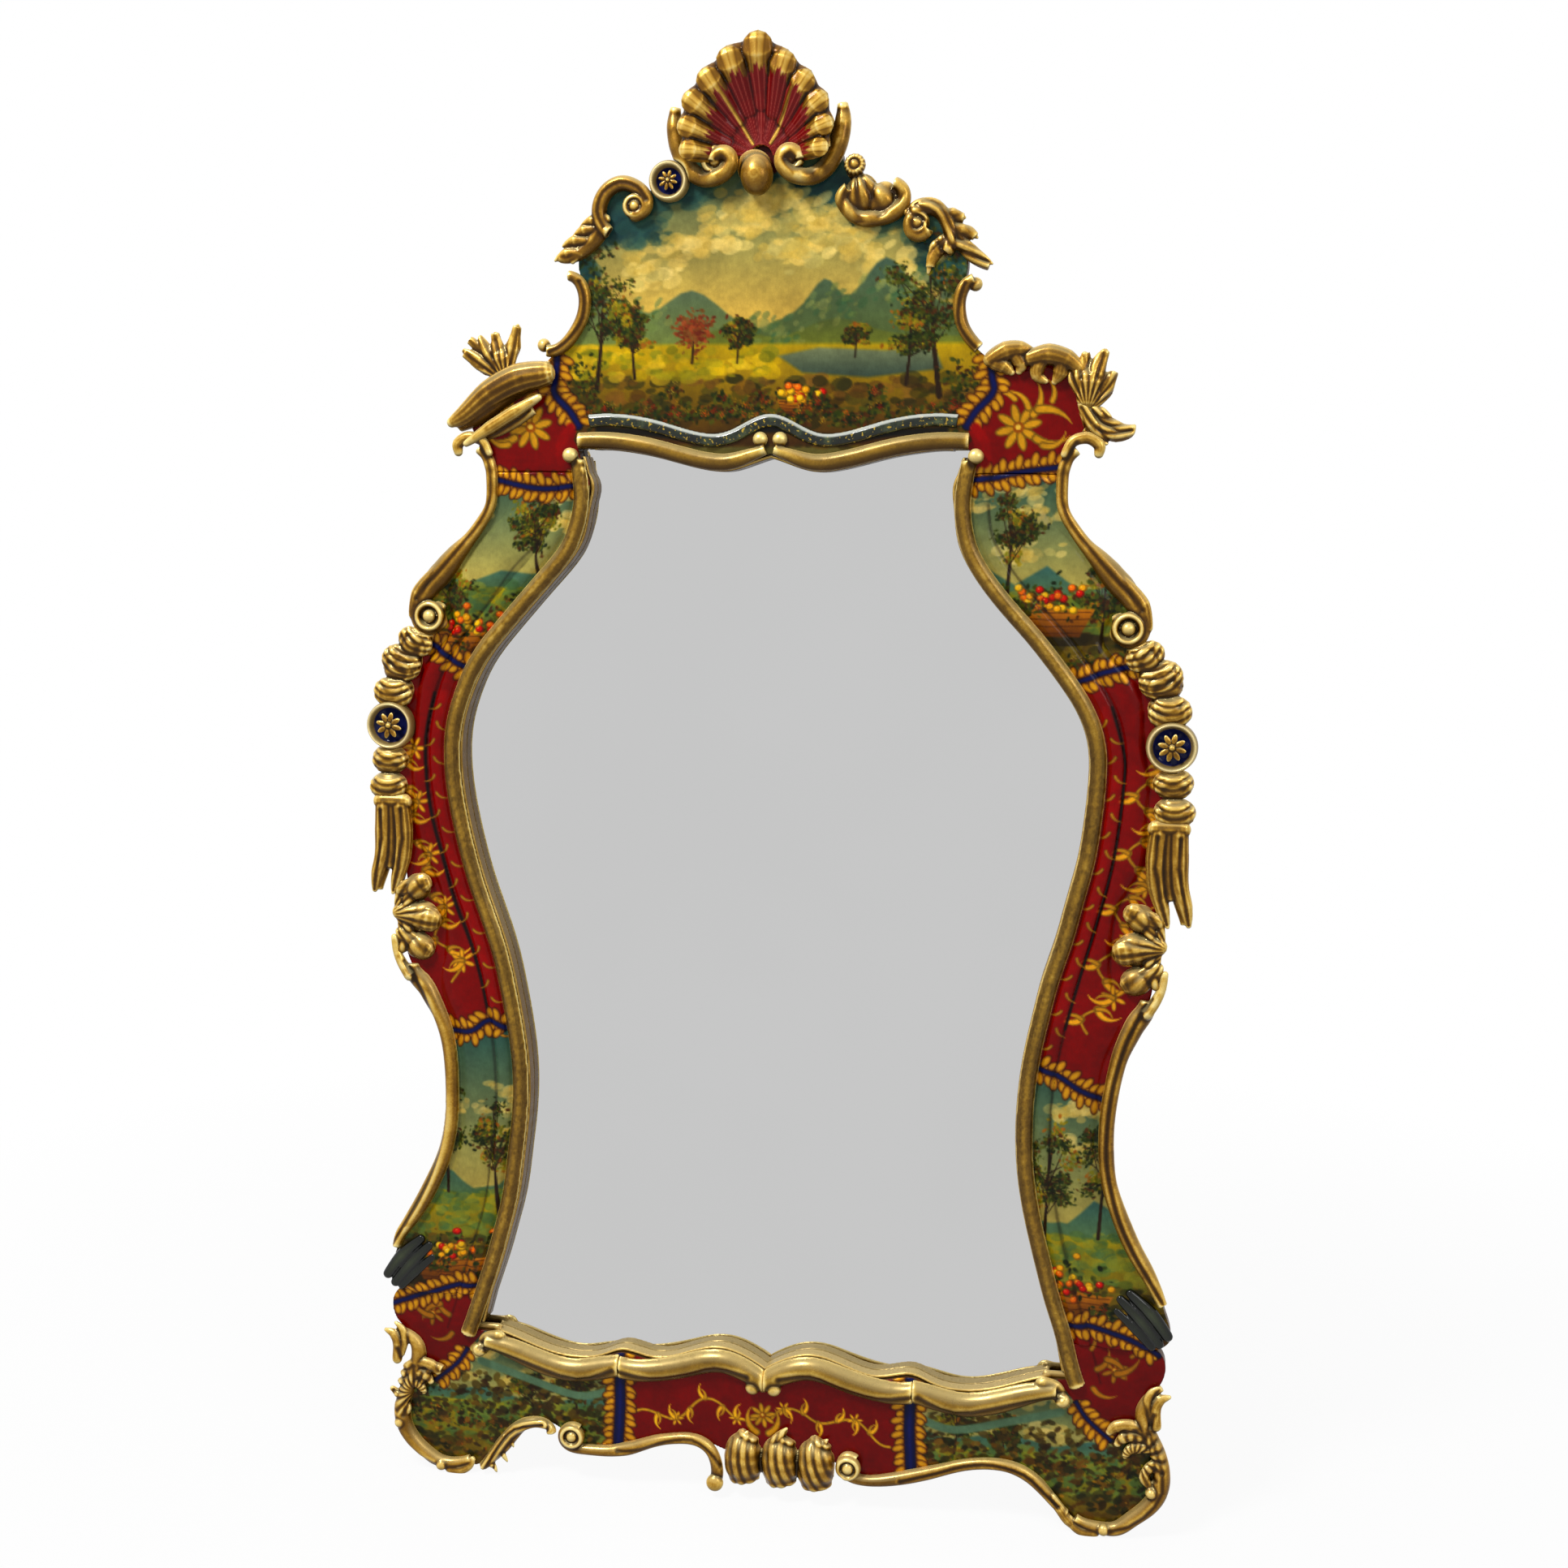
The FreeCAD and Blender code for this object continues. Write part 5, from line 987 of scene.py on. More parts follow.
    def band(self, line: Line, width: float = 9.5) -> None:
        """Draws a navy band between ragged gold borders.

        Args:
            line: the band's middle line.
            width: the width of the navy.
        """
        self.stroke(line, width + 3, BLACK)
        self.stroke(line, width, NAVY)
        self.stroke(line, width * 0.3, (26, 40, 104), cover=0.5, soft=3.0)
        for side in (1.0, -1.0):
            self.ragged(beside_line(line, side * (0.5 * width + 1.6)), side)

    def leaf(self, x: float, z: float, turn: float, length: float, curl: float = 0.5,
             colour: Colour = GOLD, gilt: float = 1.0) -> None:
        """Draws a curling leaf.

        Args:
            x: its foot across.
            z: its foot up.
            turn: its direction in radians.
            length: its length.
            curl: how far its tip turns.
            colour: the display colour.
            gilt: 1 for gold paint.
        """
        line = [(x, z)]
        heading = turn
        for _ in range(6):
            x, z = x + math.cos(heading) * length / 6, z + math.sin(heading) * length / 6
            heading += curl / 3
            line.append((x, z))
        dark = tuple(part * 0.62 for part in colour)
        self.stroke(line, length * 0.26, dark, 1.0, 1.25, gilt)
        self.stroke(line, length * 0.15, colour, 0.6, 1.3, gilt)

    def flower(self, x: float, z: float, radius: float, petals: int = 8, turn: float = 0.2,
               colour: Colour = GOLD, heart: Colour = (150, 90, 20), gilt: float = 1.0) -> None:
        """Draws an open flower.

        Args:
            x: its middle across.
            z: its middle up.
            radius: its radius.
            petals: how many petals.
            turn: the first petal's direction.
            colour: the petals' colour.
            heart: the middle's colour.
            gilt: 1 for gold paint.
        """
        dark = tuple(part * 0.6 for part in colour)
        for number in range(petals):
            way = turn + number * math.tau / petals
            px, pz = x + math.cos(way) * radius * 0.6, z + math.sin(way) * radius * 0.6
            self.dab(px, pz, radius * 0.46, radius * 0.21, way, dark, gilt, 1.0)
            self.dab(px, pz, radius * 0.40, radius * 0.14, way, colour, gilt, 1.0)
        self.dab(x, z, radius * 0.24, radius * 0.24, 0, heart, gilt, 1.0)
        self.dab(x - 0.5, z + 0.6, radius * 0.13, radius * 0.12, 0, GOLD_LIGHT, gilt, 1.0)

    def trail(self, line: Line, sway: float, pitch: float, leaf: float,
              colour: Colour = OCHRE) -> None:
        """Draws a waving stem with scrolls, leaves and flowers on alternate sides.

        Args:
            line: the trail's middle line.
            sway: how far the stem waves to each side.
            pitch: the length of one wave.
            leaf: the leaves' length.
            colour: the gold.
        """
        total = line_length(line)
        stem = []
        for run in np.arange(0.0, total, 3.0):
            x, z, ux, uz = point_at(line, run)
            off = sway * math.sin(math.tau * run / pitch)
            stem.append((x - uz * off, z + ux * off))
        self.stroke(stem, 4.2, tuple(part * 0.6 for part in colour), gilt=1.0)
        self.stroke(stem, 2.4, colour, gilt=1.0)
        for number, run in enumerate(np.arange(pitch * 0.25, total - pitch * 0.15, pitch * 0.25)):
            x, z, ux, uz = point_at(line, run)
            off = sway * math.sin(math.tau * run / pitch)
            x, z = x - uz * off, z + ux * off
            heading = math.atan2(uz, ux)
            side = 1 if number % 2 else -1
            bright = tuple(min(part * 1.22, 255) for part in colour)
            if number % 4 == 0:
                self.flower(x, z, leaf * 0.44, 6, 0.3 * number, bright)
            self.leaf(x, z, heading + side * 0.7, leaf, side * 0.9, bright)
            self.leaf(x, z, heading + side * 1.9, leaf * 0.7, -side * 0.8, colour)

    def weather(self, strength: float) -> None:
        """Varies the whole painting gently, as hand work and age do."""
        total = np.zeros(self.colour.shape[:2], np.float32)
        for cells, share in ((18, 0.35), (60, 0.35), (220, 0.3)):
            coarse = self.chance.uniform(-1, 1, (cells * 2, cells)).astype(np.float32)
            r = np.linspace(0, coarse.shape[0] - 1.001, self.rows)
            c = np.linspace(0, coarse.shape[1] - 1.001, self.columns)
            ri, ci = r.astype(int), c.astype(int)
            rf, cf = (r - ri)[:, None], (c - ci)[None, :]
            rf, cf = rf * rf * (3 - 2 * rf), cf * cf * (3 - 2 * cf)
            top = coarse[ri][:, ci] * (1 - cf) + coarse[ri][:, ci + 1] * cf
            low = coarse[ri + 1][:, ci] * (1 - cf) + coarse[ri + 1][:, ci + 1] * cf
            total += share * (top * (1 - rf) + low * rf)
        self.colour *= (1 + strength * total)[..., None]

    def deepen(self, strength: float, level: float) -> None:
        """Makes the colours fuller, as varnish does.

        Args:
            strength: how much each colour parts from its own grey.
            level: the lightness that is kept.
        """
        grey = self.colour.mean(axis=2, keepdims=True)
        self.colour = (grey + strength * (self.colour - grey)) * level
        self.colour = FULL * (np.clip(self.colour, 0, FULL) / FULL) ** 1.18

    def read(self, across: np.ndarray, up: np.ndarray) -> tuple[np.ndarray, np.ndarray]:
        """Reads the painting under points.

        Args:
            across: places across, in template millimetres on the painted face.
            up: places up.

        Returns:
            The colours in scene values, and the gold mask.
        """
        x = EYE_ACROSS + (across - EYE_ACROSS) * LAYOUT_SCALE
        z = EYE_UP + (up - EYE_UP) * LAYOUT_SCALE
        c = np.clip((x - self.WEST) / self.STEP - 0.5, 0, self.columns - 1.001)
        r = np.clip((z - self.FOOT) / self.STEP - 0.5, 0, self.rows - 1.001)
        ci, ri = c.astype(int), r.astype(int)
        cf, rf = (c - ci)[:, None], (r - ri)[:, None]
        mixed = ((self.colour[ri, ci] * (1 - cf) + self.colour[ri, ci + 1] * cf) * (1 - rf)
                 + (self.colour[ri + 1, ci] * (1 - cf) + self.colour[ri + 1, ci + 1] * cf) * rf)
        return scene_values(mixed), self.gilt[ri, ci]


def point_at(line: Line, run: float) -> tuple[float, float, float, float]:
    """The place and direction at a distance along a line.

    Args:
        line: the line's points.
        run: the distance from its start.

    Returns:
        The place across and up, and the direction across and up.
    """
    for index, ((ax, az), (bx, bz)) in enumerate(zip(line[:-1], line[1:])):
        length = math.hypot(bx - ax, bz - az)
        if run <= length or index == len(line) - 2:
            share = run / length
            return (ax + (bx - ax) * share, az + (bz - az) * share,
                    (bx - ax) / length, (bz - az) / length)
        run -= length
    return line[-1][0], line[-1][1], 1.0, 0.0


def beside_line(line: Line, offset: float) -> list[Point]:
    """A line moved square to itself.

    Args:
        line: the line's points.
        offset: millimetres to its left.

    Returns:
        The moved points.
    """
    moved = []
    for index, (x, z) in enumerate(line):
        ax, az = line[max(index - 1, 0)]
        bx, bz = line[min(index + 1, len(line) - 1)]
        length = math.hypot(bx - ax, bz - az) or 1.0
        moved.append((x - (bz - az) / length * offset, z + (bx - ax) / length * offset))
    return moved


def smooth_line(points: Line, cuts: int = 6) -> list[Point]:
    """A smooth curve through points.

    Args:
        points: the points to pass through.
        cuts: new points for each span.

    Returns:
        The curve's points.
    """
    ends = [points[0], *points, points[-1]]
    curve = []
    for index in range(1, len(ends) - 2):
        p0, p1, p2, p3 = (np.asarray(ends[index + step], float) for step in (-1, 0, 1, 2))
        for cut in range(cuts):
            t = cut / cuts
            spot = 0.5 * (2 * p1 + (p2 - p0) * t + (2 * p0 - 5 * p1 + 4 * p2 - p3) * t ** 2
                          + (3 * p1 - p0 - 3 * p2 + p3) * t ** 3)
            curve.append((float(spot[0]), float(spot[1])))
    curve.append(tuple(points[-1]))
    return curve


SIGHT_LINES: dict[Side, Line] = {
    Side.RIGHT: ((240, 1338), (236, 1300), (245, 1250), (277, 1200), (324, 1146), (361, 1100),
                 (392, 1050), (406, 1000), (406, 970), (401, 910), (392, 855), (377, 795),
                 (361, 735), (345, 670), (332, 590), (329, 535), (331, 480), (345, 400),
                 (365, 325), (390, 245), (402, 200)),
    Side.LEFT: ((-241, 1338), (-239, 1300), (-252, 1250), (-300, 1200), (-338, 1150),
                (-378, 1100), (-401, 1050), (-412, 1000), (-412, 950), (-405, 900),
                (-392, 850), (-378, 800), (-360, 750), (-346, 700), (-336, 650), (-329, 600),
                (-326, 550), (-327, 500), (-335, 450), (-340, 400), (-352, 350), (-369, 300),
                (-383, 250), (-400, 198)),
}

# The painted leaves of the red fields: foot across and up, direction, length and curl of each.
UPPER_SPRAY: tuple[tuple[float, ...], ...] = (
    (318, 1408, 0.9, 42, 0.7), (324, 1414, 0.1, 46, -0.6), (312, 1416, 1.9, 34, 0.7),
    (322, 1380, -0.5, 44, 0.7), (330, 1372, -0.2, 36, 0.9), (296, 1426, 2.4, 30, 0.5),
    (340, 1424, 1.2, 30, 0.8),
)
FOOT_SPRAY: tuple[tuple[float, ...], ...] = (
    (428, 226, 0.5, 36, 0.8), (440, 240, -0.2, 38, -0.7), (452, 222, 0.2, 40, 0.6),
    (424, 200, -0.9, 34, 0.8), (420, 252, 1.0, 26, 0.7), (470, 246, 0.6, 24, -0.8),
)

LEAF_GREENS: tuple[Colour, ...] = ((34, 46, 16), (58, 68, 20), (24, 32, 12), (82, 84, 26),
                                   (74, 44, 16))
LIT_GREENS: tuple[Colour, ...] = ((126, 122, 34), (158, 140, 44), (104, 104, 30), (150, 96, 30))
FAR_GREENS: tuple[Colour, ...] = ((96, 118, 66), (140, 140, 58), (78, 104, 70))
CLOUDS: tuple[Colour, ...] = ((224, 198, 122), (204, 180, 104), (184, 172, 112), (238, 216, 146))
PETALS: tuple[Colour, ...] = ((226, 110, 16), (232, 178, 30), (186, 26, 14), (236, 206, 96),
                              (214, 96, 50))


@dataclass
class FramePainting:
    """The painted decoration of the four boards: small views, red fields, bands and trails."""

    seed: int = 11
    canvas: PaintCanvas = field(init=False)

    def __post_init__(self) -> None:
        """Primes the sheet."""
        self.canvas = PaintCanvas((96, 90, 52), self.seed)

    def in_box(self, west: float, east: float, foot: float, top: float) -> Callable[[], Point]:
        """A source of chance places in a box."""
        chance = self.canvas.chance
        return lambda: (chance.uniform(west, east), chance.uniform(foot, top))

    def around(self, x: float, z: float, wide: float, high: float) -> Callable[[], Point]:
        """A source of chance places gathered round one place."""
        chance = self.canvas.chance
        return lambda: (chance.normal(x, wide), chance.normal(z, high))

    def tree(self, x: float, foot: float, height: float, wide: float, lean: float = 0.0) -> None:
        """Paints a leafy tree.

        Args:
            x: the trunk's foot across.
            foot: its foot up.
            height: the whole height.
            wide: the width of the crown.
            lean: how far the crown stands to the side.
        """
        c = self.canvas
        top = (x + lean, foot + height * 0.80)
        c.stroke([(x, foot), (x + lean * 0.6, foot + height * 0.35), top], wide * 0.08, BARK,
                 wide * 0.02)
        for number in range(16):
            way = c.chance.uniform(0.0, math.tau)
            run = math.sqrt(c.chance.uniform(0.0, 1.0))
            cx = x + lean + 0.46 * wide * run * math.cos(way)
            cz = foot + height * (0.64 + 0.30 * run * math.sin(way))
            c.stroke([(x + lean * 0.6, foot + height * c.chance.uniform(0.3, 0.6)), (cx, cz)],
                     1.6, BARK, 0.8)
            light = 0.5 + 0.5 * math.sin(way) - 0.3 * math.cos(way)
            shades = LEAF_GREENS if number % 4 else LIT_GREENS
            spot = self.around(cx, cz, wide * 0.10, height * 0.035)
            c.dabs(52, spot, (1.6, 3.8), shades, 0.4, 1.4, 0.9)
            if light > 0.6:
                c.dabs(8, spot, (1.0, 2.0), LIT_GREENS, 0.4, 1.4, 0.8)

    def bush(self, x: float, z: float, wide: float, high: float, blooms: int = 0) -> None:
        """Paints a bush, with blossoms where asked."""
        c = self.canvas
        c.dabs(int(wide * 1.6), self.around(x, z, wide * 0.24, high * 0.24), (2.0, 4.6),
               LEAF_GREENS, 0.4, 1.2, 0.85)
        for _ in range(blooms):
            bx, bz = c.chance.normal(x, wide * 0.26), c.chance.normal(z + 1, high * 0.24)
            colour = PETALS[int(c.chance.integers(len(PETALS)))]
            c.flower(bx, bz, c.chance.uniform(2.6, 4.4), 5, c.chance.uniform(0, 6), colour,
                     (110, 60, 20), 0.0)

    def basket(self, x: float, foot: float, high: float) -> None:
        """Paints a wide basket heaped with yellow fruit and flowers."""
        c = self.canvas
        wide = high * 0.72
        c.dab(x, foot - 2.0, wide * 1.25, high * 0.12, 0.0, (40, 32, 14), cover=0.8)
        c.area([(x - wide * 0.66, foot), (x + wide * 0.66, foot),
                (x + wide, foot + high * 0.46), (x - wide, foot + high * 0.46)],
               (96, 56, 14), (184, 124, 34), 2.0)
        for row in range(4):
            z = foot + high * (0.08 + 0.11 * row)
            c.stroke([(x - wide * 0.9, z), (x, z - 2.0), (x + wide * 0.9, z)], 1.4, (70, 38, 10),
                     cover=0.7)
        c.dabs(90, self.around(x, foot + high * 0.62, wide * 0.5, high * 0.15), (2.4, 5.0),
               LEAF_GREENS, 0.4, 1.4, 0.9)
        for number in range(26):
            fx = c.chance.normal(x, wide * 0.44)
            fz = c.chance.normal(foot + high * 0.64, high * 0.14)
            warm = ((226, 168, 22), (238, 194, 50), (222, 120, 18), (188, 34, 12))[number % 4]
            c.dab(fx, fz, 5.2, 4.6, 0.3, tuple(part * 0.6 for part in warm), cover=1.0)
            c.dab(fx - 0.7, fz + 0.8, 4.0, 3.5, 0.3, warm, cover=1.0)
            c.dab(fx - 1.6, fz + 1.8, 1.4, 1.1, 0.3, (250, 232, 160), cover=0.8)

    def view(self, west: float, east: float, foot: float, top: float, horizon: float) -> None:
        """Paints sky, far hills and fields over a box.

        Args:
            west: the box's left side.
            east: its right side.
            foot: its foot.
            top: its top.
            horizon: the height of the far line.
        """
        c = self.canvas
        c.area([(west, horizon - 10), (east, horizon - 10), (east, top), (west, top)],
               (196, 176, 104), (46, 82, 80))
        span, height = east - west, top - horizon
        for _ in range(max(int(span / 34), 2)):
            cx, cz = c.chance.uniform(west, east), horizon + height * c.chance.uniform(0.25, 0.8)
            c.dabs(24, self.around(cx, cz, 20, 6), (4, 11), CLOUDS, 0.15, 0.3, 0.5)
        ridge = [(west, horizon)]
        for step in range(9):
            x = west + span * step / 8
            ridge.append((x, horizon + c.chance.uniform(3, 0.22 * height)))
        ridge.append((east, horizon - 12))
        ridge.append((west, horizon - 12))
        c.area(ridge, (104, 124, 84), (70, 104, 98), 3.0)
        c.area([(west, foot), (east, foot), (east, horizon), (west, horizon)],
               (74, 52, 20), (158, 146, 40), 3.0)
        depth = horizon - foot
        c.dabs(int(span * 0.9), self.in_box(west, east, horizon - 0.45 * depth, horizon + 4),
               (4, 12), FAR_GREENS, 0.05, 0.2, 0.55)
        c.dabs(int(span * 1.1), self.in_box(west, east, foot, horizon - 0.4 * depth),
               (4, 12), ((62, 54, 18), (96, 76, 28), (44, 42, 14), (122, 108, 34)), 0.08, 0.3,
               0.6)

    def crest(self) -> None:
        """Paints the crest's broad view: clouds, hills, a lake and gardens."""
        c = self.canvas
        self.view(-300, 300, 1370, 1730, 1512)
        c.area([(-300, 1500), (300, 1500), (300, 1730), (-300, 1730)], (226, 190, 104),
               (70, 96, 84), 30.0)
        for x, z, wide, high in ((-190, 1640, 60, 34), (-120, 1676, 46, 18), (150, 1655, 60, 26),
                                 (210, 1600, 34, 44), (40, 1680, 60, 16), (-240, 1560, 22, 40)):
            c.dabs(110, self.around(x, z, wide * 0.5, high * 0.5), (8, 18),
                   ((40, 74, 72), (58, 90, 80), (30, 58, 60)), 0.2, 0.4, 0.4)
        for x, z in ((-90, 1612), (-30, 1634), (30, 1600), (96, 1612), (-10, 1662), (60, 1640),
                     (-150, 1580), (150, 1578)):
            c.dabs(60, self.around(x, z, 22, 9), (5, 13), CLOUDS, 0.2, 0.4, 0.5)
        hills = ((((-270, 1520), (-200, 1548), (-150, 1530), (-96, 1556), (-40, 1520),
                   (0, 1508), (0, 1490), (-270, 1490)), (124, 134, 80), (98, 112, 88)),
                 (((-40, 1500), (30, 1530), (66, 1568), (96, 1548), (140, 1592), (182, 1552),
                   (236, 1532), (270, 1520), (270, 1490), (-40, 1490)), (104, 116, 70),
                  (76, 94, 80)),
                 (((-120, 1490), (-50, 1512), (10, 1500), (80, 1522), (150, 1504), (240, 1500),
                   (240, 1482), (-120, 1482)), (134, 138, 58), (92, 102, 60)))
        for outline, low, high in hills:
            c.area([*smooth_line(outline[:-2], 4), *outline[-2:]], low, high, 3.0)
        for x, z in ((-160, 1524), (70, 1540), (150, 1560), (10, 1506)):
            c.dabs(40, self.around(x, z, 22, 10), (3, 8),
                   ((70, 100, 70), (120, 134, 84), (150, 152, 96)), 0.7, 0.4, 0.45)
        c.area([(-280, 1372), (280, 1372), (280, 1492), (-280, 1492)], (66, 44, 18),
               (186, 160, 34), 5.0)
        c.area([(10, 1478), (60, 1488), (140, 1484), (200, 1488), (210, 1462), (120, 1452),
                (40, 1458)], (66, 80, 70), (134, 140, 108), 4.0)
        c.dabs(240, self.in_box(-250, 250, 1396, 1452), (4, 13),
               ((58, 44, 16), (96, 70, 28), (126, 92, 40), (70, 66, 20), (40, 40, 14)), 0.08,
               0.25, 0.6)
        c.dabs(150, self.in_box(-250, 10, 1452, 1486), (4, 12),
               ((196, 168, 30), (160, 148, 36), (118, 120, 34), (212, 182, 60)), 0.06, 0.2, 0.6)
        for x, foot, height, wide, lean in ((206, 1430, 190, 92, -14), (166, 1444, 96, 56, 6),
                                            (-216, 1440, 150, 76, 10), (-168, 1452, 84, 50, -4),
                                            (-40, 1470, 54, 34, 2), (104, 1476, 44, 30, 2)):
            self.tree(x, foot, height, wide, lean)
        c.stroke([(-96, 1470), (-94, 1500)], 3.4, (48, 28, 14), 2.0)
        c.dabs(260, self.around(-94, 1508, 11, 11), (2.0, 4.2),
               ((132, 62, 34), (152, 82, 46), (104, 46, 26), (120, 80, 40)), 0.4, 1.4, 0.9)
        for side in (-1, 1):
            for z, high in ((1410, 40), (1450, 34), (1560, 30), (1600, 26)):
                x = side * (236 if z < 1500 else 224)
                c.dabs(90, self.around(x, z, 13, high * 0.4), (1.6, 4.2), LEAF_GREENS, 0.4, 1.4,
                       0.85)
        self.basket(34, 1410, 34)
        c.dab(-14, 1712, 34, 22, 0.0, RED_DARK, cover=1.0)
        for x in range(-225, 235, 24):
            self.bush(x, 1404 + c.chance.uniform(-6, 14), 36, 22, 7)
        for x, z in ((-10, 1430), (62, 1424), (-60, 1428), (-120, 1436), (130, 1436)):
            self.bush(x, z, 26, 16, 4)

    def vignettes(self, side: Side) -> None:
        """Paints the two tall views of a stile and the view of the bottom rail.

        Args:
            side: the side to paint.
        """
        s = side.value
        c = self.canvas
        self.view(*side.span(225, 530), 1070, 1360, 1195)
        self.view(*side.span(290, 545), 245, 640, 400)
        self.view(*side.span(195, 560), -20, 215, 108)
        upper, lower = (((344, 1188), (392, 334)) if side is Side.RIGHT
                        else ((-384, 1146), (-424, 318)))
        behind = ((292, 1196, 120, 64), (404, 1130, 104, 56), (356, 372, 176, 66),
                  (424, 400, 150, 60), (250, 96, 72, 50), (310, 90, 66, 46), (470, 84, 78, 52))
        for x, foot, height, wide in behind:
            self.tree(s * x, foot, height, wide, 5.0 * s)
        for x, z in (upper, lower):
            self.basket(x, z - 42, 74)
        for x, z, wide in ((300, 1180, 60), (400, 1112, 60), (372, 286, 70), (440, 300, 50),
                           (360, 330, 40)):
            self.bush(s * x, z, wide, 26, 8)
        for inner in range(215, 520, 38):
            self.bush(s * inner, 84 + c.chance.uniform(-8, 8), 36, 22, 6)
        c.dabs(300, self.in_box(*side.span(200, 530), 92, 150), (2.5, 8.0),
               ((44, 36, 12), (70, 56, 20), (50, 32, 10), (96, 80, 30)), 0.2, 1.0, 0.75)
        c.dabs(420, self.in_box(*side.span(196, 530), 0, 112), (2.5, 8.0),
               ((52, 38, 12), (34, 34, 11), (88, 62, 20), (116, 86, 28), (54, 50, 16)), 0.2, 0.8,
               0.8)
        c.dabs(70, self.in_box(*side.span(200, 500), 20, 100), (1.6, 3.4),
               ((176, 132, 40), (158, 92, 24), (140, 120, 44)), 0.3, 1.4, 0.8)
        bead = side.turn(((204, 140), (250, 128), (320, 146), (384, 165)))
        c.stroke(smooth_line(bead, 4), 11, (104, 128, 104), soft=2.5)

    def spray(self, side: Side, leaves: Sequence[tuple[float, ...]], colour: Colour) -> None:
        """Paints a spray of leaves.

        Args:
            side: the side to paint.
            leaves: each right-hand leaf's foot across and up, direction, length and curl.
            colour: the gold.
        """
        for x, z, way, length, curl in leaves:
            heading = way if side is Side.RIGHT else math.pi - way
            self.canvas.leaf(side.value * x, z, heading, length, curl * side.value, colour)

    def fields(self, side: Side) -> None:
        """Paints a side's red fields with their gold work.

        Args:
            side: the side to paint.
        """
        c = self.canvas
        upper, middle, lower, foot = self.band_lines(side)
        far = 560 * side.value
        near = 215 * side.value
        c.area([*side.turn([(265, 1500), (265, 1469), (272, 1434), (238, 1398), (246, 1378)]),
                (near, upper[0][1]), *upper, (far, upper[-1][1]), (far, 1500)], RED,
               (112, 6, 10))
        c.area([(near, middle[0][1]), *middle, (far, middle[-1][1]), (far, lower[-1][1]),
                *reversed(lower), (near, lower[0][1])], RED, (120, 8, 10))
        c.area([(near * 1.4, foot[0][1]), *foot, (far, foot[-1][1]),
                (far, 130), *side.turn([(444, 134), (406, 174), (360, 230)])], (92, 6, 8), RED)
        c.flower(side.value * 301, 1393, 27, 8, 0.25)
        self.spray(side, UPPER_SPRAY, GOLD)
        trail = beside_line(SIGHT_LINES[side], 62 * side.value)
        part = [p for p in trail if lower[0][1] + 24 < p[1] < middle[0][1] - 30]
        c.trail(smooth_line(part, 4), 15, 72, 36, (188, 142, 48))
        bead = beside_line(SIGHT_LINES[side], 21 * side.value)
        red_bead = [p for p in bead if lower[0][1] - 4 < p[1] < middle[0][1]]
        c.stroke(smooth_line(red_bead, 4), 17, RED_BRIGHT, soft=5.0, cover=0.75)
        groove = beside_line(SIGHT_LINES[side], 31.5 * side.value)
        c.stroke(smooth_line([p for p in groove if p[1] < 1330], 4), 3.0, BLACK, soft=2.0,
                 cover=0.28)
        red_groove = [p for p in groove if lower[0][1] + 4 < p[1] < middle[0][1] - 10]
        c.stroke(smooth_line(red_groove, 4), 3.4, BLACK, soft=2.0, cover=0.8)
        for number, run in enumerate(np.arange(12.0, 470.0, 23.0)):
            x, z, ux, uz = point_at(red_bead, run)
            heading = math.atan2(uz, ux) + (0.5 if number % 2 else -0.5)
            c.leaf(x, z, heading, 17, 0.6 if number % 2 else -0.6, (176, 130, 46))
        c.flower(side.value * 450, 226, 17, 6, 0.4, OCHRE)
        self.spray(side, FOOT_SPRAY, OCHRE)

    def band_lines(self, side: Side) -> tuple[Line, Line, Line, Line]:
        """The four bands of a side, from the glass outwards, highest first."""
        if side is Side.RIGHT:
            return (((243, 1331), (275, 1334), (300, 1340), (352, 1347)),
                    ((372, 1090), (392, 1097), (414, 1106), (450, 1114)),
                    ((345, 612), (372, 603), (398, 588), (430, 574)),
                    ((388, 281), (412, 283), (432, 281), (469, 271), (502, 252)))
        return (((-243, 1322), (-290, 1318), (-352, 1330)),
                ((-388, 1092), (-406, 1102), (-424, 1116), (-446, 1128)),
                ((-345, 626), (-366, 634), (-388, 620), (-420, 618)),
                ((-388, 270), (-412, 270), (-440, 262), (-480, 246), (-514, 233)))

    def bands(self, side: Side) -> None:
        """Paints a side's navy bands and their borders.

        Args:
            side: the side to paint.
        """
        c = self.canvas
        for line in self.band_lines(side):
            c.band(smooth_line(line, 5))
        crest = side.turn(((266, 1480), (268, 1455), (270, 1434), (250, 1412), (240, 1396)))
        c.band(smooth_line(crest, 5), 11)
        c.band(smooth_line(side.turn(((404, 178), (418, 158), (446, 134))), 5), 8)
        c.band(side.turn(((193, 215), (192, 120), (196, 50))), 17)
        c.stroke(smooth_line(side.turn(((250, 1392), (262, 1374), (262, 1352))), 5), 12,
                 RED_BRIGHT, soft=4.0)

    def centre(self) -> None:
        """Paints the red middle of the bottom board with its gold scrolls."""
        c = self.canvas
        c.area([(-184, 20), (184, 20), (184, 230), (-184, 230)], (104, 8, 10), RED)
        for s in (-1, 1):
            c.trail(smooth_line([(s * 10, 118), (s * 60, 132), (s * 120, 118), (s * 172, 104)],
                                6), 10, 90, 24, GOLD)
            c.leaf(s * 8, 100, 0.6 if s > 0 else math.pi - 0.6, 40, 0.9 * s, GOLD)
        c.flower(0, 124, 17, 8)
        c.stroke([(-36, 1391), (36, 1391)], 9, GROOVE_DARK, soft=4.0)
        c.stroke(smooth_line([(-214, 1390), (-150, 1386), (-90, 1380), (-40, 1386), (0, 1396),
                              (40, 1386), (90, 1380), (150, 1386), (214, 1390)], 5), 8,
                 GROOVE_DARK, soft=4.0)

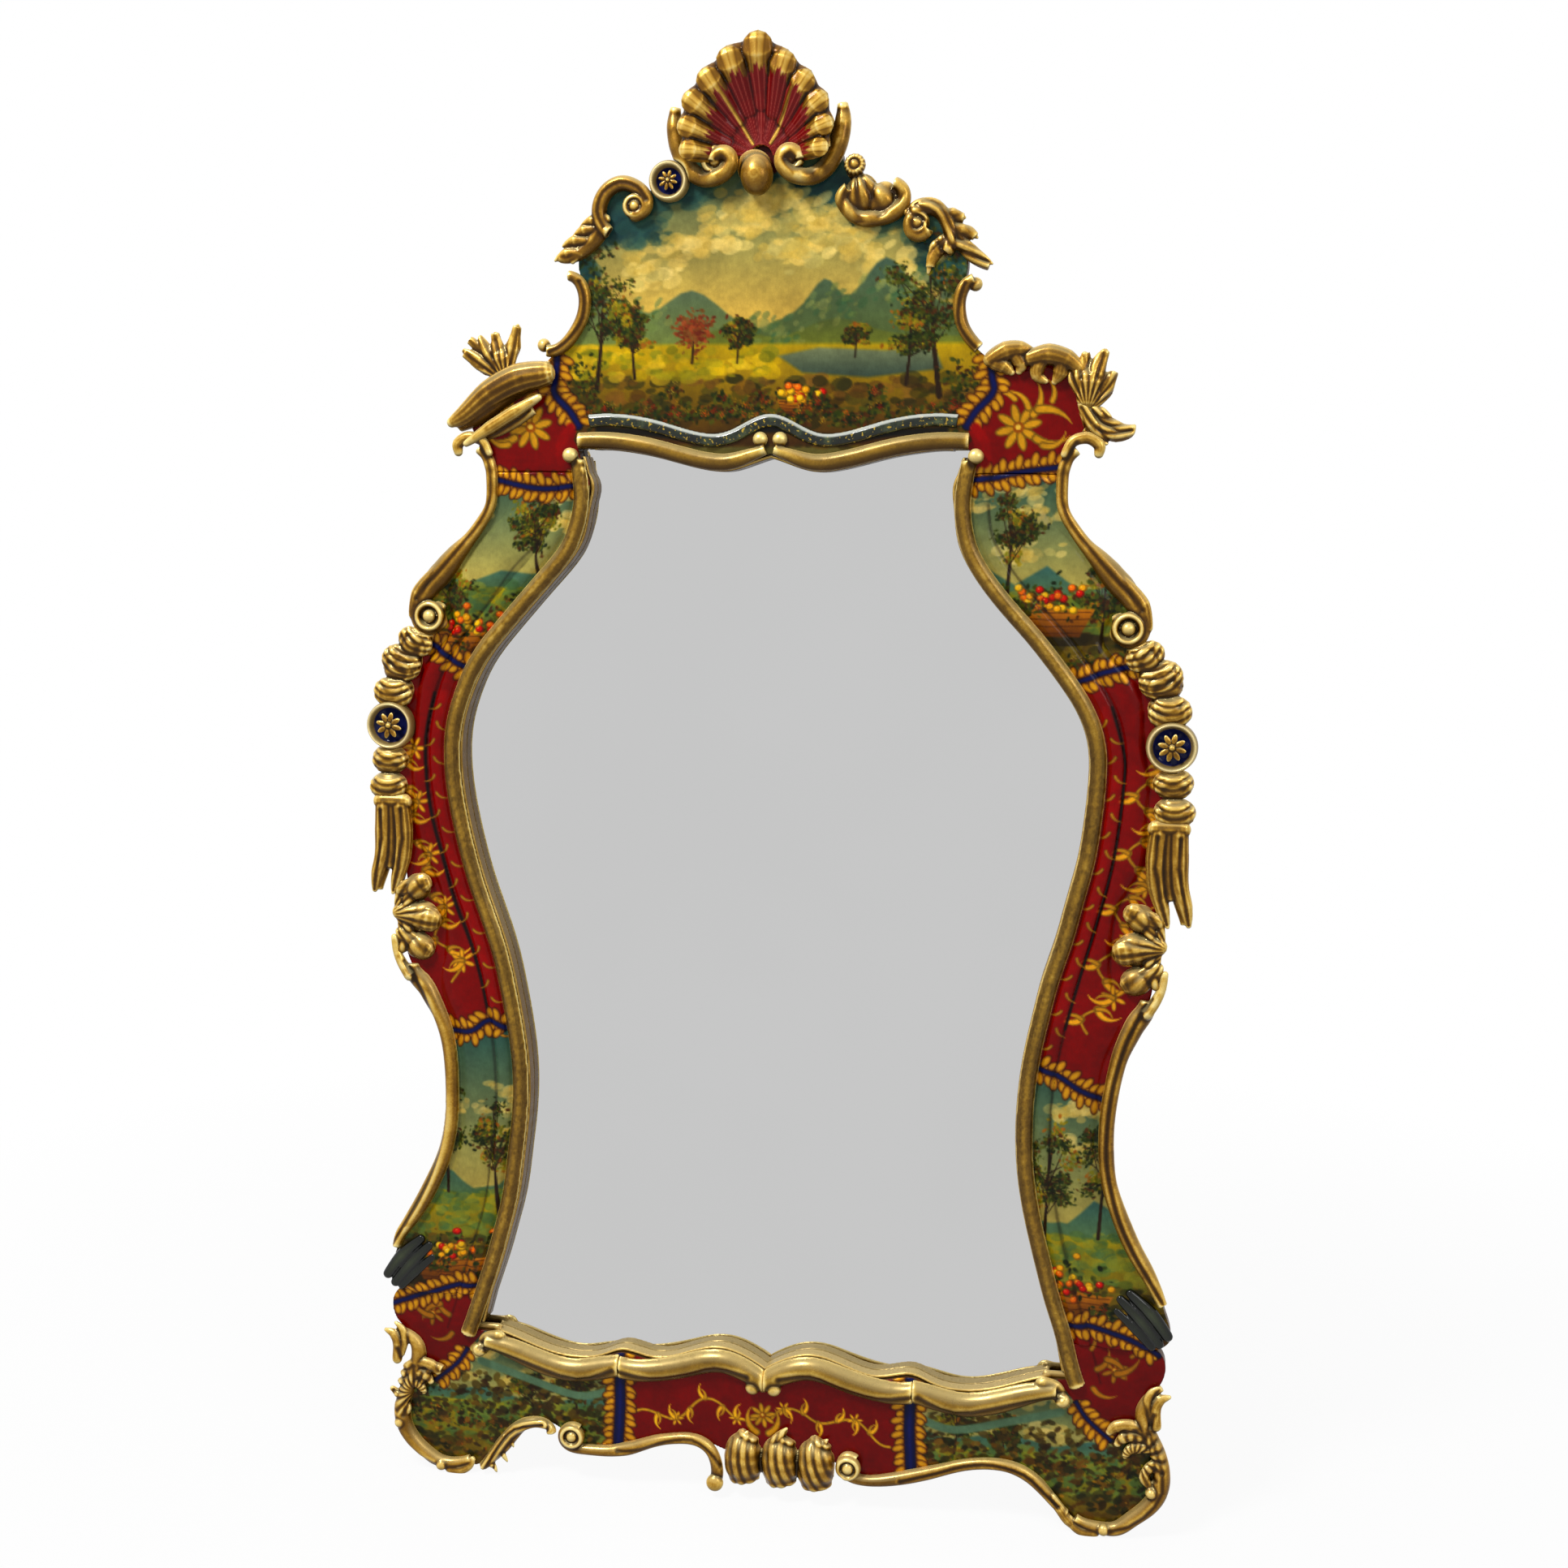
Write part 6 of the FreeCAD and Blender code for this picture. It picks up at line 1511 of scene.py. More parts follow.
    def build(self) -> PaintCanvas:
        """Paints everything in order.

        Returns:
            The finished sheet.
        """
        self.crest()
        for side in Side:
            self.vignettes(side)
        for side in Side:
            self.fields(side)
        self.centre()
        for side in Side:
            self.bands(side)
        self.canvas.weather(0.15)
        self.canvas.deepen(1.30, 0.96)
        LOG.info("painting: %d by %d cells", self.canvas.columns, self.canvas.rows)
        return self.canvas


# Carving


class Cut(Enum):
    """How the carver's gouge crosses a form."""

    ACROSS = "ribs across the run"
    ALONG = "flutes along the run"
    GROOVE = "one groove along the run"
    RAYS = "flutes out from a point"


@dataclass(frozen=True)
class Carving:
    """One set of gouge cuts over a part of an ornament."""

    cut: Cut
    line: Line
    pitch: float
    depth: float
    reach: float = 60.0
    bow: float = 0.0

    def weights(self, points: np.ndarray, normals: np.ndarray) -> np.ndarray:
        """How deep the gouge goes at each vertex, from 0 to 1.

        Args:
            points: across, out and up for each vertex.
            normals: the vertex normals in the frame.

        Returns:
            One weight for each vertex.
        """
        across, up = points[:, 0], points[:, 2]
        face = np.clip((-normals[:, 1] + 0.25) * 2.2, 0.0, 1.0)
        if self.cut is Cut.RAYS:
            (cx, cz), (tx, tz) = self.line[0], self.line[-1]
            length = math.hypot(tx - cx, tz - cz)
            distance = np.hypot(across - cx, up - cz)
            angle = np.arctan2(up - cz, across - cx) - math.atan2(tz - cz, tx - cx)
            angle = (angle + math.pi) % math.tau - math.pi
            wave = 0.5 - 0.5 * np.cos(angle * math.tau / self.pitch)
            within = np.clip((distance - 0.10 * length) / (0.25 * length), 0, 1)
            within *= np.clip((self.reach - distance) / 4.0, 0, 1)
            return wave ** 1.5 * within * face
        run, beside = along(self.line, across, up)
        within = np.clip((self.reach - np.abs(beside)) / 3.0, 0, 1)
        if self.cut is Cut.ACROSS:
            phase = (run + self.bow * (beside / max(self.reach, 1.0)) ** 2) / self.pitch
            wave = (0.5 - 0.5 * np.cos(phase * math.tau)) ** 1.6
        elif self.cut is Cut.ALONG:
            wave = (0.5 - 0.5 * np.cos(beside / self.pitch * math.tau + math.pi)) ** 1.4
        else:
            wave = np.exp(-(beside / self.pitch) ** 2)
        return wave * within * face


def join_parts(parts: Sequence[Piece]) -> Piece:
    """Joins parts into the first of them.

    Args:
        parts: mesh objects whose places are in their meshes.

    Returns:
        The joined object.
    """
    deselect_all()
    for part in parts:
        part.select_set(True)
    bpy.context.view_layer.objects.active = parts[0]
    if len(parts) > 1:
        bpy.ops.object.join()
    return parts[0]


def oval(spot: Vector, reach: Point, deep: float, turn: float, pivot: Vector,
         rounds: tuple[int, int] = (28, 18)) -> Piece:
    """An oval solid turned in the plane of the wall.

    Args:
        spot: its middle before it is turned.
        reach: half its length and half its width in millimetres.
        deep: half its depth in millimetres.
        turn: the turn in radians.
        pivot: the point that it is turned about.
        rounds: its segments and rings.

    Returns:
        The solid.
    """
    deselect_all()
    bpy.ops.mesh.primitive_uv_sphere_add(segments=rounds[0], ring_count=rounds[1], radius=1.0,
                                         location=spot)
    solid = bpy.context.object
    shape_all(solid, bpy.ops.transform.resize, value=(reach[0] * MM, deep * MM, reach[1] * MM))
    keep_place()
    shape_all(solid, bpy.ops.transform.rotate, value=turn, orient_axis="Y", center_override=pivot)
    return solid


@dataclass(frozen=True)
class Lobe:
    """A rounded leaf or knob of a carving, grown along a short line."""

    start: Point
    end: Point
    half: float
    out: float = 41.0
    deep: float = 8.0

    def build(self) -> Piece:
        """Builds the lobe as a stretched and turned round form."""
        (ax, az), (bx, bz) = self.start, self.end
        middle = place(0.5 * (ax + bx), 0.5 * (az + bz), self.out)
        stretch = max(0.5 * math.hypot(bx - ax, bz - az) + 0.55 * self.half, self.half)
        return oval(middle, (stretch, self.half), self.deep, math.atan2(bz - az, bx - ax), middle)


@dataclass(frozen=True)
class Limb:
    """A leaf, arm or roll that swells and tapers along a curved line."""

    line: Line
    halves: tuple[float, ...]
    out: float | tuple[float, ...] = 40.0
    deep: float = 0.8
    cuts: int = 5

    def build(self) -> Piece:
        """Draws the limb as a round curve of changing width, then flattens it in depth."""
        line = smooth_line(self.line, self.cuts)
        places = np.linspace(0.0, 1.0, len(line))
        knots = np.linspace(0.0, 1.0, len(self.halves))
        halves = np.interp(places, knots, self.halves)
        outs = (self.out,) * len(self.halves) if isinstance(self.out, float) else self.out
        depths = np.interp(places, np.linspace(0.0, 1.0, len(outs)), outs)
        rounded = self.round_ends(line, halves, depths)
        data = bpy.data.curves.new("limb", "CURVE")
        data.dimensions = "3D"
        data.bevel_depth = 1.0
        data.bevel_resolution = 4
        data.use_fill_caps = True
        spline = data.splines.new("POLY")
        spline.points.add(len(rounded) - 1)
        for point, (across, up, out, half) in zip(spline.points, rounded):
            point.co = (*place(across, up, out / self.deep), 1.0)
            point.radius = half * MM
        limb = bpy.data.objects.new("limb", data)
        bpy.context.scene.collection.objects.link(limb)
        activate(limb)
        bpy.ops.object.convert(target="MESH")
        limb = bpy.context.object
        shape_all(limb, bpy.ops.transform.resize, value=(1.0, self.deep, 1.0),
                  center_override=(0.0, 0.0, 0.0))
        return limb

    def round_ends(self, line: Line, halves: np.ndarray,
                   depths: np.ndarray) -> list[tuple[float, float, float, float]]:
        """Adds short steps at both ends so that they close in a dome.

        Args:
            line: the limb's middle line.
            halves: its half width at each point.
            depths: its place out at each point.

        Returns:
            Across, up, out and half width for each point.
        """
        rows = [(x, z, out, half) for (x, z), out, half in zip(line, depths, halves)]
        for end, inner, index in ((0, 1, 0), (-1, -2, len(rows))):
            (x, z, out, half), (bx, bz, _, _) = rows[end], rows[inner]
            length = math.hypot(x - bx, z - bz) or 1.0
            ux, uz = (x - bx) / length, (z - bz) / length
            domes = [(x + ux * half * run, z + uz * half * run, out, half * wide)
                     for run, wide in ((0.5, 0.87), (0.85, 0.53), (0.98, 0.15))]
            if index == 0:
                rows = [*reversed(domes), *rows]
            else:
                rows = [*rows, *domes]
        return rows


@dataclass(frozen=True)
class Ring:
    """The turned rim of a volute, with the round eye in its middle."""

    centre: Point
    radius: float
    eye: float
    out: float = 41.0
    rim: float = 4.2

    def build(self) -> Piece:
        """Builds the rim and its eye."""
        middle = place(*self.centre, self.out)
        deselect_all()
        bpy.ops.mesh.primitive_torus_add(
            major_segments=48, minor_segments=14, major_radius=(self.radius - self.rim) * MM,
            minor_radius=self.rim * MM, location=middle, rotation=(math.pi / 2, 0, 0))
        rim = bpy.context.object
        activate(rim)
        keep_place()
        shape_all(rim, bpy.ops.transform.resize, value=(1.0, 1.7, 1.0), center_override=middle)
        eye = Lobe(self.centre, self.centre, self.eye, self.out + 1.0, self.eye * 0.9).build()
        floor = Lobe(self.centre, self.centre, self.radius - self.rim, self.out - 4.5,
                     3.0).build()
        return join_parts((rim, eye, floor))


@dataclass(frozen=True)
class Work:
    """What the carver does to one ornament: forms grown on it, then gouge cuts."""

    carvings: tuple[Carving, ...] = ()
    growth: tuple["Lobe | Limb | Ring", ...] = ()
    voxel: float = 1.15
    gain: float = 0.22

    def build(self, node: str, name: str) -> Piece:
        """Carves a merged copy of a CAD ornament.

        Args:
            node: the CAD node that is carved.
            name: the piece's name.

        Returns:
            The carved piece, with its relief stored.
        """
        voxel = self.voxel * 1.0
        piece = worked_copy(node, name, voxel, [form.build() for form in self.growth])
        for carving in self.carvings:
            weights = carving.weights(template_points(piece), vertex_normals(piece))
            displace(piece, weights, -carving.depth)
        mark_relief(piece, 14, self.gain)
        return piece


def build_gilt(works: dict[str, Work], finish: Finish) -> None:
    """Builds, dresses and attaches gilt ornaments.

    Args:
        works: the carver's work for each CAD node.
        finish: the gilding.
    """
    for node, work in works.items():
        piece = work.build(node, "carved_" + node)
        dress(piece, finish)
        settle(piece, (node,))


@dataclass
class PaintedBoards:
    """The two stiles and the two boards between them, with their painting."""

    shelf: FinishShelf
    canvas: PaintCanvas
    voxels: dict[str, float] = field(default_factory=lambda: {
        "left_stile": 1.5, "right_stile": 1.5, "crest_board": 1.7, "bottom_board": 1.6})
    bole: Colour = (92, 62, 34)
    wood: Colour = (150, 116, 74)
    back_share: float = 0.12
    swell: float = 0.3
    shoulder: tuple[Limb, ...] = (
        Limb(((272, 1452), (300, 1462), (330, 1462), (368, 1446)), (10.0, 13.0, 14.0, 9.0), 23.0,
             0.8),
    )

    def build(self) -> None:
        """Builds the four painted pieces."""
        for node, voxel in self.voxels.items():
            grown = [limb.build() for limb in self.shoulder] if node == "crest_board" else []
            piece = worked_copy(node, "painted_" + node, voxel, grown)
            displace(piece, np.ones(len(piece.data.vertices)), self.swell)
            normals = vertex_normals(piece)
            behind = np.clip((normals[:, 1] + 0.15) * 3.0, 0.0, 1.0)
            weight_group(piece, "behind", behind)
            apply_modifier(piece, "DECIMATE", ratio=self.ratio(behind), vertex_group="behind",
                           vertex_group_factor=1.0)
            piece.vertex_groups.clear()
            self.paint(piece)
            dress(piece, self.shelf.painted)
            settle(piece, (node,))

    def ratio(self, behind: np.ndarray) -> float:
        """The share of faces that stays when only the back is thinned."""
        return 1.0 - (1.0 - self.back_share) * float(np.mean(behind > 0.5))

    def paint(self, piece: Piece) -> None:
        """Reads the painting onto a piece; its back and edges are bare gesso and bole.

        Args:
            piece: the board to paint.
        """
        points = template_points(piece)
        normals = vertex_normals(piece)
        colours, gilt = self.canvas.read(points[:, 0], points[:, 2])
        front = np.clip((-normals[:, 1] - 0.05) * 4.0, 0.0, 1.0)
        back = np.clip((normals[:, 1] - 0.4) * 4.0, 0.0, 1.0)
        edge = blend(tint(self.bole), tint(self.wood), back)
        write_colours(piece, "paint", blend(edge, colours, front))
        write_values(piece, "gilt", gilt * front)
        # The relief sets the painted shade in the boards' hollows and grooves.
        mark_relief(piece, 8, 0.16)


def limbs(rows: Rows, out: float = 40.0, deep: float = 0.8, sign: int = 1) -> tuple[Limb, ...]:
    """Limbs from rows of a middle line and its half widths, turned over where the sign is -1."""
    return tuple(Limb([(sign * x, z) for x, z in line], halves, out, deep)
                 for line, halves in rows)


@dataclass
class SideOrnaments:
    """The gilt lips, discs, drops, rocailles and corner scrolls down one side.

    The lines are those of the right-hand side, and are turned over for the left.
    """

    side: Side
    shelf: FinishShelf
    upper: Line = ((370, 1374), (356, 1348), (354, 1318), (357, 1300), (368, 1277), (386, 1255),
                   (404, 1234), (424, 1212), (442, 1194), (452, 1180))
    upper_end: Rows = (
        (((388, 1252), (412, 1226), (434, 1204), (449, 1184), (456, 1160)), (5, 8, 11, 13, 10)),
    )
    upper_start: Rows = (
        (((357, 1362), (366, 1377), (383, 1381), (396, 1373), (396, 1363)), (6, 7, 7.5, 7.5, 6)),
    )
    lower: Line = ((478, 707), (468, 688), (458, 668), (449, 645), (441, 615), (435, 585),
                   (431, 545), (431, 500), (438, 460), (450, 420), (468, 382), (490, 345),
                   (508, 316))
    lower_start: Rows = (
        (((494, 738), (491, 720), (484, 704), (474, 688)), (4.5, 5.5, 7, 8)),
    )
    disc_lines: tuple[Line, ...] = (
        ((449, 1137), (467, 1111)), ((471, 1113), (483, 1081)), ((488, 1079), (490, 1037)),
        ((494, 988), (498, 952)), ((498, 953), (500, 919)),
    )
    # Each disc's place across and up, its width, height and how far its right end is raised.
    discs: tuple[tuple[float, ...], ...] = (
        (458, 1124, 47, 35, 3), (477, 1097, 54, 43, 3), (489, 1058, 53, 39, 1),
        (496, 970, 47, 33, 0), (499, 936, 49, 33, 0),
    )
    drop_folds: tuple[Line, ...] = (((480, 908), (478, 870), (485, 830), (494, 800)),
                                    ((507, 906), (506, 870), (514, 830), (520, 800)))
    drop_limbs: Rows = (
        (((478, 917), (508, 917)), (11, 11)),
        (((482, 912), (479, 880), (481, 846), (489, 816), (495, 797)), (12.5, 13, 12, 8.5, 3)),
        (((504, 912), (505, 880), (507, 848), (515, 822), (520, 800)), (12.5, 13, 12, 9.5, 4)),
        (((493, 912), (493, 870), (497, 836)), (10, 10, 8)),
    )
    rocaille_limbs: Rows = (
        (((484, 802), (455, 811)), (9, 14)),
        (((484, 772), (447, 764)), (12, 18)),
        (((484, 744), (453, 724)), (9, 13)),
        (((486, 812), (488, 780), (484, 750), (493, 719)), (5, 5.5, 5, 2.5)),
    )
    scroll: Line = ((500, 172), (494, 152), (504, 124), (513, 98), (514, 70), (505, 50),
                    (492, 34), (474, 20), (452, 12))
    scroll_limbs: Rows = (
        (((503, 156), (501, 178), (507, 191), (518, 196)), (7, 8, 7, 3)),
        (((498, 164), (492, 186), (496, 200), (504, 207)), (6, 6.5, 5, 2.5)),
        (((490, 146), (472, 154), (454, 151), (446, 143)), (6, 8, 8, 5)),
        (((494, 136), (478, 141), (464, 137), (456, 128)), (6, 8, 8, 4.5)),
        (((498, 124), (484, 127), (472, 122), (466, 113)), (6, 8, 7, 4)),
        (((510, 112), (497, 100), (491, 86), (497, 76)), (5, 7, 7, 5)),
        (((430, 7), (416, 7), (405, 13), (399, 22)), (8, 8, 7, 4.5)),
    )
    scroll_bosses: tuple[tuple[float, ...], ...] = ((500, 67, 7.5), (442, 12, 8.0))

    def disc_rows(self) -> Rows:
        """The middle line and half widths of each disc of the chain."""
        return tuple((((x - 0.5 * wide + 0.5 * high, z - lean),
                       (x + 0.5 * wide - 0.5 * high, z + lean)), (0.5 * high, 0.5 * high))
                     for x, z, wide, high, lean in self.discs)

    def works(self) -> dict[str, Work]:
        """The carver's work on each ornament of the side."""
        s = self.side.value
        upper, lower = (smooth_line(self.side.turn(line), 3)
                        for line in (self.upper, self.lower))
        return {
            "upper_lip": Work(
                (Carving(Cut.GROOVE, upper, 3.6, 1.3, 9.0),),
                (*limbs(self.upper_end, 41.0, 0.6, s), *limbs(self.upper_start, 41.0, 0.8, s),
                 Ring((s * 437.0, 1157.0), 20.0, 8.5, 43.0))),
            "disc_chain": Work(
                tuple(Carving(Cut.ACROSS, self.side.turn(line), 9.5, 0.9, 30.0, 14.0)
                      for line in self.disc_lines),
                limbs(self.disc_rows(), 41.0, 0.45, s)),
            "lower_lip": Work((Carving(Cut.GROOVE, lower, 3.8, 1.5, 9.0),),
                              limbs(self.lower_start, 41.0, 0.9, s), 1.25),
            "drop": Work(
                tuple(Carving(Cut.GROOVE, self.side.turn(line), 3.0, 1.6, 9.0)
                      for line in self.drop_folds),
                limbs(self.drop_limbs, 40.0, 0.75, s)),
            "side_rocaille": Work(
                (Carving(Cut.RAYS, self.side.turn(((500, 768), (440, 768))), 0.29, 1.1, 90.0),),
                limbs(self.rocaille_limbs, 41.0, 0.6, s)),
            "corner_scroll": Work(
                (Carving(Cut.RAYS, self.side.turn(((478, 112), (452, 150))), 0.40, 1.2, 42.0),
                 Carving(Cut.GROOVE, self.side.turn(self.scroll), 3.2, 1.4, 9.0)),
                (*limbs(self.scroll_limbs, 40.0, 0.75, s),
                 *(Lobe((s * x, z), (s * x, z), half, 42.0, 8.0)
                   for x, z, half in self.scroll_bosses))),
        }

    def build(self) -> None:
        """Builds every gilt ornament of the side."""
        works = {f"{self.side.word}_{form}": work for form, work in self.works().items()}
        build_gilt(works, self.shelf.gilding)


@dataclass
class CrestOrnaments:
    """The gilt scrolls, edgings, leaves and rolls of the crest and shoulders."""

    shelf: FinishShelf
    left_edge: Line = ((-237, 1568), (-231, 1550), (-233, 1525), (-246, 1505), (-262, 1491),
                       (-276, 1484))
    right_edge: Line = ((234, 1560), (228, 1540), (227, 1515), (239, 1495), (253, 1482),
                        (268, 1475))
    hook: Line = ((-205, 1632), (-213, 1650), (-206, 1672), (-185, 1684), (-163, 1678),
                  (-152, 1664))
    hook_leaves: Rows = (
        (((-206, 1641), (-222, 1640), (-235, 1634)), (5, 7, 2)),
        (((-214, 1630), (-232, 1629), (-245, 1621)), (5, 7, 2)),
        (((-226, 1616), (-244, 1617), (-258, 1611)), (5, 7, 2)),
        (((-236, 1602), (-254, 1602), (-268, 1594)), (5, 7, 2)),
        (((-204, 1642), (-222, 1618), (-246, 1592)), (6, 6, 3)),
    )
    leaf_line: Line = ((176, 1650), (196, 1640), (208, 1618), (222, 1600), (262, 1585))
    leaf_limbs: Rows = (
        (((165, 1644), (180, 1653), (198, 1650), (212, 1632), (214, 1612), (206, 1598)),
         (6, 7, 8, 8, 7, 4)),
        (((204, 1640), (218, 1641), (232, 1636)), (5, 7, 2)),
        (((211, 1625), (230, 1622), (247, 1613)), (5, 7, 2)),
        (((212, 1608), (236, 1602), (265, 1583)), (6, 8, 2)),
        (((206, 1612), (196, 1604), (192, 1592)), (5, 5, 2)),
        (((206, 1602), (194, 1590), (190, 1573)), (5, 5, 2)),
    )
    roll_limbs: Rows = (
        (((-284, 1458), (-316, 1452), (-352, 1434), (-384, 1409), (-402, 1399)),
         (16, 19, 18, 13, 7)),
        (((-290, 1429), (-320, 1412), (-352, 1393), (-384, 1373)), (5, 8.5, 8.5, 4.5)),
    )
    left_palm: Rows = (
        (((-332, 1458), (-326, 1488), (-317, 1516)), (8, 10, 3)),
        (((-334, 1458), (-342, 1484), (-346, 1506)), (8, 11, 4)),
        (((-336, 1460), (-355, 1482), (-365, 1502)), (8, 11, 4)),
        (((-338, 1462), (-366, 1474), (-386, 1486)), (8, 10, 4)),
        (((-336, 1458), (-358, 1464), (-376, 1471)), (7, 8, 3)),
        (((-332, 1452), (-338, 1476)), (12, 15)),
    )
    right_palm: Rows = (
        (((379, 1430), (372, 1452), (376, 1478)), (11, 12, 3.5)),
        (((384, 1430), (388, 1456), (399, 1480)), (11, 13, 5)),
        (((388, 1434), (398, 1448), (410, 1456)), (9, 8, 3)),
        (((376, 1432), (365, 1448), (361, 1462)), (9, 8, 3)),
        (((381, 1428), (382, 1446)), (14, 17)),
    )
    shoulder_line: Line = ((374, 1416), (392, 1392), (412, 1386), (434, 1390))
    shoulder_limbs: Rows = (
        (((266, 1472), (284, 1482), (302, 1484), (317, 1481)), (9, 12, 10, 3)),
        (((272, 1468), (282, 1464), (291, 1457)), (9, 9, 4)),
        (((296, 1476), (302, 1466), (300, 1458)), (9, 8, 4)),
        (((314, 1474), (334, 1478), (356, 1472), (373, 1460)), (10, 13, 12, 6)),
        (((330, 1474), (322, 1464), (322, 1453), (331, 1447)), (8, 9, 8, 4)),
        (((350, 1468), (348, 1456), (342, 1446)), (10, 9, 4)),
        (((376, 1420), (388, 1396), (404, 1375)), (7, 10, 3)),
        (((384, 1414), (398, 1410), (411, 1400)), (6, 7, 2.5)),
        (((392, 1398), (412, 1384), (430, 1386), (436, 1395)), (7, 8, 6, 2.5)),
    )

    def scrolls(self) -> dict[str, Work]:
        """The carver's work on the scrolls and edgings of the crest."""
        left_edge, right_edge, hook, leaf = (
            smooth_line(line, 3)
            for line in (self.left_edge, self.right_edge, self.hook, self.leaf_line))
        return {
            "crest_edging_left": Work((Carving(Cut.GROOVE, left_edge, 3.2, 1.2, 8.0),)),
            "crest_edging_right": Work((Carving(Cut.GROOVE, right_edge, 3.2, 1.2, 8.0),)),
            "crest_scroll_left": Work((Carving(Cut.GROOVE, hook, 3.2, 1.4, 8.0),),
                                      (*limbs(self.hook_leaves), Ring((-167, 1656), 15.5, 8.0))),
            "crest_rocaille": Work(
                (Carving(Cut.RAYS, ((101, 1699), (120, 1640)), 0.42, 2.0, 72.0),),
                (Ring((101, 1699), 13.0, 7.5),)),
            "crest_leaf_scroll": Work((Carving(Cut.ALONG, leaf, 11.0, 1.2, 20.0),),
                                      (*limbs(self.leaf_limbs), Ring((176, 1631), 15.0, 8.0))),
        }

    def shoulders(self) -> dict[str, Work]:
        """The carver's work on the rolls, palmettes and leaves of the shoulders."""
        leaf = smooth_line(self.shoulder_line, 3)
        return {
            "left_shoulder_roll": Work((), limbs(self.roll_limbs, 45.0, 0.75), 1.3),
            "left_palmette": Work(
                (Carving(Cut.RAYS, ((-331, 1446), (-352, 1500)), 0.24, 1.3, 76.0),),
                limbs(self.left_palm, 40.0, 0.6)),
            "right_palmette": Work(
                (Carving(Cut.RAYS, ((381, 1410), (390, 1478)), 0.22, 1.4, 84.0),),
                limbs(self.right_palm, 40.0, 0.65)),
            "right_shoulder_leaves": Work((Carving(Cut.ALONG, leaf, 9.0, 1.2, 22.0),),
                                          limbs(self.shoulder_limbs)),
        }

    def build(self) -> None:
        """Builds the gilt ornaments of the crest."""
        build_gilt({**self.scrolls(), **self.shoulders()}, self.shelf.gilding)


@dataclass
class FootOrnaments:
    """The gilt edge and rocaille under the bottom board."""

    shelf: FinishShelf
    right: Line = ((182, 51), (228, 67), (263, 80), (300, 85), (340, 76), (366, 54), (384, 38))
    right_end: Rows = ((((376, 48), (386, 34), (397, 19), (410, 9)), (6, 7, 7, 5)),)
    left: Line = ((-196, 56), (-165, 60), (-130, 75), (-95, 81), (-70, 66), (-56, 48))
    strand: Line = ((-382, 8), (-362, 44), (-338, 72), (-300, 82))
    strand_leaves: Rows = (
        (((-378, 22), (-370, 16), (-365, 8)), (4, 4.5, 1.5)),
        (((-366, 40), (-357, 34), (-350, 24)), (4, 4.5, 1.5)),
        (((-352, 60), (-346, 56), (-341, 46)), (4, 4.5, 1.5)),
    )
    rocaille_tips: Rows = (
        (((-34, 72), (-30, 86), (-21, 98)), (9, 7.5, 2)),
        (((14, 74), (20, 92), (31, 107)), (10, 8.5, 2.5)),
        (((68, 72), (74, 86), (85, 97)), (9, 7.5, 2)),
    )

    def works(self) -> dict[str, Work]:
        """The carver's work on each ornament of the foot."""
        right, left, strand = (smooth_line(line, 3) for line in (self.right, self.left, self.strand))
        return {
            "bottom_edge_left": Work(
                (Carving(Cut.GROOVE, left, 3.2, 1.1, 8.0),
                 Carving(Cut.ALONG, strand, 9.0, 1.4, 16.0)),
                (Ring((-259, 69.5), 17.0, 8.0), Lobe((-64, 24), (-64, 24), 11.5, 42.0, 9.0),
                 *limbs(self.strand_leaves))),
            "bottom_edge_right": Work((Carving(Cut.GROOVE, right, 3.2, 1.1, 8.0),),
                                      limbs(self.right_end)),
            "bottom_rocaille": Work(
                (Carving(Cut.ACROSS, ((-46, 44), (102, 78)), 12.5, 1.2, 44.0, -9.0),),
                (Ring((113, 63), 17.0, 8.5, 44.0), *limbs(self.rocaille_tips))),
        }

    def build(self) -> None:
        """Builds the gilt ornaments of the foot."""
        build_gilt(self.works(), self.shelf.gilding)


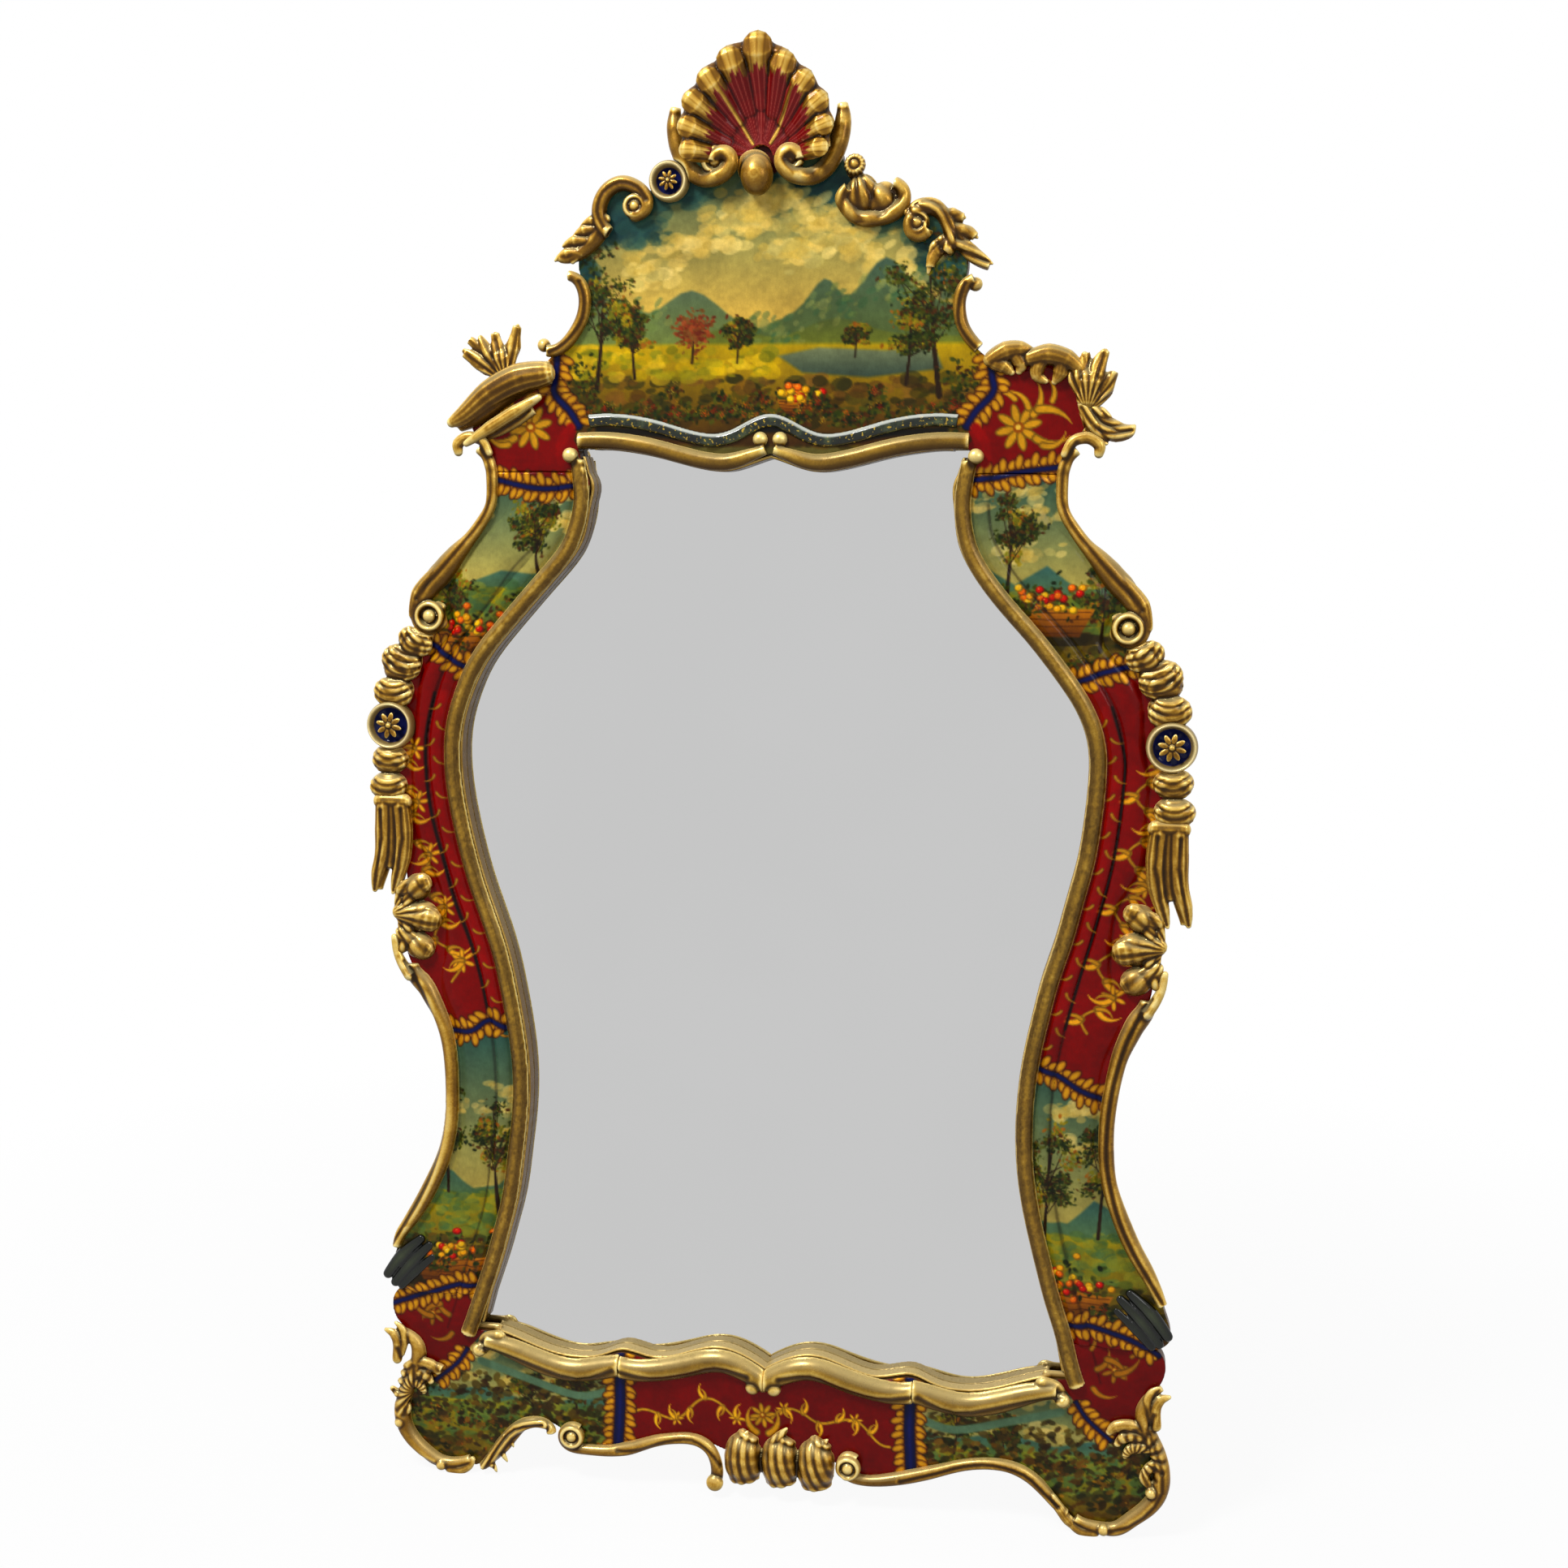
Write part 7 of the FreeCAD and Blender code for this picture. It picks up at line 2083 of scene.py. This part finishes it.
@dataclass
class Mouldings:
    """The gilt sight mouldings and slips round the glass, and the bead over the top one.

    The bottom moulding's parts each have a scroll: a roll, a neck that leads into it and an eye.
    """

    shelf: FinishShelf
    voxel: float = 1.6
    bead_voxel: float = 1.4
    eye: float = 9.5
    top_eye: Point = (251, 1359)
    top_neck: Line = ((239, 1322), (241, 1342), (248, 1356))
    scrolls: tuple[tuple[str, Line, Line, Point], ...] = (
        ("outer", ((385, 186), (320, 168), (250, 150), (203, 168)),
         ((362, 196), (377, 194), (385, 184)), (386, 180)),
        ("inner", ((22, 176), (63, 182), (100, 170), (150, 160), (195, 168)),
         ((24, 180), (14, 174), (12, 164)), (14, 161)),
    )
    slip_end: Rows = ((((364, 206), (394, 206)), (5.5, 5.5)),)

    def scroll_eye(self, place_right: Point, sign: int) -> Lobe:
        """The round eye of a scroll, turned over where the sign is -1."""
        spot = (sign * place_right[0], place_right[1])
        return Lobe(spot, spot, self.eye, 42.0, 8.0)

    def works(self) -> dict[str, Work]:
        """The work on each sight moulding."""
        works: dict[str, Work] = {}
        for side in Side:
            s = side.value
            neck = limbs(((self.top_neck, (7, 8.5, 6.5)),), 38.0, 0.7, s)
            works[f"{side.word}_sight_moulding"] = Work(
                (), (self.scroll_eye(self.top_eye, s), *neck), self.voxel)
            works[f"top_sight_moulding_{side.word}"] = Work((), (), self.voxel)
            for part, roll, neck_line, eye in self.scrolls:
                groove = smooth_line([(s * x, z) for x, z in roll], 3)
                neck = limbs(((neck_line, (12, 9.5, 6)),), 37.0, 0.7, s)
                works[f"bottom_sight_moulding_{part}_{side.word}"] = Work(
                    (Carving(Cut.GROOVE, groove, 4.2, 2.2, 9.0),),
                    (self.scroll_eye(eye, s), *neck), self.voxel)
        return works

    def build(self) -> None:
        """Builds the mouldings."""
        build_gilt(self.works(), self.shelf.moulding)
        for word in ("left", "right", "top", "bottom"):
            signs = (-1, 1) if word == "bottom" else ()
            ends = [limbs(self.slip_end, 24.5, sign=sign)[0].build() for sign in signs]
            piece = worked_copy(f"{word}_slip", f"gilt_{word}_slip", self.voxel, ends)
            mark_relief(piece, 6)
            dress(piece, self.shelf.slip)
            settle(piece, (f"{word}_slip",))
        bead = worked_copy("crest_bead", "polished_crest_bead", self.bead_voxel)
        dress(bead, self.shelf.bead)
        settle(bead, ("crest_bead",))


# Shell


@dataclass
class Shell:
    """The scallop at the top, its two volutes and the ball between them."""

    shelf: FinishShelf
    hub: Point = (-12.0, 1710.0)
    reach: float = 139.0
    spans: tuple[float, ...] = (0.62, 0.70, 0.76, 0.80, 0.87, 1.0, 0.92, 0.85, 0.81, 0.74, 0.68)
    first_angle: float = 4.0
    last_angle: float = 176.0
    # Each lobe is a limb: how far out its points lie, how wide it is there and how deep it sinks.
    tip_shares: tuple[float, ...] = (0.44, 0.60, 0.75, 0.865)
    tip_halves: tuple[float, ...] = (0.094, 0.118, 0.134, 0.136)
    tip_dips: tuple[float, ...] = (0.34, -0.04, 0.0, 0.17)
    tip_deep: float = 0.36
    red: Colour = (108, 5, 8)
    red_side: float = 60.0
    red_rise: float = 38.0
    rays: tuple[Line, ...] = (((-22, 1726), (-61, 1790)), ((0, 1726), (28, 1783)))

    def build(self) -> None:
        """Builds the shell's pieces."""
        self.scallop()
        build_gilt({
            "shell_scroll_left": Work((), (Ring((-66, 1706), 17.5, 8.0, 50.0),), 1.1),
            "shell_scroll_right": Work((), (Ring((24, 1707), 18.0, 8.5, 50.0),), 1.1),
            "shell_ball": Work((), (Lobe((-19.5, 1699), (-19.5, 1697), 21.0, 44.0, 14.0),), 1.0),
        }, self.shelf.gilding)

    def angles(self) -> np.ndarray:
        """The direction of each lobe, in radians."""
        return np.radians(np.linspace(self.first_angle, self.last_angle, len(self.spans)))

    def tips(self) -> tuple[Limb, ...]:
        """The rounded lobes, laid on the bowl from half its reach to its rim."""
        bowl = template_points(frame["nodes"]["shell"])
        tips = []
        for angle, span in zip(self.angles(), self.spans):
            far = span * self.reach
            line, outs = [], []
            for share in self.tip_shares:
                x = self.hub[0] + share * far * math.cos(angle)
                z = self.hub[1] + share * far * math.sin(angle)
                near = np.hypot(bowl[:, 0] - x, bowl[:, 2] - z)
                outs.append(float(bowl[near < max(6.0, float(near.min()) + 1.0), 1].max()))
                line.append((x, z))
            halves = tuple(part * far for part in self.tip_halves)
            sunk = tuple(out - dip * half for out, half, dip in zip(outs, halves, self.tip_dips))
            tips.append(Limb(line, halves, sunk, self.tip_deep))
        return tuple(tips)

    def scallop(self) -> None:
        """Carves the fluted bowl, paints its red heart between gilt rays, and paints light and shade
        on its gilt.
        """
        piece = Work((), self.tips(), 1.15, 0.30).build("shell", "carved_shell")
        points = template_points(piece)
        across, up = points[:, 0] - self.hub[0], points[:, 2] - self.hub[1]
        distance, angle = np.hypot(across, up), np.arctan2(up, across)
        relief = np.empty(len(points), np.float32)
        piece.data.attributes["relief"].data.foreach_get("value", relief)
        step = math.radians(self.last_angle - self.first_angle) / (len(self.spans) - 1)
        turn = (angle - math.radians(self.first_angle)) / step * math.tau
        fine = 0.5 + 0.5 * np.cos(turn * 4)
        # Painted light and shade on the gilt: lighter down each lobe, darker between lobes and in
        # thin painted flute lines, and by relief.
        height = 0.50 + 0.45 * (relief - 0.5) + 0.13 * np.cos(turn) - 0.12 * fine ** 4
        stops = Gilding().stops
        heights = [stop[0] for stop in stops]
        gold = np.stack([np.interp(height, heights, [linear(stop[1])[band] for stop in stops])
                         for band in range(3)], axis=1)
        outer = np.clip((distance - 70.0) / 55.0, 0, 1)
        gold = blend(gold, tint((120, 74, 16)), 0.4 * outer)
        edge = self.red_side + self.red_rise * np.clip(np.sin(angle), 0, 1) ** 2
        ragged = 4.0 * np.cos(turn) + 3.0 * np.sin(turn * 3.0) + 2.0 * np.sin(turn * 7.0 + 1.0)
        red = np.clip((edge + ragged - distance) / 3.0, 0, 1)
        for ray in self.rays:
            _, beside = along(ray, points[:, 0], points[:, 2])
            red *= np.clip((np.abs(beside) - 1.6) / 1.2, 0, 1)
        lacquer = tint(self.red) + (fine ** 8)[:, None] * tint((196, 100, 84)) * 0.3
        red *= np.clip(-4.0 * vertex_normals(piece)[:, 1] - 0.2, 0, 1)
        write_colours(piece, "paint", blend(gold, lacquer, red))
        write_values(piece, "gilt", 1 - red)
        dress(piece, self.shelf.shell)
        settle(piece, ("shell",))


# Roundels

SIDE_ROUNDEL: Point = (492.7, 1016.5)
CREST_ROUNDEL: Point = (-125.0, 1685.0)


@dataclass
class Roundel:
    """A gilt ring round a navy well with a gilt flower in it."""

    node: str
    centre: Point
    radius: float
    well: float
    shelf: FinishShelf
    petals: int = 8
    facets: int = 72
    # Steps inwards and outwards, as shares of the rim or the well and of the height.
    rim_steps: Line = ((0.06, 0.18), (0.14, 0.18), (0.22, 0.12), (0.24, -0.10), (0.16, -0.20),
                       (0.10, -0.22))
    well_steps: Line = ((0.22, -0.16), (0.30, -0.06))

    def build(self) -> None:
        """Builds the ring and its flower."""
        low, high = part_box(self.node)
        back, front = -high.y / MM, -low.y / MM
        self.ring(back, front)
        self.flower(front)

    def ring(self, back: float, front: float) -> None:
        """Builds the turned ring and its well.

        Args:
            back: where it is seated, millimetres out.
            front: its highest place, millimetres out.
        """
        deselect_all()
        height = front - back
        bpy.ops.mesh.primitive_cylinder_add(
            vertices=self.facets, radius=self.radius * MM, depth=height * 0.5 * MM,
            end_fill_type="NGON", rotation=(math.pi / 2, 0, 0),
            location=place(*self.centre, back + height * 0.25))
        piece = bpy.context.object
        piece.name = "turned_" + self.node
        keep_place()
        self.select_front(piece)
        rim = self.radius - self.well
        for width, steps in ((rim, self.rim_steps), (self.well, self.well_steps)):
            for inset, rise in steps:
                bpy.ops.mesh.inset(thickness=width * inset * MM, depth=height * rise * MM)
        bpy.ops.mesh.poke()
        bpy.ops.object.mode_set(mode="OBJECT")
        apply_modifier(piece, "BEVEL", width=0.0006, segments=2, limit_method="ANGLE",
                       angle_limit=math.radians(50))
        apply_modifier(piece, "SUBSURF", levels=2, render_levels=2)
        activate(piece)
        bpy.ops.object.shade_smooth()
        points = template_points(piece)
        distance = np.hypot(points[:, 0] - self.centre[0], points[:, 2] - self.centre[1])
        navy = np.clip((self.well + 0.4 - distance) / 1.0, 0, 1)
        # Painted highlight: a pale band round the crest of the rim, over darker gold.
        crest = np.exp(-((distance - self.radius + 0.45 * rim) / (0.26 * rim)) ** 2)
        metal = blend(tint((196, 160, 84)) * 0.55, tint((240, 218, 156)), crest)
        write_colours(piece, "paint", blend(metal, tint(NAVY) * 1.2, navy))
        write_values(piece, "gilt", 1 - navy)
        write_values(piece, "relief", np.full(len(points), 0.5))
        dress(piece, self.shelf.roundel)
        settle(piece, (self.node,))

    def select_front(self, piece: Piece) -> None:
        """Selects the large face that looks out from the wall, in edit mode."""
        activate(piece)
        bpy.ops.object.mode_set(mode="EDIT")
        bpy.ops.mesh.select_mode(type="FACE")
        bpy.ops.mesh.select_all(action="DESELECT")
        bpy.ops.object.mode_set(mode="OBJECT")
        for polygon in piece.data.polygons:
            polygon.select = polygon.normal.y < -0.9
        bpy.ops.object.mode_set(mode="EDIT")

    def flower(self, front: float) -> None:
        """Builds the flower: one petal modelled and turned round the middle, and a heart.

        Args:
            front: the ring's highest place, millimetres out.
        """
        middle = place(*self.centre, front - 3.6)
        reach = self.well * 0.74
        petal = middle + Vector((reach * 0.56 * MM, 0, 0))
        parts = [oval(petal, (reach * 0.46, reach * 0.20), 2.1,
                      -number * math.tau / self.petals - 0.25, middle, (20, 12))
                 for number in range(self.petals)]
        deselect_all()
        bpy.ops.mesh.primitive_ico_sphere_add(
            subdivisions=3, radius=reach * 0.22 * MM, location=middle + Vector((0, -1.4 * MM, 0)))
        piece = join_parts([*parts, bpy.context.object])
        keep_place()
        piece.name = self.node + "_flower"
        apply_modifier(piece, "REMESH", mode="VOXEL", voxel_size=0.0006, use_smooth_shade=True)
        mark_relief(piece, 8, 0.24)
        dress(piece, self.shelf.gilding)
        settle(piece)


@dataclass
class Fin:
    """The dark green ribbed leaf tucked under the lower lip of one side."""

    side: Side
    shelf: FinishShelf
    lobes: Rows = (
        (((466, 328), (492, 304), (513, 276)), (6.0, 9.0, 7.0)),
        (((454, 320), (480, 294), (503, 265)), (6.0, 8.5, 6.5)),
        (((450, 304), (474, 282), (494, 260)), (5.0, 7.0, 5.0)),
    )
    # The pale green is painted as a highlight on the lobes' front ridges.
    dark: Colour = (9, 13, 8)
    pale: Colour = (74, 84, 52)

    def build(self) -> None:
        """Builds the fin from three lobes grown into one."""
        piece = join_parts([limb.build() for limb in limbs(self.lobes, sign=self.side.value)])
        piece.name = self.side.word + "_fin"
        apply_modifier(piece, "REMESH", mode="VOXEL", voxel_size=0.0011, use_smooth_shade=True)
        mark_relief(piece)
        points = template_points(piece)
        # Painted highlight: the lobes are paler where they stand furthest out.
        ridge = np.clip((points[:, 1] - 43.0) / 5.0, 0, 1) ** 3
        write_colours(piece, "paint", blend(tint(self.dark), tint(self.pale), ridge))
        write_values(piece, "gilt", np.zeros(len(points)))
        dress(piece, self.shelf.fin)
        settle(piece)


# Back and glass


@dataclass
class BackWork:
    """The glass and the plain work behind it, which keep their CAD shapes."""

    shelf: FinishShelf

    def build(self) -> None:
        """Dresses the CAD nodes that stay."""
        nodes = frame["nodes"]
        choices = {
            "mirror_glass": self.shelf.glass,
            "backboard": self.shelf.backboard,
            "joint_plates": self.shelf.bare_wood,
            "backboard_cleats": self.shelf.bare_wood,
            "crest_batten": self.shelf.bare_wood_level,
            "bottom_batten": self.shelf.bare_wood_level,
            "board_screws": self.shelf.screw_steel,
            "small_screws": self.shelf.screw_steel,
        }
        for side in Side:
            choices[f"{side.word}_hanger_strap"] = self.shelf.hanger_steel
            choices[f"{side.word}_hanging_ring"] = self.shelf.hanger_steel
        for name, material in choices.items():
            dress(nodes[name], material)
            LOG.info("%s: dressed", name)


# Studio


@dataclass(frozen=True)
class Lamp:
    """One soft panel of the studio light."""

    name: str
    spot: tuple[float, float, float]
    target: tuple[float, float, float]
    size: float
    watts: float

    def build(self) -> None:
        """Hangs the lamp and points it."""
        data = bpy.data.lights.new(self.name, "AREA")
        data.shape = "DISK"
        data.size = self.size
        data.energy = self.watts
        lamp = bpy.data.objects.new(self.name, data)
        lamp.location = self.spot
        way = Vector(self.target) - Vector(self.spot)
        lamp.rotation_euler = way.to_track_quat("-Z", "Y").to_euler()
        bpy.context.scene.collection.objects.link(lamp)


@dataclass
class Studio:
    """The camera of the photograph, a pale floor and soft light."""

    focal: float = 44.72
    spot: tuple[float, float, float] = (0.44918, -2.39988, -0.13136)
    yaw: float = 10.2787
    pitch: float = 8.1184
    roll: float = 0.4372
    daylight: float = 0.36
    floor_size: float = 14.0
    floor_drop: float = 0.0006
    lamps: tuple[Lamp, ...] = (
        Lamp("key_panel", (-1.3, -1.9, 2.1), (0.0, 0.0, -0.45), 0.9, 100.0),
        Lamp("fill_panel", (2.3, -2.0, 0.9), (0.0, 0.0, -0.6), 1.2, 20.0),
    )

    def build(self) -> None:
        """Sets the studio up."""
        self.camera()
        self.floor()
        self.daylight_world()
        for lamp in self.lamps:
            lamp.build()
        bpy.context.scene.view_settings.view_transform = "Standard"

    def camera(self) -> None:
        """Places the camera."""
        yaw, pitch, roll = (math.radians(v) for v in (self.yaw, self.pitch, self.roll))
        ahead = Vector((-math.sin(yaw) * math.cos(pitch), math.cos(yaw) * math.cos(pitch),
                        -math.sin(pitch)))
        right = Vector((math.cos(yaw), math.sin(yaw), 0.0))
        up = right.cross(ahead)
        turned_right = right * math.cos(roll) + up * math.sin(roll)
        turned_up = up * math.cos(roll) - right * math.sin(roll)
        data = bpy.data.cameras.new("camera")
        data.sensor_fit = "HORIZONTAL"
        data.sensor_width = 36.0
        data.lens = self.focal
        camera = bpy.data.objects.new("camera", data)
        bpy.context.scene.collection.objects.link(camera)
        matrix = camera.matrix_world.copy()
        for row in range(3):
            matrix[row][0], matrix[row][1] = turned_right[row], turned_up[row]
            matrix[row][2], matrix[row][3] = -ahead[row], self.spot[row]
        camera.matrix_world = matrix
        bpy.context.scene.camera = camera

    def floor(self) -> None:
        """Lays the floor just under the mirror."""
        deselect_all()
        bpy.ops.mesh.primitive_grid_add(x_subdivisions=8, y_subdivisions=8, size=self.floor_size,
                                        location=(0, 0, CAD_BOX[0].z - self.floor_drop))
        floor = bpy.context.object
        keep_place()
        floor.name = "studio_floor"
        dress(floor, StudioFloor().build())

    def daylight_world(self) -> None:
        """Makes the surroundings white to the eye and in gloss, and softer as a light."""
        world = bpy.data.worlds.new("daylight")
        world.use_nodes = True
        nodes, links = world.node_tree.nodes, world.node_tree.links
        nodes.clear()
        path = nodes.new("ShaderNodeLightPath")
        first, second = nodes.new("ShaderNodeMath"), nodes.new("ShaderNodeMath")
        first.operation = second.operation = "MAXIMUM"
        links.new(path.outputs["Is Camera Ray"], first.inputs[0])
        links.new(path.outputs["Is Glossy Ray"], first.inputs[1])
        links.new(first.outputs[0], second.inputs[0])
        links.new(path.outputs["Is Transmission Ray"], second.inputs[1])
        soft, white = nodes.new("ShaderNodeBackground"), nodes.new("ShaderNodeBackground")
        soft.inputs["Strength"].default_value = self.daylight
        white.inputs["Strength"].default_value = 1.0
        for background in (soft, white):
            background.inputs["Color"].default_value = (1.0, 1.0, 1.0, 1.0)
        mixer, output = nodes.new("ShaderNodeMixShader"), nodes.new("ShaderNodeOutputWorld")
        links.new(second.outputs[0], mixer.inputs[0])
        links.new(soft.outputs[0], mixer.inputs[1])
        links.new(white.outputs[0], mixer.inputs[2])
        links.new(mixer.outputs[0], output.inputs["Surface"])
        bpy.context.scene.world = world


def main() -> None:
    """Builds the mirror's looks, piece by piece, and the studio round it."""
    logging.basicConfig(level=logging.INFO, format="%(name)s %(message)s")
    shelf = FinishShelf()
    Studio().build()
    canvas = FramePainting().build()
    PaintedBoards(shelf, canvas).build()
    Mouldings(shelf).build()
    for side in Side:
        SideOrnaments(side, shelf).build()
        Fin(side, shelf).build()
        centre = side.turn((SIDE_ROUNDEL,))[0]
        Roundel(f"{side.word}_roundel", centre, radius=31.0, well=23.0, shelf=shelf).build()
    Roundel("crest_roundel", CREST_ROUNDEL, radius=24.5, well=16.0, shelf=shelf).build()
    CrestOrnaments(shelf).build()
    FootOrnaments(shelf).build()
    Shell(shelf).build()
    BackWork(shelf).build()
    deselect_all()


if __name__ == "__main__":
    main()
